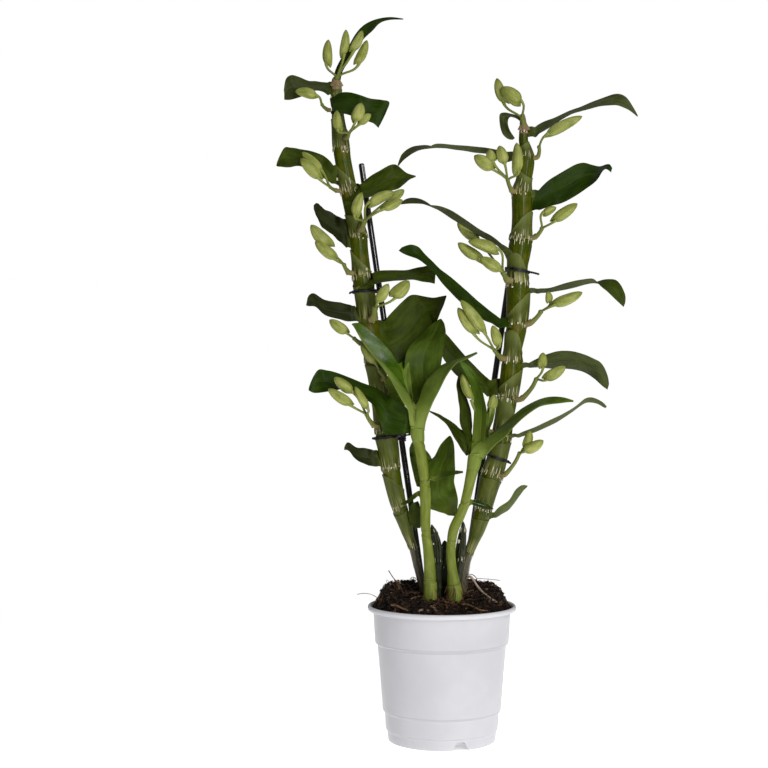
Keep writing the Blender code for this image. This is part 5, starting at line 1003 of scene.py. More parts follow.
def add_clasp(lines, faces, ts, half, host, clasp, spec):
    """Extra cross lines that wrap the blade's foot round the stem it grows
    from and run down on to it."""
    vs = np.linspace(60, 620, 561)
    centres = host.centre(vs)
    radii = host.radius(vs)
    k = 1
    for i in range(len(lines) - 4):
        c = lines[i].mean(0)
        j = int(np.argmin(np.abs(centres[:, 2] - c[2])))
        k = i
        clear = np.hypot(*(c - centres[j])[:2]) > radii[j] + 0.0012 or vs[j] < host.v[0] + 1.0
        if (clear and ts[i] >= spec.get("skip", 0.0)) or ts[i] > max(0.12, spec.get("skip", 0.0)):
            break
    k = spec.get("start", max(k, 1))
    s = ACROSS
    foot = lines[k]
    # the stem's row beside each place across the foot
    v_s = np.array([vs[np.argmin(np.abs(centres[:, 2] - q[2]))] for q in foot]) + spec.get("low", 0.0)
    v0 = float(v_s[len(s) // 2])
    c = host.centre(v0)
    side = foot.mean(0) - c
    heading = math.atan2(side[1], side[0])
    if "heading" in spec:
        heading = math.radians(spec["heading"])
    # from the near margin to the far one, the way round that passes the heading
    start, end = foot[0] - c, foot[-1] - c
    a0, a1 = math.atan2(start[1], start[0]), math.atan2(end[1], end[0])

    def short(a):
        return (a + math.pi) % math.tau - math.pi
    turn_way = spec.get("way", 1.0 if short(a1 - a0) > 0 else -1.0)
    out_lines, out_faces = [], []
    drop = spec.get("drop", 9.0) * clasp
    wrap = spec.get("wrap", 0.85)
    plan = [(drop, wrap, -0.0008, 0.45), (drop * 0.62, wrap, 0.0002, 0.65), (drop * 0.28, wrap * 0.95, 0.0005, 0.85), (0.0, wrap * 0.85, 0.0009, 1.0)]
    if spec.get("young", False):
        plan = [(drop, wrap, -0.0009, 0.45), (drop * 0.60, wrap, -0.0002, 0.65), (drop * 0.26, wrap * 0.97, 0.0001, 0.85), (0.0, wrap * 0.92, 0.0003, 1.0)]
    if spec.get("tube", False):            # the foot closes round the stem like a sheath
        plan = [(drop, wrap, 0.0000, 0.35), (drop * 0.62, wrap, 0.0004, 0.55), (drop * 0.28, wrap, 0.0005, 0.8), (0.0, wrap * 0.97, 0.0005, 1.0)]
    if spec.get("sink", False):            # the foot goes in under the sheath that carries it
        plan = [(drop * 0.30, wrap * 0.50, -0.0022, 0.7), (drop * 0.18, wrap * 0.55, -0.0014, 0.85), (drop * 0.08, wrap * 0.6, -0.0006, 0.95), (0.0, wrap * 0.65, 0.0001, 1.0)]
    for down, spread, off, keep in plan:
        v = v0 + (v_s - v0) * keep + down - np.cos(s * math.pi / 2) * 1.4 * clasp
        turn = heading + turn_way * s * spread
        pts = host.point(v, turn, off)
        out_lines.append(pts)
        cc = host.centre(v)
        out_faces.append(-unit(pts - cc))       # the upper face looks at the stem
    out_lines, out_faces = np.array(out_lines), np.array(out_faces)
    # two blended lines between the foot on the stem and the free blade
    first = lines[k]
    last = out_lines[-1]
    bridge = []
    for f in (0.33, 0.66):
        bridge.append(last * (1 - f) + first * f + (np.array([0, 0, 0.0007]) * math.sin(f * math.pi)))
    bridge = np.array(bridge)
    bridge_faces = unit(np.array([out_faces[-1] * (1 - f) + faces[k] * f for f in (0.33, 0.66)]) + np.array([0, 0, 0.15]))
    new_lines = np.concatenate([out_lines, bridge, lines[k:]])
    new_faces = np.concatenate([out_faces, bridge_faces, faces[k:]])
    new_t = np.concatenate([[0.0, 0.0, 0.0, 0.0, 0.0, 0.01], ts[k:]])
    new_half = np.concatenate([np.full(6, half[k]), half[k:]])
    return new_lines, new_faces, new_t, new_half


def refine(rows, times=2):
    """Denser cross lines by smooth reading between them."""
    count = (len(rows) - 1) * times + 1
    flat = rows.reshape(len(rows), -1)
    return np.array([spline_read(flat, i / (count - 1)) for i in range(count)]).reshape((count,) + rows.shape[1:])


def blade(name, spec, host, upper, under, replaces=(), slot="leaf_dark", count=26, clasp=1.0):
    lines, faces, ts, half = leaf_rows(spec, host, count, clasp)
    lines, faces = refine(lines, 2), refine(faces, 2)
    ts, half = refine(ts[:, None], 2)[:, 0], refine(half[:, None], 2)[:, 0]
    faces = unit(faces)
    rows, cols = lines.shape[:2]
    s = ACROSS
    thick = (0.00020 + 0.00034 * (1.0 - np.abs(s) ** 3))[None, :] * (0.75 + 0.5 * np.clip(1 - ts * 3, 0, 1))[:, None]
    groove = np.exp(-(s / 0.045) ** 2)[None, :] * 0.00022 * np.clip((1 - ts) * 4, 0, 1)[:, None]
    upper_pts = lines + faces * (thick * 0.5 - groove)[..., None]
    under_pts = lines - faces * (thick * 0.5 + groove * 0.9)[..., None]
    step = np.concatenate([[0], np.cumsum(np.linalg.norm(np.diff(lines[:, cols // 2], axis=0), axis=1))]) * 100.0
    grow = np.stack([s[None, :] * half[:, None] * 100.0, np.broadcast_to(step[:, None], (rows, cols)), np.broadcast_to(s[None, :], (rows, cols))], -1)
    own = spec["own"]
    tone = np.stack([np.full((rows, cols), own), np.broadcast_to(np.clip(ts, 0, 1)[:, None], (rows, cols))], -1)
    n = rows * cols
    verts = np.concatenate([upper_pts.reshape(-1, 3), under_pts.reshape(-1, 3)])
    top = grid_faces(rows, cols)
    low = grid_faces(rows, cols, base=n)[:, ::-1]
    i = np.arange(rows - 1)
    left = np.stack([i * cols, n + i * cols, n + (i + 1) * cols, (i + 1) * cols], -1)
    right = np.stack([i * cols + cols - 1, (i + 1) * cols + cols - 1, n + (i + 1) * cols + cols - 1, n + i * cols + cols - 1], -1)
    j = np.arange(cols - 1)
    foot = np.stack([j, j + 1, n + j + 1, n + j], -1)
    b = (rows - 1) * cols
    tip = np.stack([b + j, n + b + j, n + b + j + 1, b + j + 1], -1)
    soup = Soup()
    both = np.concatenate([grow.reshape(-1, 3)] * 2)
    tones = np.concatenate([tone.reshape(-1, 2)] * 2)
    quads = np.concatenate([top, low, left, right, foot, tip])
    mats = np.concatenate([np.zeros(len(top), int), np.ones(len(low), int), np.ones(len(left) + len(right) + len(foot) + len(tip), int)])
    soup.add(verts, quads, mats, both, tones)
    return soup.build(name, [upper, under], replaces=replaces, slot=slot)


# ---------------------------------------------------------------------------
# buds, their stalks and bracts
# ---------------------------------------------------------------------------
BUD_OUTLINE = [(0.0, 0.30), (0.04, 0.52), (0.09, 0.70), (0.16, 0.86), (0.26, 0.97), (0.38, 1.0), (0.52, 0.965),
               (0.66, 0.87), (0.78, 0.72), (0.88, 0.52), (0.94, 0.34), (0.98, 0.17), (1.0, 0.02)]


def bud(soup, foot, tip, width, seed, toward=None):
    """A closed bud: sepals folded round each other with shallow seams, a chin
    at its foot, its point a little bent."""
    gen = np.random.default_rng(seed)
    foot, tip = np.asarray(foot, float), np.asarray(tip, float)
    axis = tip - foot
    length = np.linalg.norm(axis)
    axis = axis / length
    # the heel of the bud is on the side of the common stalk
    down = np.array([0, 0, 1.0]) if toward is None else unit(np.asarray(toward, float) - foot) + np.array([0, 0, 0.35])
    down = down - axis * down.dot(axis)
    down = unit(down) if np.linalg.norm(down) > 0.1 else unit(np.cross(axis, [0, 1.0, 0]))
    side = np.cross(axis, down)
    n, m = 26, 24
    t = np.linspace(0, 1, n) ** 0.92
    prof = np.interp(t, [a for a, b in BUD_OUTLINE], [b for a, b in BUD_OUTLINE])
    prof = prof * width * 0.47
    turn = np.linspace(0, math.tau, m, endpoint=False)
    lean = gen.uniform(-1, 1, 2)
    bend = down * (-0.035) + side * 0.03 * lean[0]
    line = foot + axis * (t * length)[:, None] + bend * (np.sin(t * math.pi * 0.9) * length)[:, None]
    roll = gen.uniform(0, math.tau)
    seam = np.zeros((n, m))
    for q in range(3):
        d = (turn - roll - q * math.tau / 3 + math.pi) % math.tau - math.pi
        seam += np.exp(-(d / 0.13) ** 2)[None, :] * np.clip(t * 5, 0, 1)[:, None] * np.clip((1.03 - t) * 6, 0, 1)[:, None]
    swell = 1.0 + 0.045 * np.cos(3 * (turn - roll) + math.pi)[None, :]
    belly = 1.0 + 0.10 * np.maximum(np.cos(turn), 0)[None, :] * np.exp(-((t - 0.22) / 0.2) ** 2)[:, None]
    r = prof[:, None] * swell * belly - seam * min(0.00034, width * 0.045)
    r = np.maximum(r, 0.00004)
    ring = line[:, None, :] + r[..., None] * (np.cos(turn)[None, :, None] * down + np.sin(turn)[None, :, None] * side)
    back = np.maximum(np.cos(turn), 0) ** 1.6
    pull = np.clip(1 - t / 0.24, 0, 1) ** 0.9
    ring -= axis * (min(length * 0.13, 0.0034) * pull[:, None] * back[None, :])[..., None]
    ring += down * (width * 0.17 * pull[:, None] * back[None, :])[..., None]
    own = gen.uniform(0, 1)
    grow = np.stack([np.broadcast_to(np.cos(turn), (n, m)), np.broadcast_to(np.sin(turn), (n, m)), np.broadcast_to((t * length * 100)[:, None], (n, m))], -1)
    tone = np.stack([np.full((n, m), own), np.broadcast_to(t[:, None], (n, m))], -1)
    verts = np.vstack([ring.reshape(-1, 3), line[0], line[-1]])
    grow = np.vstack([grow.reshape(-1, 3), [0, 0, 0], [0, 0, length * 100]])
    tone = np.vstack([tone.reshape(-1, 2), [own, 0], [own, 1]])
    faces = [grid_faces(n, m, True), np.vstack([fan(n * m, np.arange(m), True), fan(n * m + 1, np.arange(m) + (n - 1) * m)])]
    soup.add(verts, faces, 0, grow, tone)
    return foot - down * (width * 0.13), axis


def bract(soup, base, heading, length, width, mat, seed, curl=0.25):
    """A small papery scale, pointed, hugging a stalk."""
    gen = np.random.default_rng(seed)
    base, heading = np.asarray(base, float), unit(heading)
    ref = np.array([0, -1.0, 0]) if abs(heading[1]) < 0.8 else np.array([1.0, 0, 0])
    side = unit(np.cross(heading, ref))
    out = np.cross(side, heading)
    n, m = 7, 7
    t = np.linspace(0, 1, n)
    s = np.linspace(-1, 1, m)
    w = width * 0.5 * np.clip(1 - t ** 1.6, 0.04, 1)
    pts = base + heading * (t * length)[:, None, None] + side * (w[:, None] * s[None, :])[..., None] \
        + out * (length * curl * (t ** 2)[:, None] + (width * 0.32 * (1 - s ** 2))[None, :] * (1 - 0.6 * t)[:, None])[..., None]
    thick = 0.00016
    verts = np.concatenate([(pts + out * thick).reshape(-1, 3), (pts - out * thick).reshape(-1, 3)])
    k = n * m
    i, j = np.arange(n - 1), np.arange(m - 1)
    edge = np.concatenate([
        np.stack([i * m, k + i * m, k + (i + 1) * m, (i + 1) * m], -1),
        np.stack([i * m + m - 1, (i + 1) * m + m - 1, k + (i + 1) * m + m - 1, k + i * m + m - 1], -1),
        np.stack([j, j + 1, k + j + 1, k + j], -1),
        np.stack([(n - 1) * m + j, k + (n - 1) * m + j, k + (n - 1) * m + j + 1, (n - 1) * m + j + 1], -1)])
    quads = np.concatenate([grid_faces(n, m), grid_faces(n, m, base=k)[:, ::-1], edge])
    grow = np.stack([np.broadcast_to(s[None, :] * width * 50, (n, m)), np.zeros((n, m)), np.broadcast_to((t * length * 100)[:, None], (n, m))], -1)
    own = gen.uniform(0, 0.6)
    tone = np.stack([np.full((n, m), own), np.broadcast_to(t[:, None], (n, m))], -1)
    soup.add(verts, quads, mat, np.concatenate([grow.reshape(-1, 3)] * 2), np.concatenate([tone.reshape(-1, 2)] * 2))


def spray(name, spec, host, replaces=(), seed=1):
    """The common stalk from inside the cane to its fork, then a curved stalk
    to every bud, with bracts at the joints."""
    gen = np.random.default_rng(seed)
    soup = Soup()
    base, hub = np.array(at(*spec["base"])), np.array(at(*spec["hub"]))
    v0 = spec["base"][1]
    c = host.centre(v0 + 2.0)
    wide = size(spec["wide"], spec["base"][2]) * 0.5
    inward = unit(c - base)
    root = base + inward * (float(host.radius(v0)) * 0.55)
    bow = base * 0.5 + hub * 0.5 + unit(base - c) * (np.linalg.norm(hub - base) * 0.10)
    line = curve_through([root, base, bow, hub], 15)
    radii = np.interp(np.linspace(0, 1, 15), [0, 0.3, 0.36, 0.6, 1.0], [1.22, 1.15, 1.18, 0.92, 0.86]) * wide
    tones = np.column_stack([np.full(15, gen.uniform()), np.linspace(0.0, 0.40, 15)])
    rod(soup, line, radii, 12, 1, tones, grow_scale=100.0)
    # bracts round the foot
    out = unit(hub - base)
    for q in range(2):
        a = q * 2.4 + gen.uniform(0, 1)
        ref = unit(np.cross(out, [0.3, -1.0, 0.2]))
        sidev = unit(np.cos(a) * ref + np.sin(a) * np.cross(out, ref))
        start = base - out * wide * 0.5 + sidev * wide * 0.62
        bract(soup, start, out + sidev * 0.25, wide * gen.uniform(1.7, 2.4), wide * gen.uniform(1.3, 1.7), 2, seed * 31 + q, 0.10)
    # the fork swells a little
    rod(soup, np.array([hub - out * wide * 0.9, hub - out * wide * 0.3, hub + out * wide * 0.25, hub + out * wide * 0.7]),
        np.array([0.80, 1.02, 0.95, 0.45]) * wide, 12, 1, (0.4, 0.42))
    for n, (tu, tv, fu, fv, w, y, *more) in enumerate(spec["buds"]):
        tip, foot = np.array(at(tu, tv, y - 1.5)), np.array(at(fu, fv, y))
        width = size(w, y)
        join, axis = bud(soup, foot, tip, width, seed * 17 + n, hub)
        length = np.linalg.norm(join - hub)
        thin = size(2.4, y) * 0.5
        start = hub - out * wide * 0.4
        one = start + unit(out * 0.55 + unit(join - start)) * length * 0.42
        two = join - axis * min(length * 0.42, 0.011) + np.array([0, 0, -0.02]) * length
        f = np.linspace(0, 1, 18)[:, None]
        end = join + axis * width * 0.18
        run = start * (1 - f) ** 3 + one * 3 * f * (1 - f) ** 2 + two * 3 * f * f * (1 - f) + end * f ** 3
        rr = np.interp(f[:, 0], [0, 0.12, 0.5, 0.82, 1.0], [1.25, 1.0, 0.95, 1.12, 1.7]) * thin
        tones = np.column_stack([np.full(18, gen.uniform()), np.linspace(0.40, 1.0, 18)])
        rod(soup, run, rr, 10, 1, tones)
        if n % 2 == 0:
            bract(soup, start + unit(one - start) * wide * 0.7, unit(one - start) + 0.3 * unit(np.cross(out, [0, 1.0, 0])),
                  wide * gen.uniform(1.0, 1.5), wide * gen.uniform(0.8, 1.1), 2, seed * 57 + n, 0.15)
    return soup, name, replaces


# ---------------------------------------------------------------------------
# canes, sheaths and their fringes
# ---------------------------------------------------------------------------
def cane(name, stem, top_v, low_v, nodes, sheaths, pale_from, replaces):
    soup = Soup()
    vs = np.linspace(low_v, top_v, 330)
    sides = 56
    turn = np.linspace(0, math.tau, sides, endpoint=False)
    furrow = 1.0 + 0.010 * np.cos(9 * turn + 0.7)[None, :] + 0.006 * np.cos(17 * turn)[None, :]
    bump = np.zeros(len(vs))
    for node in nodes:
        d = vs - node
        bump += 0.055 * np.exp(-(d / 1.3) ** 2) - 0.035 * np.exp(-((d - 2.6) / 1.0) ** 2)
    scale = 0.955 * furrow * (1.0 + bump)[:, None]
    scale[:, :] *= np.where(vs > 600, 0.96, 1.0)[:, None]
    pts = stem.point(vs[:, None], turn[None, :], 0.0, scale)
    z = (low_v - vs) * 0.081
    grow = np.stack([np.broadcast_to(np.cos(turn), pts.shape[:2]), np.broadcast_to(np.sin(turn), pts.shape[:2]), np.broadcast_to(z[:, None], pts.shape[:2])], -1)
    pale = np.where(vs > pale_from, 1.0, 0.0)
    tone = np.stack([np.broadcast_to(pale[:, None], pts.shape[:2]), np.broadcast_to(np.zeros(len(vs))[:, None], pts.shape[:2])], -1)
    n, m = pts.shape[:2]
    verts = np.vstack([pts.reshape(-1, 3), stem.centre(low_v), stem.centre(top_v)])
    faces = [grid_faces(n, m, True), np.vstack([fan(n * m, np.arange(m), True), fan(n * m + 1, np.arange(m) + (n - 1) * m)])]
    soup.add(verts, faces, 0, np.vstack([grow.reshape(-1, 3), [0, 0, 0], [0, 0, 30]]), np.vstack([tone.reshape(-1, 2), [0, 0], [0, 0]]))
    for k, sheath in enumerate(sheaths):
        add_sheath(soup, stem, k, **sheath)
    return soup.build(name, [CANE_SKIN, SHEATH, FRINGE_AND_HIGHLIGHTS], replaces=replaces, slot="cane")


def add_sheath(soup, stem, k, low, left, right, front, fringe=1.0, flare=0.00045, out=0.0, own=None, mat=1, fringe_mat=2, part=None, pleat=1.0, arch=0.0):
    """A thin tube round the stem from the row low up to an oblique mouth:
    left, right and front give the row of its upper edge on those sides."""
    gen = np.random.default_rng(100 + k * 7 + int(low))
    a, b = (left + right) / 2.0, (right - left) / 2.0
    c = front - a
    n, m = 18, 72
    turn = np.linspace(0, math.tau, m, endpoint=False)
    x = np.cos(turn)
    if arch:                               # a tongue that stays level and falls off at one side
        hang = (np.clip((1 + x * (1 if b > 0 else -1)) / 2, 0, 1)) ** arch
        high = min(left, right)
        edge = high + abs(right - left) * hang
        edge = edge - (front - (high + abs(right - left) * 0.5 ** arch)) * np.sin(turn)
    else:
        edge = a + b * x - c * np.sin(turn)
    edge = edge + smooth_noise(turn * 3.0, 11 + k) * 0.5
    edge = np.minimum(edge, low - 3.0)
    q = np.linspace(0, 1, n) ** 0.85
    v = low + (edge[None, :] - low) * q[:, None]
    ripple = (np.cos(19 * turn + gen.uniform(0, 6))[None, :] * 0.6 + np.cos(31 * turn + gen.uniform(0, 6))[None, :] * 0.4)
    ripple = ripple * (0.00016 * pleat) * np.clip(1.1 - q * 1.6, 0.12, 1)[:, None]
    lift = 0.00018 + out + ripple + flare * (q ** 7)[:, None] - 0.00020 * np.exp(-(q / 0.07) ** 2)[:, None]
    outer = stem.point(v, turn[None, :], lift, 0.975)
    inner = stem.point(v, turn[None, :], lift - 0.00022, 0.975)
    z = (600.0 - v) * 0.081
    grow = np.stack([np.broadcast_to(np.cos(turn), (n, m)), np.broadcast_to(np.sin(turn), (n, m)), z], -1)
    own = gen.uniform(0, 1) if own is None else own
    tone = np.stack([np.full((n, m), own), np.broadcast_to(q[:, None], (n, m))], -1)
    verts = np.concatenate([outer.reshape(-1, 3), inner.reshape(-1, 3)])
    j = np.arange(m)
    jn = (j + 1) % m
    t0 = (n - 1) * m
    rim = np.stack([t0 + j, t0 + jn, n * m + t0 + jn, n * m + t0 + j], -1)
    base = np.stack([j, n * m + j, n * m + jn, jn], -1)
    quads = np.concatenate([grid_faces(n, m, True), grid_faces(n, m, True, n * m)[:, ::-1], rim, base])
    soup.add(verts, quads, mat, np.concatenate([grow.reshape(-1, 3)] * 2), np.concatenate([tone.reshape(-1, 2)] * 2))
    if fringe > 0:
        add_fringe(soup, stem, low, int(26 * fringe), gen, fringe_mat)


def add_fringe(soup, stem, v, count, gen, mat, length=(1.5, 6.0)):
    """Short torn strands of a sheath's foot lying over the joint below."""
    for _ in range(count):
        turn = gen.uniform(0, math.tau)
        start = v - gen.uniform(1.0, 4.5)
        end = v + gen.uniform(*length) * gen.uniform(0.3, 1.0)
        vs = np.linspace(start, end, 6)
        drift = gen.uniform(-0.10, 0.10) * np.linspace(0, 1, 6)
        lift = 0.00022 + np.linspace(0, 1, 6) ** 2 * gen.uniform(0.0000, 0.00050)
        pts = stem.point(vs, turn + drift, lift, 0.985)
        wide = size(gen.uniform(0.35, 0.85)) * 0.5
        rod(soup, pts, np.array([0.6, 1.0, 1.0, 0.9, 0.7, 0.25]) * wide, 5, mat, (gen.uniform(0, 1), 0.5), caps=True)


def fleck(soup, stem, u, v, long, wide, own, mat=2, lift=0.0004, slant=0.0):
    """One bright strand or bead at a seen place on the stem; some of them are painted highlights."""
    turn = on_front(stem, u, v)
    vs = np.linspace(v - long / 2.0, v + long / 2.0, 6)
    pts = stem.point(vs, turn + slant * np.linspace(-0.5, 0.5, 6), lift, 1.0)
    rod(soup, pts, np.array([0.55, 0.95, 1.0, 1.0, 0.9, 0.5]) * size(wide) * 0.5, 6, mat, (own, 0.5))

# ---------------------------------------------------------------------------
# the two ripe canes
# ---------------------------------------------------------------------------
SHEATHS_LEFT = [
    dict(low=97, left=84, right=90, front=86, fringe=0.4),
    dict(low=149, left=119, right=132, front=124, fringe=0.8),
    dict(low=191, left=163, right=187, front=175),
    dict(low=236, left=213, right=222, front=217),
    dict(low=277, left=249, right=273, front=261),
    dict(low=319, left=284, right=279, front=285),
    dict(low=360, left=335, right=342, front=338),
    dict(low=397, left=363, right=371, front=366),
    dict(low=431, left=400, right=405, front=402),
    dict(low=468, left=437.5, right=434, front=436),
    dict(low=507, left=473, right=492, front=479.5, fringe=0.6),
    dict(low=547, left=512, right=510, front=514, fringe=0.3),
]
SHEATHS_RIGHT = [
    dict(low=157, left=145, right=143, front=144, fringe=0.8),
    dict(low=193, left=169, right=177, front=175.5),
    dict(low=239, left=236, right=214, front=217.5, fringe=1.6),
    dict(low=284, left=258, right=279, front=255.8, arch=3.0),
    dict(low=325, left=320, right=293, front=302),
    dict(low=360.5, left=334, right=353, front=333.2, arch=3.0),
    dict(low=399, left=391, right=368, front=376.5, fringe=1.3),
    dict(low=437, left=400, right=417, front=398.4, arch=2.6),
    dict(low=474.5, left=447, right=441, front=443, fringe=1.3),
    dict(low=509, left=479.5, right=478.5, front=479, fringe=0.9, pleat=0.6),
    dict(low=553, left=520, right=518, front=519.4, fringe=0.15, pleat=0.4),
]
cane("cane_left_skin", LEFT, 88, 612, NODES_LEFT, SHEATHS_LEFT, 549, ["cane_left"])
cane("cane_right_skin", RIGHT, 132, 610, NODES_RIGHT, SHEATHS_RIGHT, 554, ["cane_right"])

# bright strands, beads of nectar and torn fibres at the joints; some of the white flecks are painted highlights
joint_flecks_and_highlights = Soup()
for u, v, long, wide, own in [
        (343.5, 152.5, 2.0, 1.8, 1.0), (347, 153, 2.6, 1.1, 0.7), (334.8, 177.6, 3.2, 2.8, 0.9), (350, 182, 7, 0.9, 0.9),
        (346.5, 184, 7, 0.7, 0.7), (359, 238, 2.0, 1.2, 0.8), (363, 239.4, 1.8, 1.6, 1.0), (366.4, 270.4, 3.2, 2.6, 0.7),
        (367, 274.2, 1.8, 1.6, 0.9), (370.2, 321.8, 1.8, 1.4, 0.9), (373.6, 323.4, 1.4, 1.0, 0.7), (391.2, 467.4, 2.2, 1.4, 1.0), (395, 465, 3.0, 1.0, 0.8)]:
    fleck(joint_flecks_and_highlights, LEFT, u, v, long, wide, own, 0)
for u, v, long, wide, own in [
        (523.6, 131.6, 3.0, 1.6, 1.0), (521, 132.4, 2.0, 1.0, 0.8), (526, 132.8, 2.0, 1.2, 0.7), (525, 154, 6, 0.8, 0.9), (528.6, 153, 5, 0.7, 0.7),
        (524, 187, 8, 0.9, 0.8), (520.6, 183, 8, 0.7, 0.7), (527, 188, 7, 0.8, 0.7), (524.4, 194.6, 2.4, 1.4, 1.0), (516, 194.4, 2, 1.0, 0.8), (520, 195, 2, 0.9, 0.7),
        (514.6, 234, 4, 0.8, 0.9), (520, 236, 3, 1.2, 1.0), (522.6, 233, 7, 0.8, 0.8), (516, 240, 6, 1.2, 0.9), (519, 242, 7, 1.4, 0.75), (514, 243, 7, 0.8, 0.8),
        (523, 241, 5, 0.9, 0.8), (521, 244, 5, 0.8, 0.7), (517.6, 236, 4, 1.0, 0.9), (511.6, 286.8, 1.6, 2.2, 1.0), (519.6, 283.6, 2.6, 1.6, 1.0), (518, 279, 7, 0.7, 0.8),
        (514, 277, 8, 0.7, 0.7), (523, 277, 8, 0.7, 0.6), (511, 324.4, 2.6, 2.6, 0.9), (516.8, 323.2, 2.2, 1.8, 1.0), (521, 324, 3.0, 0.9, 0.7), (524, 325.6, 3, 0.8, 0.7),
        (506, 362.6, 3.0, 1.6, 0.9), (512.6, 361, 2.6, 1.4, 1.0), (509, 359, 5, 0.8, 0.7), (516, 360, 3, 0.8, 0.8), (506.6, 399.8, 4.0, 2.6, 1.0), (510.4, 401, 3, 1.0, 0.8),
        (508, 393, 8, 0.9, 0.7), (512, 391, 9, 0.8, 0.8), (515.6, 389, 9, 0.7, 0.6), (505, 388, 8, 0.7, 0.7),
        (475.4, 507.6, 2.4, 1.4, 1.0), (478, 507.8, 2.2, 1.3, 1.0), (482.2, 508.6, 2.4, 1.4, 1.0), (485, 509, 2.0, 1.2, 0.9), (487.6, 509.6, 2.0, 1.2, 1.0),
        (492, 469, 6, 0.9, 0.9), (495.6, 470, 6, 0.9, 0.7), (499, 469, 5, 0.8, 0.8), (504, 467.6, 3, 1.2, 0.9)]:
    fleck(joint_flecks_and_highlights, RIGHT, u, v, long, wide, own, 0)
joint_flecks_and_highlights.build("joint_strands_and_highlights", [FRINGE_AND_HIGHLIGHTS], slot="bud")

# the cut-short tips of the canes: a dry collar on the left, a thin stub on the right
tops = Soup()
line = curve_through([at(336.6, 92, 0), at(336.4, 86, 0), at(336.0, 80, 0), at(335.8, 76.5, 0)], 14)
rod(tops, line, np.interp(np.linspace(0, 1, 14), [0, 0.35, 0.7, 0.9, 1.0], [0.0041, 0.0045, 0.0034, 0.0022, 0.0010]), 22, 0,
    np.column_stack([np.full(14, 0.75), np.linspace(0, 1, 14)]))
for q, (a, long) in enumerate([(215, 0.0062), (335, 0.0068), (90, 0.0064), (275, 0.0048)]):
    a = math.radians(a)
    out = np.array([math.cos(a), math.sin(a), 0.0])
    bract(tops, np.array(at(336.4, 87, 0)) + out * 0.0036, np.array([0, 0, 1.0]) - out * 0.16, long * 0.9, 0.0050, 0, 900 + q, 0.02)
stub = [at(523.6, 134, 0), at(523.4, 128, 0), at(523.0, 121, 0), at(522.4, 114, 0)]
rod(tops, curve_through(stub, 12), np.interp(np.linspace(0, 1, 12), [0, 0.4, 0.8, 1.0], [0.0038, 0.0031, 0.0024, 0.0016]), 16, 0, np.column_stack([np.full(12, 0.9), np.linspace(0.0, 0.2, 12)]))
for q, (a, long) in enumerate([(350, 0.0075), (210, 0.0062), (95, 0.0070)]):
    a = math.radians(a)
    out = np.array([math.cos(a), math.sin(a), 0.0])
    bract(tops, np.array(at(523.5, 130.6, 0)) + out * 0.0031, np.array([0, 0, 1.0]) - out * 0.10, long * 0.8, 0.0044, 0, 920 + q, 0.01)
tops.build("cane_top_scales", [BRACT, STALK], slot="cane")

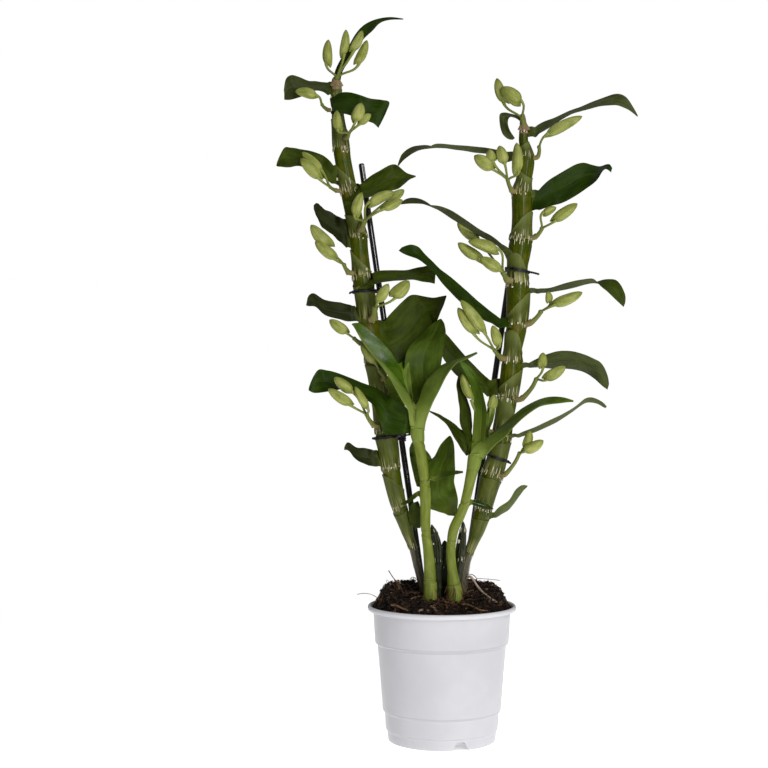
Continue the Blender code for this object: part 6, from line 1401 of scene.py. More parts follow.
# ---------------------------------------------------------------------------
# leaves
# ---------------------------------------------------------------------------
HOSTS = {"leaf_left": LEFT, "leaf_right": RIGHT, "shoot_left": S_LEFT, "shoot_right": S_RIGHT}
# own sets each leaf's brightness: partly the leaf's own tone, partly painted light and shade on that leaf
OPTIONS = {
    "leaf_left_01": dict(clasp=0.0, pre=[(335.2, 88, 339.6, 88.5, 0)], own=0.30, deep=True),
    "leaf_left_02": dict(own=0.75, kind="grey"),
    "leaf_left_03": dict(pre=[(330.4, 99.5, 330.8, 112, -1.5), (331.6, 97.6, 331.6, 114, -8.0)], wrap=1.1, drop=5.0, own=0.26, deep=True, foot_dark=True),
    "leaf_left_04": dict(own=0.62),
    "leaf_left_05": dict(heading=-40, wrap=1.7, skip=0.10, drop=9.0, own=0.62, foot_dark=True),
    "leaf_left_06": dict(own=0.26, kind="grey"),
    "leaf_left_07": dict(heading=-25, wrap=1.8, skip=0.18, drop=11.0, foot_dark=True, own=0.60),
    "leaf_left_08": dict(own=0.28, kind="grey"),
    "leaf_left_09": dict(own=0.56, kind="dark"),
    "leaf_left_10": dict(host=S_LEFT, wrap=1.3, drop=8.0, own=0.36, deep=True),
    "leaf_left_11": dict(own=0.35, kind="grey"),
    "leaf_left_12": dict(own=1.70, kind="dull"),
    "leaf_right_01": dict(clasp=0.0, pre=[(521, 118, 521, 122, -0.5)], own=1.0, kind="grey"),
    "leaf_right_02": dict(own=1.0, kind="grey"),
    "leaf_right_03": dict(own=0.62, kind="grey"),
    "leaf_right_04": dict(own=0.26, deep=True, wrap=1.0),
    "leaf_right_05": dict(own=0.48, kind="grey", low=9.0),
    "leaf_right_06": dict(own=0.50),
    "leaf_right_07": dict(own=0.28, deep=True),
    "leaf_right_08": dict(own=0.50),
    "leaf_right_09": dict(own=0.58),
    "leaf_right_10": dict(own=0.78),
    "leaf_right_11": dict(own=0.92),
    "shoot_left_leaf_1": dict(pre=[(421.0, 432, 411.6, 432, -13.0), (418.0, 418, 409.6, 420, -14.5)], heading=178, way=-1.0, start=1, wrap=1.5, drop=14, bulge=0.0010, kind="lit",
                              fold=[1.0, 1.0, 1.0, 0.92, 0.74, 0.48, 0.26, 0.17, 0.12, 0.09, 0.07, 0.05, 0.05], own=0.78),
    "shoot_left_leaf_2": dict(pre=[(411.0, 424, 424.0, 425, -7.4), (411.0, 413, 426.0, 415, -4.6)], wrap=1.7, drop=10, keel_foot=0.2, kind="dull", own=0.50),
    "shoot_left_leaf_3": dict(pre=[(411.0, 428, 417.0, 428, -17.0), (409.0, 417, 414.6, 417, -17.0)], clasp=0.0, kind="pale", own=1.25),
    "shoot_left_leaf_4": dict(pre=[(411.4, 434, 423.6, 436, -13.0), (410.8, 421, 424.8, 424, -14.2), (413.4, 409, 428.6, 412, -16.4)], heading=-25, way=1.0, start=1, tube=True, wrap=2.5, drop=15, bulge=0.0012,
                              fold=[1.0, 1.0, 1.0, 1.0, 1.0, 1.0, 0.98, 0.95, 0.9, 0.8, 0.6, 0.4], kind="dull", own=0.85),
    "shoot_left_leaf_5": dict(kind="dull", own=0.50, drop=4.0),
    "shoot_left_leaf_6": dict(kind="dull", own=0.46),
    "shoot_left_leaf_7": dict(kind="dull", own=0.35),
    "shoot_right_leaf_1": dict(pre=[(470.0, 445, 468.4, 458, -8.4)], wrap=1.5, drop=8, kind="dark", own=0.45),
    "shoot_right_leaf_2": dict(pre=[(469.0, 458, 481.4, 458, -12.4), (471.2, 448, 484.6, 448, -12.2)], start=1, wrap=1.8, drop=8, keel=0.16, kind="foot", own=0.80),
    "shoot_right_leaf_3": dict(clasp=0.0, pre=[(478.4, 450, 486.4, 449, -12.4), (483, 440, 490, 438, -11.6)], kind="pale", own=1.05),
    "shoot_right_leaf_4": dict(pre=[(468.0, 461, 480.6, 463, -11.6), (471.4, 450, 484.6, 456.4, -12.0), (477.6, 442.6, 488.0, 452.8, -13.0)], heading=-25, way=1.0, start=1, tube=True, wrap=2.5, drop=15, bulge=0.0005,
                               fold=[1.0, 1.0, 1.0, 0.95, 0.85, 0.75, 0.6, 0.42, 0.28, 0.16, 0.10, 0.08, 0.05], kind="dull", own=0.85),
    "shoot_right_leaf_5": dict(pre=[(470.6, 448, 476.6, 448, -5.0)], wrap=1.2, kind="shade", own=0.30),
    "shoot_right_leaf_6": dict(kind="dull", own=0.62, wrap=1.1, drop=6.0),
    "shoot_right_leaf_7": dict(own=0.28),
}
CAD_NODES = set(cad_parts)
for number, (name, spec) in enumerate(LEAVES.items()):
    spec = dict(spec)
    opt = OPTIONS.get(name, {})
    spec["rows"] = list(opt.get("pre", [])) + list(spec["rows"])
    spec["seed"] = 300 + number
    spec["own"] = opt.get("own", float(np.random.default_rng(60 + number).uniform(0.25, 0.75)))
    spec["young"] = name.startswith("shoot")
    spec["sink"] = name.startswith("leaf") and not opt.get("foot_dark") and name != "leaf_left_10"
    for key in ("heading", "drop", "keel", "keel_foot", "skip", "low", "wrap", "fold", "bulge", "way", "start", "sink", "tube"):
        if key in opt:
            spec[key] = opt[key]
    host = opt.get("host", HOSTS[name.rsplit("_", 1)[0].replace("_leaf", "")])
    young = name.startswith("shoot")
    kind = opt.get("kind", "young" if young else "dark")
    if opt.get("deep"):
        kind = "deep"
    upper, under = {"young": (YOUNG_UP, YOUNG_UNDER), "dull": (YOUNG_DULL, YOUNG_UNDER), "pale": (YOUNG_UNDER_LIT, YOUNG_UNDER_LIT), "lit": (YOUNG_UP, YOUNG_UNDER_LIT), "foot": (YOUNG_FOOT, YOUNG_UNDER),
                    "deep": (LEAF_DEEP, LEAF_UNDER), "dark": (LEAF_UP, LEAF_UNDER), "grey": (LEAF_GREY, LEAF_UNDER),
                    "shade": (LEAF_UP, LEAF_UP)}[kind]
    # painted shade: with foot_dark the blade's underside and clasping foot take the dark upper colour where the foot
    # lies in shadow
    if opt.get("foot_dark"):
        under = LEAF_UP
    blade(name + "_blade", spec, host, upper, under, [name] if name in CAD_NODES else [],
          "leaf_young" if young else "leaf_dark", clasp=opt.get("clasp", 0.8 if young else 1.0))

# ---------------------------------------------------------------------------
# bud sprays
# ---------------------------------------------------------------------------
for number, (name, spec) in enumerate(SPRAYS.items()):
    host = LEFT if "left" in name else RIGHT
    soup, label, _ = spray(name + "_spray", spec, host, (), 40 + number)
    soup.build(label, [BUD_SKIN, STALK, BRACT], replaces=[name] if name in CAD_NODES else [], slot="bud")

# ---------------------------------------------------------------------------
# young shoots
# ---------------------------------------------------------------------------
S_LEFT_TALL = Stem(SHOOT_LEFT + [(418.4, 412, 14.0, -12), (420.0, 403, 16.4, -12), (421.0, 394, 18.0, -12)])
S_RIGHT_TALL = Stem(SHOOT_RIGHT + [(476.8, 448, 14.4, -11), (478.6, 440, 17.4, -11), (480, 431, 20.0, -11)])


def shoot(name, stem, top_v, low_v, nodes, sheaths, replaces):
    soup = Soup()
    vs = np.linspace(low_v, top_v, 300)
    sides = 44
    turn = np.linspace(0, math.tau, sides, endpoint=False)
    bump = np.zeros(len(vs))
    for node in nodes:
        bump += 0.05 * np.exp(-((vs - node) / 1.2) ** 2) - 0.03 * np.exp(-((vs - node - 2.2) / 0.8) ** 2)
    end = 1.0 - 0.45 * np.exp(-(vs - top_v) / 2.5)
    scale = (0.965 + 0.006 * np.cos(7 * turn))[None, :] * ((1 + bump) * end)[:, None]
    pts = stem.point(vs[:, None], turn[None, :], 0.0, scale)
    n, m = pts.shape[:2]
    near_node = np.zeros(len(vs))
    for node in nodes:
        near_node += np.exp(-((vs - node - 0.6) / 1.1) ** 2)
    grow = np.stack([np.broadcast_to(np.cos(turn), (n, m)), np.broadcast_to(np.sin(turn), (n, m)), np.broadcast_to(((low_v - vs) * 0.081)[:, None], (n, m))], -1)
    tone = np.stack([np.broadcast_to(np.clip(near_node * 0.75, 0, 1)[:, None], (n, m)), np.zeros((n, m))], -1)
    verts = np.vstack([pts.reshape(-1, 3), stem.centre(low_v), stem.centre(top_v)])
    soup.add(verts, [grid_faces(n, m, True), np.vstack([fan(n * m, np.arange(m), True), fan(n * m + 1, np.arange(m) + (n - 1) * m)])], 0,
             np.vstack([grow.reshape(-1, 3), [0, 0, 0], [0, 0, 20]]), np.vstack([tone.reshape(-1, 2), [0, 0], [0, 0]]))
    for k, sheath in enumerate(sheaths):
        add_sheath(soup, stem, k, own=0.1, mat=0, fringe=0, pleat=0.25, **sheath)
    return soup.build(name, [SHOOT_SKIN], replaces=replaces, slot="shoot_stem")


shoot("shoot_left_skin", S_LEFT_TALL, 427, 616, [579, 530, 480], [
    dict(low=580, left=534, right=541, front=537, flare=0.0002), dict(low=531, left=482, right=488, front=484, flare=0.0002),
    dict(low=481, left=438, right=446, front=441, flare=0.0002), dict(low=616, left=581, right=583, front=582, flare=0.00015)], ["shoot_left"])
shoot("shoot_right_skin", S_RIGHT_TALL, 456, 610, [583, 540, 502], [
    dict(low=584, left=542, right=548, front=545, flare=0.0002), dict(low=541, left=506, right=499, front=503, flare=0.0002),
    dict(low=503, left=466, right=460, front=463, flare=0.0002), dict(low=610, left=585, right=584, front=585, flare=0.00015)], ["shoot_right"])

# ---------------------------------------------------------------------------
# old stumps: shrivelled, ribbed, broken off above
# ---------------------------------------------------------------------------
stumps = Soup()
for k, (name, rows) in enumerate(OLD_CANES.items()):
    stem = Stem(rows)
    gen = np.random.default_rng(500 + k)
    top = min(r[1] for r in rows)
    vs = np.linspace(606, top, 150)
    sides = 48
    turn = np.linspace(0, math.tau, sides, endpoint=False)
    ribs = 0.10 * np.cos(5 * turn + k)[None, :] + 0.055 * np.cos(8 * turn[None, :] + 0.02 * vs[:, None]) + 0.03 * np.cos(13 * turn + 1.3)[None, :]
    nodes = [top + 8, (top + 606) / 2 - 4, 588]
    ring = sum(0.16 * np.exp(-((vs - nd) / 1.6) ** 2) for nd in nodes)
    dents = smooth_noise(vs * 0.12, 70 + k)[:, None] * 0.05
    end = 1.0 - 0.55 * np.exp(-(vs - top) / 2.2)
    scale = (0.98 + ribs * np.clip((vs - top) / 10.0, 0.2, 1)[:, None] + ring[:, None] + dents) * end[:, None]
    pts = stem.point(vs[:, None], turn[None, :], 0.0, scale)
    n, m = pts.shape[:2]
    grow = np.stack([np.broadcast_to(np.cos(turn), (n, m)), np.broadcast_to(np.sin(turn), (n, m)), np.broadcast_to(((610 - vs) * 0.081)[:, None], (n, m))], -1)
    verts = np.vstack([pts.reshape(-1, 3), stem.centre(606), stem.centre(top) + np.array([0, 0, 0.0006])])
    stumps.add(verts, [grid_faces(n, m, True), np.vstack([fan(n * m, np.arange(m), True), fan(n * m + 1, np.arange(m) + (n - 1) * m)])], 0,
               np.vstack([grow.reshape(-1, 3), [0, 0, 0], [0, 0, 5]]), (0.5, 0.5))
    for nd in nodes[:2]:
        add_fringe(stumps, stem, nd, 10, gen, 1, (1.0, 4.0))
fleck(stumps, Stem(OLD_CANES["old_cane_right"]), 458.6, 541.6, 4.0, 3.0, 0.8, 1, 0.0003)
fleck(stumps, Stem(OLD_CANES["old_cane_left"]), 433.4, 543, 2.0, 1.6, 0.8, 1, 0.0003)
stumps.build("old_stumps", [OLD_SKIN, FRINGE_AND_HIGHLIGHTS], replaces=["old_canes"], slot="old_cane")

# the dark young tuft behind the left shoot's foot
tuft = dict(w=17, side=1, seed=801, own=0.3, rows=[
    (415, 529, 420.4, 528, -2), (411, 524, 420.6, 521, -3), (408.6, 517, 420.6, 512, -3.4), (409, 509.6, 420, 505.6, -3.6), (411.6, 503.4, 418, 501, -3.6)])
blade("dark_tuft_blade", tuft, None, LEAF_UP, LEAF_UP, [], "leaf_dark", clasp=0.0)

# ---------------------------------------------------------------------------
# stakes and ties
# ---------------------------------------------------------------------------
def stake_line(name):
    low, high, w = STAKES[name]
    foot, top = np.array(at(*low)), np.array(at(*high))
    foot = top + (foot - top) * (top[2] - 0.062) / (top[2] - foot[2])
    return foot, top, 0.5 * size(w, low[2])


for name in STAKES:
    foot, top, r = stake_line(name)
    soup = Soup()
    t = np.concatenate([np.linspace(0, 0.985, 90), [0.990, 0.994, 0.997, 0.9988, 0.9996, 1.0]])
    pts = foot + (top - foot) * t[:, None]
    rr = np.full(len(t), r) * (1 + 0.010 * np.sin(t * 260.0))
    rr[-6:] = r * np.array([1.0, 0.99, 0.95, 0.86, 0.70, 0.45])
    rod(soup, pts, rr, 28, 0, (0.5, 0.5), first=(0, -1, 0))
    soup.build(name + "_gloss", [STAKE_GLOSS], replaces=[name], slot="stake_plastic")


def hull(points):
    points = sorted(points)

    def half(seq):
        out = []
        for p in seq:
            while len(out) > 1 and ((out[-1][0] - out[-2][0]) * (p[1] - out[-2][1])
                                    - (out[-1][1] - out[-2][1]) * (p[0] - out[-2][0])) <= 0:
                out.pop()
            out.append(p)
        return out[:-1]
    return half(points) + half(points[::-1])


def belt(one, r1, two, r2, count):
    """A closed line round two circles in the XY plane."""
    cloud = []
    for centre, radius in ((one, r1), (two, r2)):
        for i in range(72):
            a = math.tau * i / 72
            cloud.append((centre[0] + radius * math.cos(a), centre[1] + radius * math.sin(a)))
    ring = hull(cloud)
    ring.append(ring[0])
    ring = np.array(ring)
    lengths = np.concatenate([[0], np.cumsum(np.linalg.norm(np.diff(ring, axis=0), axis=1))])
    want = np.linspace(0, lengths[-1], count, endpoint=False)
    return np.stack([np.interp(want, lengths, ring[:, 0]), np.interp(want, lengths, ring[:, 1])], -1)


def closed_rod(soup, points, radius, sides, mat, squash=1.0):
    """A wire ring through a closed line of points."""
    points = np.asarray(points, float)
    tang = unit(np.roll(points, -1, 0) - np.roll(points, 1, 0))
    up = np.array([0, 0, 1.0])
    one = unit(up - tang * (tang @ up)[:, None])
    two = np.cross(tang, one)
    turn = np.linspace(0, math.tau, sides, endpoint=False)
    ring = points[:, None, :] + radius * (np.cos(turn)[None, :, None] * one[:, None, :] + squash * np.sin(turn)[None, :, None] * two[:, None, :])
    n, m = ring.shape[:2]
    faces = grid_faces(n, m, True)
    last = np.stack([(n - 1) * m + np.arange(m), (n - 1) * m + (np.arange(m) + 1) % m, (np.arange(m) + 1) % m, np.arange(m)], -1)
    soup.add(ring.reshape(-1, 3), [faces, last], mat, ring.reshape(-1, 3) * 400.0)


TIES = {
    "tie_left_upper": (LEFT, "stake_left", 291.5, 0.06, [(205.0, 0.0040, -0.0010), (-20.0, 0.0018, 0.0004)]),
    "tie_left_lower": (LEFT, "stake_left", 437.0, 0.12, [(200.0, 0.0022, 0.0004)]),
    "tie_right_upper": (RIGHT, "stake_right", 270.5, -0.16, [(-20.0, 0.0088, -0.0008), (215.0, 0.0012, 0.0003)]),
    "tie_right_lower": (RIGHT, "stake_right", 458.0, -0.34, [(-25.0, 0.0030, -0.0006)]),
}
for name, (stem, stake, v, slope, tails) in TIES.items():
    soup = Soup()
    c = stem.centre(v)
    rc = float(stem.radius(v))
    foot, top, rs = stake_line(stake)
    post = foot + (top - foot) * ((c[2] - foot[2]) / (top[2] - foot[2]))
    for lift in (0.00055, -0.00055):
        ring = belt(c, rc + 0.0011, post, rs + 0.0009, 96)
        z = c[2] + slope * (ring[:, 0] - c[0]) + lift + 0.0002 * np.sin(np.linspace(0, 9 * math.tau, 96))
        closed_rod(soup, np.column_stack([ring, z]), 0.00062, 8, 0, 0.8)
    for angle, tail, fall in tails:
        way = unit(np.array([math.cos(math.radians(angle)), math.sin(math.radians(angle)), slope * math.cos(math.radians(angle))]))
        start = c + way * (rc + 0.0008)
        s = np.linspace(0, 1, 26)
        side = unit(np.cross(way, [0, 0, 1.0]))
        for sign in (1, -1):
            line = start + way * (tail * s)[:, None] + np.array([0, 0, 1.0]) * (fall * s ** 2)[:, None] \
                + sign * 0.00045 * (np.cos(s * 16)[:, None] * side + np.sin(s * 16)[:, None] * np.array([0, 0, 1.0]))
            rod(soup, line, 0.00055, 7, 0, (0.5, 0.5))
        # the twist's first turn, a fat nub against the cane
        line = start + way * np.linspace(-0.0008, 0.0012, 6)[:, None]
        rod(soup, line, np.array([0.5, 1.0, 1.15, 1.1, 0.9, 0.5]) * 0.0011, 12, 0, (0.5, 0.5))
    if name == "tie_left_lower":
        for q in range(5):
            ring = belt(post, rs + 0.0011, post, rs + 0.0010, 40)
            closed_rod(soup, np.column_stack([ring, np.full(40, post[2]) + (q - 2) * 0.0013 + 0.0006 * np.cos(np.linspace(0, math.tau, 40, endpoint=False) + q)]), 0.00085, 8, 0)
        knob = [post + np.array([0.004, -0.003, 0.0012]), post + np.array([0.0075, -0.0035, 0.0016])]
        rod(soup, np.array(knob), 0.0007, 8, 0, (0.5, 0.5))
    soup.build(name + "_wire", [TIE_COAT], replaces=[name], slot="tie_wire")

# ---------------------------------------------------------------------------
# pot: one thin moulded wall with a rolled rim, three steps and drain notches
# ---------------------------------------------------------------------------
def pot():
    outer = [(0.0572, .1066), (0.0573, .1076), (0.0576, .1083), (0.0581, .1088), (0.0587, .1090), (0.0593, .1088), (0.0597, .1084),
             (0.0600, .1077), (0.0600, .1068), (0.0599, .1058), (0.0597, .1052), (0.0592, .1049), (0.0580, .1048), (0.0563, .1048),
             (0.0558, .1046), (0.0556, .1041), (0.05555, .1030), (0.0549, .0935), (0.0542, .0815), (0.0541, .0801), (0.0540, .0793), (0.0536, .0787), (0.0527, .0782),
             (0.0522, .0778), (0.0520, .0771), (0.05195, .0758), (0.0514, .0700), (0.0502, .0560), (0.0490, .0405), (0.0480, .0270), (0.0479, .0253), (0.0477, .0246),
             (0.0473, .0241), (0.0466, .0237), (0.0462, .0232), (0.0461, .0224), (0.04605, .0210), (0.0457, .0150), (0.0454, .0104), (0.0453, .0096), (0.0451, .0091),
             (0.0446, .0087), (0.0442, .0083), (0.0440, .0075), (0.04395, .0066), (0.0437, .0030), (0.0435, .0010), (0.0433, .0003), (0.0429, .0000)]
    inner = [(0.0415, .0000), (0.0411, .0004), (0.0411, .0030), (0.0409, .0036), (0.0400, .0038), (0.0150, .0040), (0.0, .0040)]
    # inside of the wall, down to the growing medium
    wall = [(0.0, .0066), (0.0380, .0066), (0.0410, .0072), (0.0424, .0090), (0.0448, .0254), (0.0500, .0785), (0.0524, .0803), (0.0536, .0980), (0.0541, .1046), (0.0548, .1058), (0.0560, .1061), (0.0570, .1062)]
    profile = [(r, z) for r, z in wall] + outer + inner
    profile = np.array(profile)
    # denser rings where the wall is plain
    rows = [profile[0]]
    for a, b in zip(profile[:-1], profile[1:]):
        gap = np.linalg.norm(b - a)
        for q in range(1, max(1, int(math.ceil(gap / 0.0042))) + 1):
            rows.append(a + (b - a) * q / max(1, int(math.ceil(gap / 0.0042))))
    rows = np.array(rows)
    sides = 240
    turn = np.linspace(0, math.tau, sides, endpoint=False)
    r, z = rows[:, 0][:, None], rows[:, 1][:, None]
    pts = np.stack([r * np.cos(turn), r * np.sin(turn), np.broadcast_to(z, (len(rows), sides))], -1)
    # moulded sheet is never quite true
    soft = 1.0 + 0.0011 * np.sin(2 * turn + 0.6)[None, :] * np.clip(z / 0.1, 0, 1) + 0.0007 * np.sin(3 * turn + 2.0)[None, :] * np.clip(z / 0.1, 0, 1)
    pts[..., :2] *= soft[..., None]
    soup = Soup()
    n = len(rows)
    verts = pts.reshape(-1, 3)
    verts[:sides] = verts[:sides] * [0, 0, 1]
    faces = grid_faces(n, sides, True)
    soup.add(verts, faces, 0, verts * 100.0)
    return soup


pot_soup = pot()
pot_obj = pot_soup.build("pot_shell", [POT_GLOSS], replaces=["pot"], slot="pot_plastic", fix=False)
bm = bmesh.new()
bm.from_mesh(pot_obj.data)
bmesh.ops.remove_doubles(bm, verts=bm.verts, dist=0.00001)
bmesh.ops.recalc_face_normals(bm, faces=bm.faces)
bm.to_mesh(pot_obj.data)
bm.free()

# the drain notches round the foot
cutters = []
for i in range(3):
    a = math.radians(-90.0 + 18.0 + 120.0 * i)
    way, side = np.array([math.cos(a), math.sin(a), 0]), np.array([-math.sin(a), math.cos(a), 0])
    shape = [(-0.0078, -0.0010), (0.0078, -0.0010), (0.0034, 0.0060), (0.0026, 0.0066), (-0.0026, 0.0066), (-0.0034, 0.0060)]
    me = bpy.data.meshes.new("notch_%d" % i)
    bm = bmesh.new()
    rings = []
    for dist in (0.0395, 0.0480):
        rings.append([bm.verts.new(Vector(way * dist + side * s) + Vector((0, 0, h))) for s, h in shape])
    bm.faces.new(rings[0])
    bm.faces.new(rings[1][::-1])
    for q in range(6):
        bm.faces.new([rings[0][q], rings[1][q], rings[1][(q + 1) % 6], rings[0][(q + 1) % 6]])
    bmesh.ops.recalc_face_normals(bm, faces=bm.faces)
    bm.to_mesh(me)
    bm.free()
    cutter = bpy.data.objects.new("notch_%d" % i, me)
    bpy.context.scene.collection.objects.link(cutter)
    cutters.append(cutter)
for cutter in cutters:
    mod = pot_obj.modifiers.new("cut", 'BOOLEAN')
    mod.operation = 'DIFFERENCE'
    mod.solver = 'EXACT'
    mod.object = cutter
deps = bpy.context.evaluated_depsgraph_get()
cut_mesh = bpy.data.meshes.new_from_object(pot_obj.evaluated_get(deps))
pot_obj.modifiers.clear()
old_mesh = pot_obj.data
pot_obj.data = cut_mesh
for cutter in cutters:
    bpy.data.objects.remove(cutter, do_unlink=True)
bm = bmesh.new()
bm.from_mesh(pot_obj.data)
for face in bm.faces:
    face.smooth = True
bm.to_mesh(pot_obj.data)
bm.free()
pot_obj.data.set_sharp_from_angle(angle=math.radians(38)) if hasattr(pot_obj.data, "set_sharp_from_angle") else None


# ---------------------------------------------------------------------------
# growing medium: a dark bed, bark chips, coir and a few bare roots
# ---------------------------------------------------------------------------
def heap(x, y):
    """Height of the medium's surface."""
    r = math.hypot(x, y)
    t = max(0.0, min(1.0, (0.0554 - r) / 0.0075))
    rise = t * t * (3 - 2 * t)
    z = 0.1078 + (0.0082 + 0.16 * y) * rise
    z += 0.0030 * rise * math.exp(-((abs(x) - 0.045) / 0.010) ** 2)
    z += 0.0022 * rise * noise.noise(Vector((x * 62.0, y * 62.0, 3.7)))
    return z


def on_heap(u, v, lift=0.0):
    """The place on the medium seen at (u, v)."""
    eye = np.array([CX, -D, CZ])
    way = np.array(at(u, v, 0)) - eye
    way = way / np.linalg.norm(way)
    for i in range(4000):
        p = eye + way * (1.18 + i * 0.00004)
        if math.hypot(p[0], p[1]) < 0.0556 and p[2] < heap(p[0], p[1]) + lift:
            return p
    return np.array(at(u, v, 0))


bed = Soup()
rings_n, spokes = 46, 120
verts, grow = [], []
for i in range(rings_n + 1):
    r = 0.0566 * (i / rings_n) ** 0.85
    for j in range(spokes):
        a = math.tau * j / spokes
        x, y = r * math.cos(a), r * math.sin(a)
        rough = 1.0 - 0.75 * max(0.0, min(1.0, (r - 0.050) / 0.006))
        z = heap(x, y) - 0.0008 + rough * (0.0011 * noise.noise(Vector((x * 210.0, y * 210.0, 1.3))) + 0.0006 * noise.noise(Vector((x * 520.0, y * 520.0, 5.1))) - 0.0003)
        verts.append((x, y, z))
verts = np.array(verts)
skirt = []
for r, z in [(0.0567, 0.1066), (0.0562, 0.10635), (0.0547, 0.1061), (0.0540, 0.1050), (0.0534, 0.0985), (0.0520, 0.0905)]:
    ring = verts[-spokes:].copy()
    ring[:, :2] *= r / 0.0566
    ring[:, 2] = z
    skirt.append(ring)
n = len(verts)
verts = np.vstack([verts] + skirt)
rows_n = rings_n + 1 + len(skirt)
base = np.array([[0, 0, 0.0905]])
own = np.random.default_rng(9).uniform(0.1, 0.8, len(verts) + 1)
bed.add(np.vstack([verts, base]), [grid_faces(rows_n, spokes, True), fan(len(verts), np.arange(spokes) + len(verts) - spokes)], 0,
        None, np.column_stack([own, np.zeros(len(verts) + 1)]))
bed_obj = bed.build("medium_bed", [SOIL], replaces=["growing_medium"], slot="coir_and_bark", fix=False)
bm = bmesh.new()
bm.from_mesh(bed_obj.data)
bmesh.ops.remove_doubles(bm, verts=bm.verts, dist=0.000005)
bmesh.ops.recalc_face_normals(bm, faces=bm.faces)
bm.to_mesh(bed_obj.data)
bm.free()


def chip_shape(seed, fine=True):
    """A chopped piece of husk: a convex lump with flat broken faces."""
    gen = np.random.default_rng(seed)
    bm = bmesh.new()
    count = 15
    pts = gen.normal(size=(count, 3))
    pts = pts / np.linalg.norm(pts, axis=1)[:, None] * gen.uniform(0.75, 1.1, (count, 1))
    pts *= np.array([1.0, gen.uniform(0.45, 0.75), gen.uniform(0.25, 0.5)])
    for p in pts:
        bm.verts.new(Vector(p))
    res = bmesh.ops.convex_hull(bm, input=bm.verts)
    junk = list({g for g in res["geom_interior"] + res["geom_unused"] if isinstance(g, bmesh.types.BMVert)})
    if junk:
        bmesh.ops.delete(bm, geom=junk, context='VERTS')
    if fine:
        bmesh.ops.bevel(bm, geom=list(bm.edges), offset=0.045, segments=1, affect='EDGES')
    bmesh.ops.triangulate(bm, faces=bm.faces)
    bm.verts.ensure_lookup_table()
    verts = np.array([v.co[:] for v in bm.verts])
    index = {v: i for i, v in enumerate(bm.verts)}
    faces = np.array([[index[v] for v in f.verts] for f in bm.faces])
    bm.free()
    return verts, faces


def spin(gen, tilt=0.6):
    """A random turn, mostly about the upright axis."""
    m = Matrix.Rotation(gen.uniform(0, math.tau), 3, 'Z') @ Matrix.Rotation(gen.normal(0, tilt), 3, 'X') @ Matrix.Rotation(gen.normal(0, tilt), 3, 'Y')
    return np.array(m)


gen = np.random.default_rng(77)
templates = [chip_shape(700 + i) for i in range(9)]
crumbs = [chip_shape(720 + i, False) for i in range(9)]
chips = Soup()
for i in range(1500):
    r = 0.0550 * math.sqrt(gen.uniform())
    a = gen.uniform(0, math.tau)
    x, y = r * math.cos(a), r * math.sin(a)
    long = float(gen.choice([0.0012, 0.0019, 0.0028, 0.0040], p=[0.40, 0.34, 0.19, 0.07]))
    if r > 0.0520:
        long = min(long, 0.0020)
    verts, faces = (crumbs if long < 0.0025 else templates)[int(gen.integers(len(templates)))]
    turned = (verts * long * gen.uniform(0.8, 1.2)) @ spin(gen).T
    z = heap(x, y) - 0.0006 + gen.uniform(-0.0008, 0.0010) + long * 0.15
    own = min(1.0, abs(gen.normal(0.0, 0.42)))
    chips.add(turned + [x, y, z], faces, 0, None, (own, 0.5))
for i in range(90):
    r = gen.uniform(0.0440, 0.0530)
    a = gen.choice([0.0, math.pi]) + gen.normal(0, 0.55)
    x, y = r * math.cos(a), r * math.sin(a)
    long = gen.uniform(0.0020, 0.0034)
    verts, faces = templates[int(gen.integers(len(templates)))]
    turned = (verts * long) @ spin(gen, 0.9).T
    chips.add(turned + [x, y, heap(x, y) + long * gen.uniform(0.0, 0.45)], faces, 0, None, (min(1.0, abs(gen.normal(0.0, 0.42))), 0.5))
chips.build("bark_chips", [CHIPS], slot="coir_and_bark", fix=False)

fibres = Soup()
for i in range(950):
    r = 0.0548 * math.sqrt(gen.uniform())
    a = gen.uniform(0, math.tau)
    x, y = r * math.cos(a), r * math.sin(a)
    way = gen.uniform(0, math.tau)
    long = gen.uniform(0.003, 0.013)
    bend = gen.normal(0, 0.9)
    arch = gen.uniform(-0.0003, 0.0022) if gen.uniform() < 0.85 else gen.uniform(0.002, 0.0045)
    pts = []
    for q in range(7):
        f = q / 6.0 - 0.5
        h = way + bend * f
        px, py = x + math.cos(h) * long * f, y + math.sin(h) * long * f
        rr = math.hypot(px, py)
        if rr > 0.0553:
            px, py = px * 0.0553 / rr, py * 0.0553 / rr
        pts.append((px, py, heap(px, py) + 0.0004 + arch * (1 - (2 * f) ** 2)))
    wide = gen.uniform(0.00010, 0.00026)
    rod(fibres, np.array(pts), np.array([0.4, 0.8, 1, 1, 1, 0.8, 0.4]) * wide, 5, 0, (float(gen.uniform()), 0.5))
fibres.build("coir_fibres", [FIBRES], slot="coir_and_bark", fix=False)

roots = Soup()


def root_line(places, wide, own, knots=24, hug=0.0005, seed=0):
    """A bare root or twig lying over the medium through seen places."""
    pts = np.array([p if isinstance(p, np.ndarray) else on_heap(*p) for p in places])
    line = curve_through(pts, knots)
    g = np.random.default_rng(seed)
    wobble = smooth_noise(np.linspace(0, 9, knots), seed)
    radii = 0.5 * size(wide) * (1 + 0.16 * wobble)
    radii[0] *= 0.6
    radii[-1] *= 0.45
    line = line + np.array([0, 0, 1.0]) * hug
    rod(roots, line, radii, 10, 0, (own, 0.5))


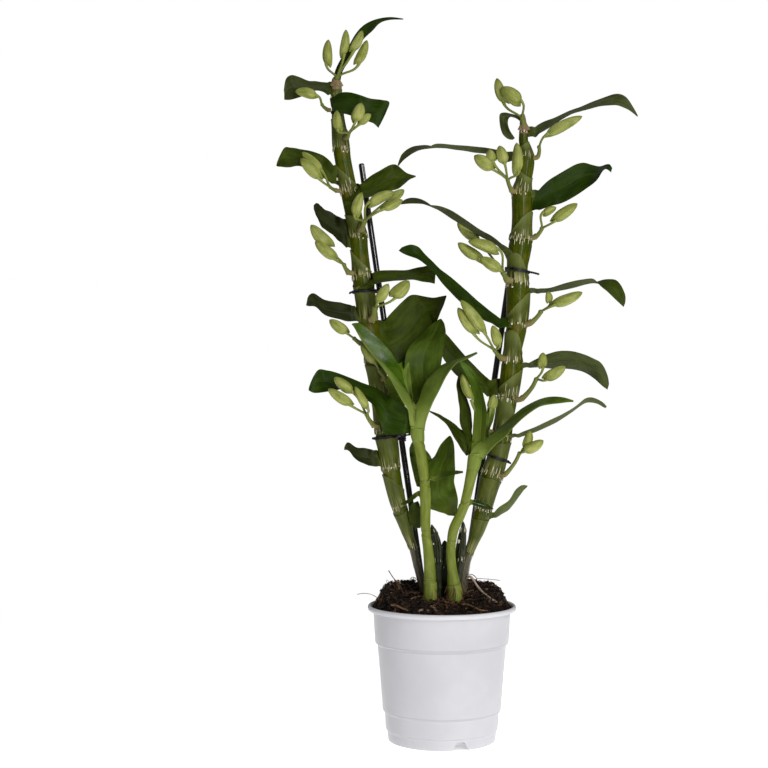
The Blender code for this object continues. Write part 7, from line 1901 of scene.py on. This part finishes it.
# one that leaves the right cane's foot, a twig and a whisker that stand in the bed
root_line([RIGHT.point(579, on_front(RIGHT, 466.0, 579)), np.array(at(470, 577, 2.5)), np.array(at(474, 581.4, 0.5)), np.array(at(478, 587.6, -1)),
           (484, 594, 0.0), (490, 599, 0.0), (497, 603, 0.0)], 2.3, 0.93, seed=1)
foot = on_heap(404, 594)
root_line([np.array(at(388.5, 571, foot[1] * 1000)), np.array(at(393, 578, foot[1] * 1000)), np.array(at(400, 586.6, foot[1] * 1000)), foot - [0, 0, 0.002]], 1.0, 0.15, seed=2)
foot = on_heap(382, 600)
root_line([np.array(at(357, 595, foot[1] * 1000)), np.array(at(364, 594.0, foot[1] * 1000)), np.array(at(372, 595.4, foot[1] * 1000)), foot - [0, 0, 0.001]], 0.6, 0.30, seed=3)
root_line([(391, 606, 0.0), (396, 606.4, 0.0005), (402, 609, 0.0005), (408, 611.5, 0.0)], 2.0, 0.50, seed=4)
root_line([(417, 612, 0.0), (423, 610.6, 0.0006), (429, 611.6, 0.0)], 2.2, 0.72, seed=5)
root_line([(431, 607, 0.0), (434, 609.0, 0.0006), (436.5, 612.4, 0.0)], 2.3, 0.80, seed=6)
root_line([(461, 605, 0.0), (468, 605.4, 0.0006), (476, 609, 0.0006), (482, 611, 0.0), (488, 611.6, 0.0)], 1.6, 0.52, seed=7)
root_line([RIGHT.point(574, on_front(RIGHT, 467.0, 574)), np.array(at(473, 575.5, 2.5)), np.array(at(477, 579.5, 1.5))], 0.8, 0.20, seed=8)
root_line([np.array(at(476.4, 578.9, 1.6)), np.array(at(489, 579.8, 0)), np.array(at(500, 581, -1))], 0.6, 0.45, seed=9)
root_line([(440, 598, 0.001), (444, 601, 0.0004), (447, 607, 0.0), (446, 612, 0.0)], 1.5, 0.35, seed=10)
for q in range(22):
    a = gen.uniform(0, math.tau)
    r0 = gen.uniform(0.008, 0.046)
    x, y = r0 * math.cos(a), r0 * math.sin(a)
    h = gen.uniform(0, math.tau)
    pts = []
    bend = gen.normal(0, 1.0)
    long = gen.uniform(0.010, 0.024)
    for w in range(8):
        f = w / 7.0
        px, py = x + math.cos(h + bend * f) * long * f, y + math.sin(h + bend * f) * long * f
        rr = math.hypot(px, py)
        if rr > 0.0550:
            px, py = px * 0.0550 / rr, py * 0.0550 / rr
        pts.append((px, py, heap(px, py) + 0.0003 + 0.0006 * math.sin(f * 6 + q)))
    line = curve_through(pts, 18)
    rod(roots, line, gen.uniform(0.0005, 0.0011) * (1 + 0.15 * smooth_noise(np.linspace(0, 8, 18), q)), 8, 0, (float(gen.uniform(0.05, 0.6)), 0.5))
# reddish fibres at the shoots' feet
for stem, v0, spread in ((S_LEFT, 592, 8), (S_RIGHT, 588, 8), (LEFT, 584, 6), (RIGHT, 578, 5)):
    for q in range(22 if spread == 8 else 12):
        turn = gen.uniform(0, math.tau)
        v = v0 + gen.uniform(-6, 8)
        vs = np.linspace(v, v + gen.uniform(6, 16), 7)
        off = np.linspace(0.0001, 1, 7) ** 1.4 * gen.uniform(0.0008, 0.0036)
        pts = stem.point(vs, turn + np.linspace(0, gen.normal(0, 0.5), 7), off, 1.0)
        rod(roots, pts, np.array([0.6, 1, 1, 0.9, 0.8, 0.6, 0.3]) * gen.uniform(0.00012, 0.00030), 5, 0, (float(gen.uniform(0.0, 0.45)), 0.5))
roots.build("bare_roots", [ROOT_SKIN], slot="coir_and_bark")

# ---------------------------------------------------------------------------
# extra bud behind the right shoot
# ---------------------------------------------------------------------------
extra = Soup()
foot, tip = np.array(at(470.6, 398.5, -4.5)), np.array(at(462.2, 373.8, -5.0))
bud(extra, foot, tip, size(9.6), 5151, np.array(at(486.0, 424, -5.5)))
line = curve_through([at(486.0, 424, -5.5), at(480, 417, -4.5), at(474.5, 409, -4.0), at(470.9, 399.6, -4.4)], 14)
rod(extra, line, np.linspace(1.15, 1.35, 14) * size(2.3) * 0.5, 10, 1, np.column_stack([np.full(14, 0.4), np.linspace(0.4, 1.0, 14)]))
extra.build("small_bud_behind", [BUD_SKIN, STALK], slot="bud")

# ---------------------------------------------------------------------------
# studio: pale floor, soft light, camera
# ---------------------------------------------------------------------------
def disc(name, radius, rings, z, mat):
    soup = Soup()
    rr = np.concatenate([[0.0001], radius * (np.arange(1, rings + 1) / rings) ** 2.2])
    turn = np.linspace(0, math.tau, 96, endpoint=False)
    pts = np.stack([rr[:, None] * np.cos(turn), rr[:, None] * np.sin(turn), np.full((len(rr), 96), z)], -1)
    soup.add(pts.reshape(-1, 3), [grid_faces(len(rr), 96, True), np.arange(96)[None, ::-1]], 0)
    mesh = bpy.data.meshes.new(name)
    verts = np.concatenate(soup.v)
    mesh.from_pydata([tuple(v) for v in verts], [], [tuple(int(i) for i in f) for block in soup.f for f in block])
    obj = bpy.data.objects.new(name, mesh)
    bpy.context.scene.collection.objects.link(obj)
    mesh.materials.append(mat)
    return obj


disc("studio_floor", 0.8, 48, -0.0004, FLOOR)

scene = bpy.context.scene
world = bpy.data.worlds.new("studio")
scene.world = world
world.use_nodes = True
tree = world.node_tree
tree.nodes.clear()
out = tree.nodes.new('ShaderNodeOutputWorld')
seen = tree.nodes.new('ShaderNodeBackground')
seen.inputs["Color"].default_value = (1, 1, 1, 1)
seen.inputs["Strength"].default_value = 1.0
light = tree.nodes.new('ShaderNodeBackground')
light.inputs["Color"].default_value = (1, 1, 1, 1)
light.inputs["Strength"].default_value = 0.10
path = tree.nodes.new('ShaderNodeLightPath')
blend = tree.nodes.new('ShaderNodeMixShader')
tree.links.new(path.outputs["Is Camera Ray"], blend.inputs[0])
tree.links.new(light.outputs[0], blend.inputs[1])
tree.links.new(seen.outputs[0], blend.inputs[2])
tree.links.new(blend.outputs[0], out.inputs[0])


def area(name, place, target, width, height, power, colour=(1, 1, 1)):
    data = bpy.data.lights.new(name, 'AREA')
    data.shape = 'RECTANGLE'
    data.size, data.size_y = width, height
    data.energy = power
    data.color = colour
    obj = bpy.data.objects.new(name, data)
    scene.collection.objects.link(obj)
    obj.location = place
    obj.rotation_euler = (Vector(target) - Vector(place)).to_track_quat('-Z', 'Y').to_euler()
    return obj


def sun(name, direction, strength, angle):
    data = bpy.data.lights.new(name, 'SUN')
    data.energy = strength
    data.angle = math.radians(angle)
    obj = bpy.data.objects.new(name, data)
    scene.collection.objects.link(obj)
    obj.rotation_euler = Vector(direction).to_track_quat('-Z', 'Y').to_euler()
    return obj


sun("key_front", (-0.40, 0.80, -0.52), 0.62, 36)
sun("fill_top", (0.15, -0.10, -1.0), 0.30, 70)
sun("fill_back", (0.45, -0.80, -0.50), 0.30, 60)
area("glint_side", (0.72, -0.03, 0.80), (-0.045, -0.02, 0.31), 0.14, 0.24, 0.8)
area("strip_front", (0.60, -1.70, 0.50), (0.0, 0.0, 0.33), 0.24, 1.9, 19)

camera_data = bpy.data.cameras.new("camera")
camera_data.sensor_fit = 'HORIZONTAL'
camera_data.sensor_width = 36.0
camera_data.lens = F / 768.0 * 36.0
camera_data.clip_start = 0.05
camera_data.clip_end = 40.0
camera = bpy.data.objects.new("camera", camera_data)
scene.collection.objects.link(camera)
camera.location = (CX, -D, CZ)
camera.rotation_euler = (math.radians(90), 0, 0)
scene.camera = camera

scene.view_settings.view_transform = 'Standard'
scene.view_settings.look = 'None'
scene.view_settings.exposure = 0.0
scene.view_settings.gamma = 1.0

bpy.context.view_layer.update()
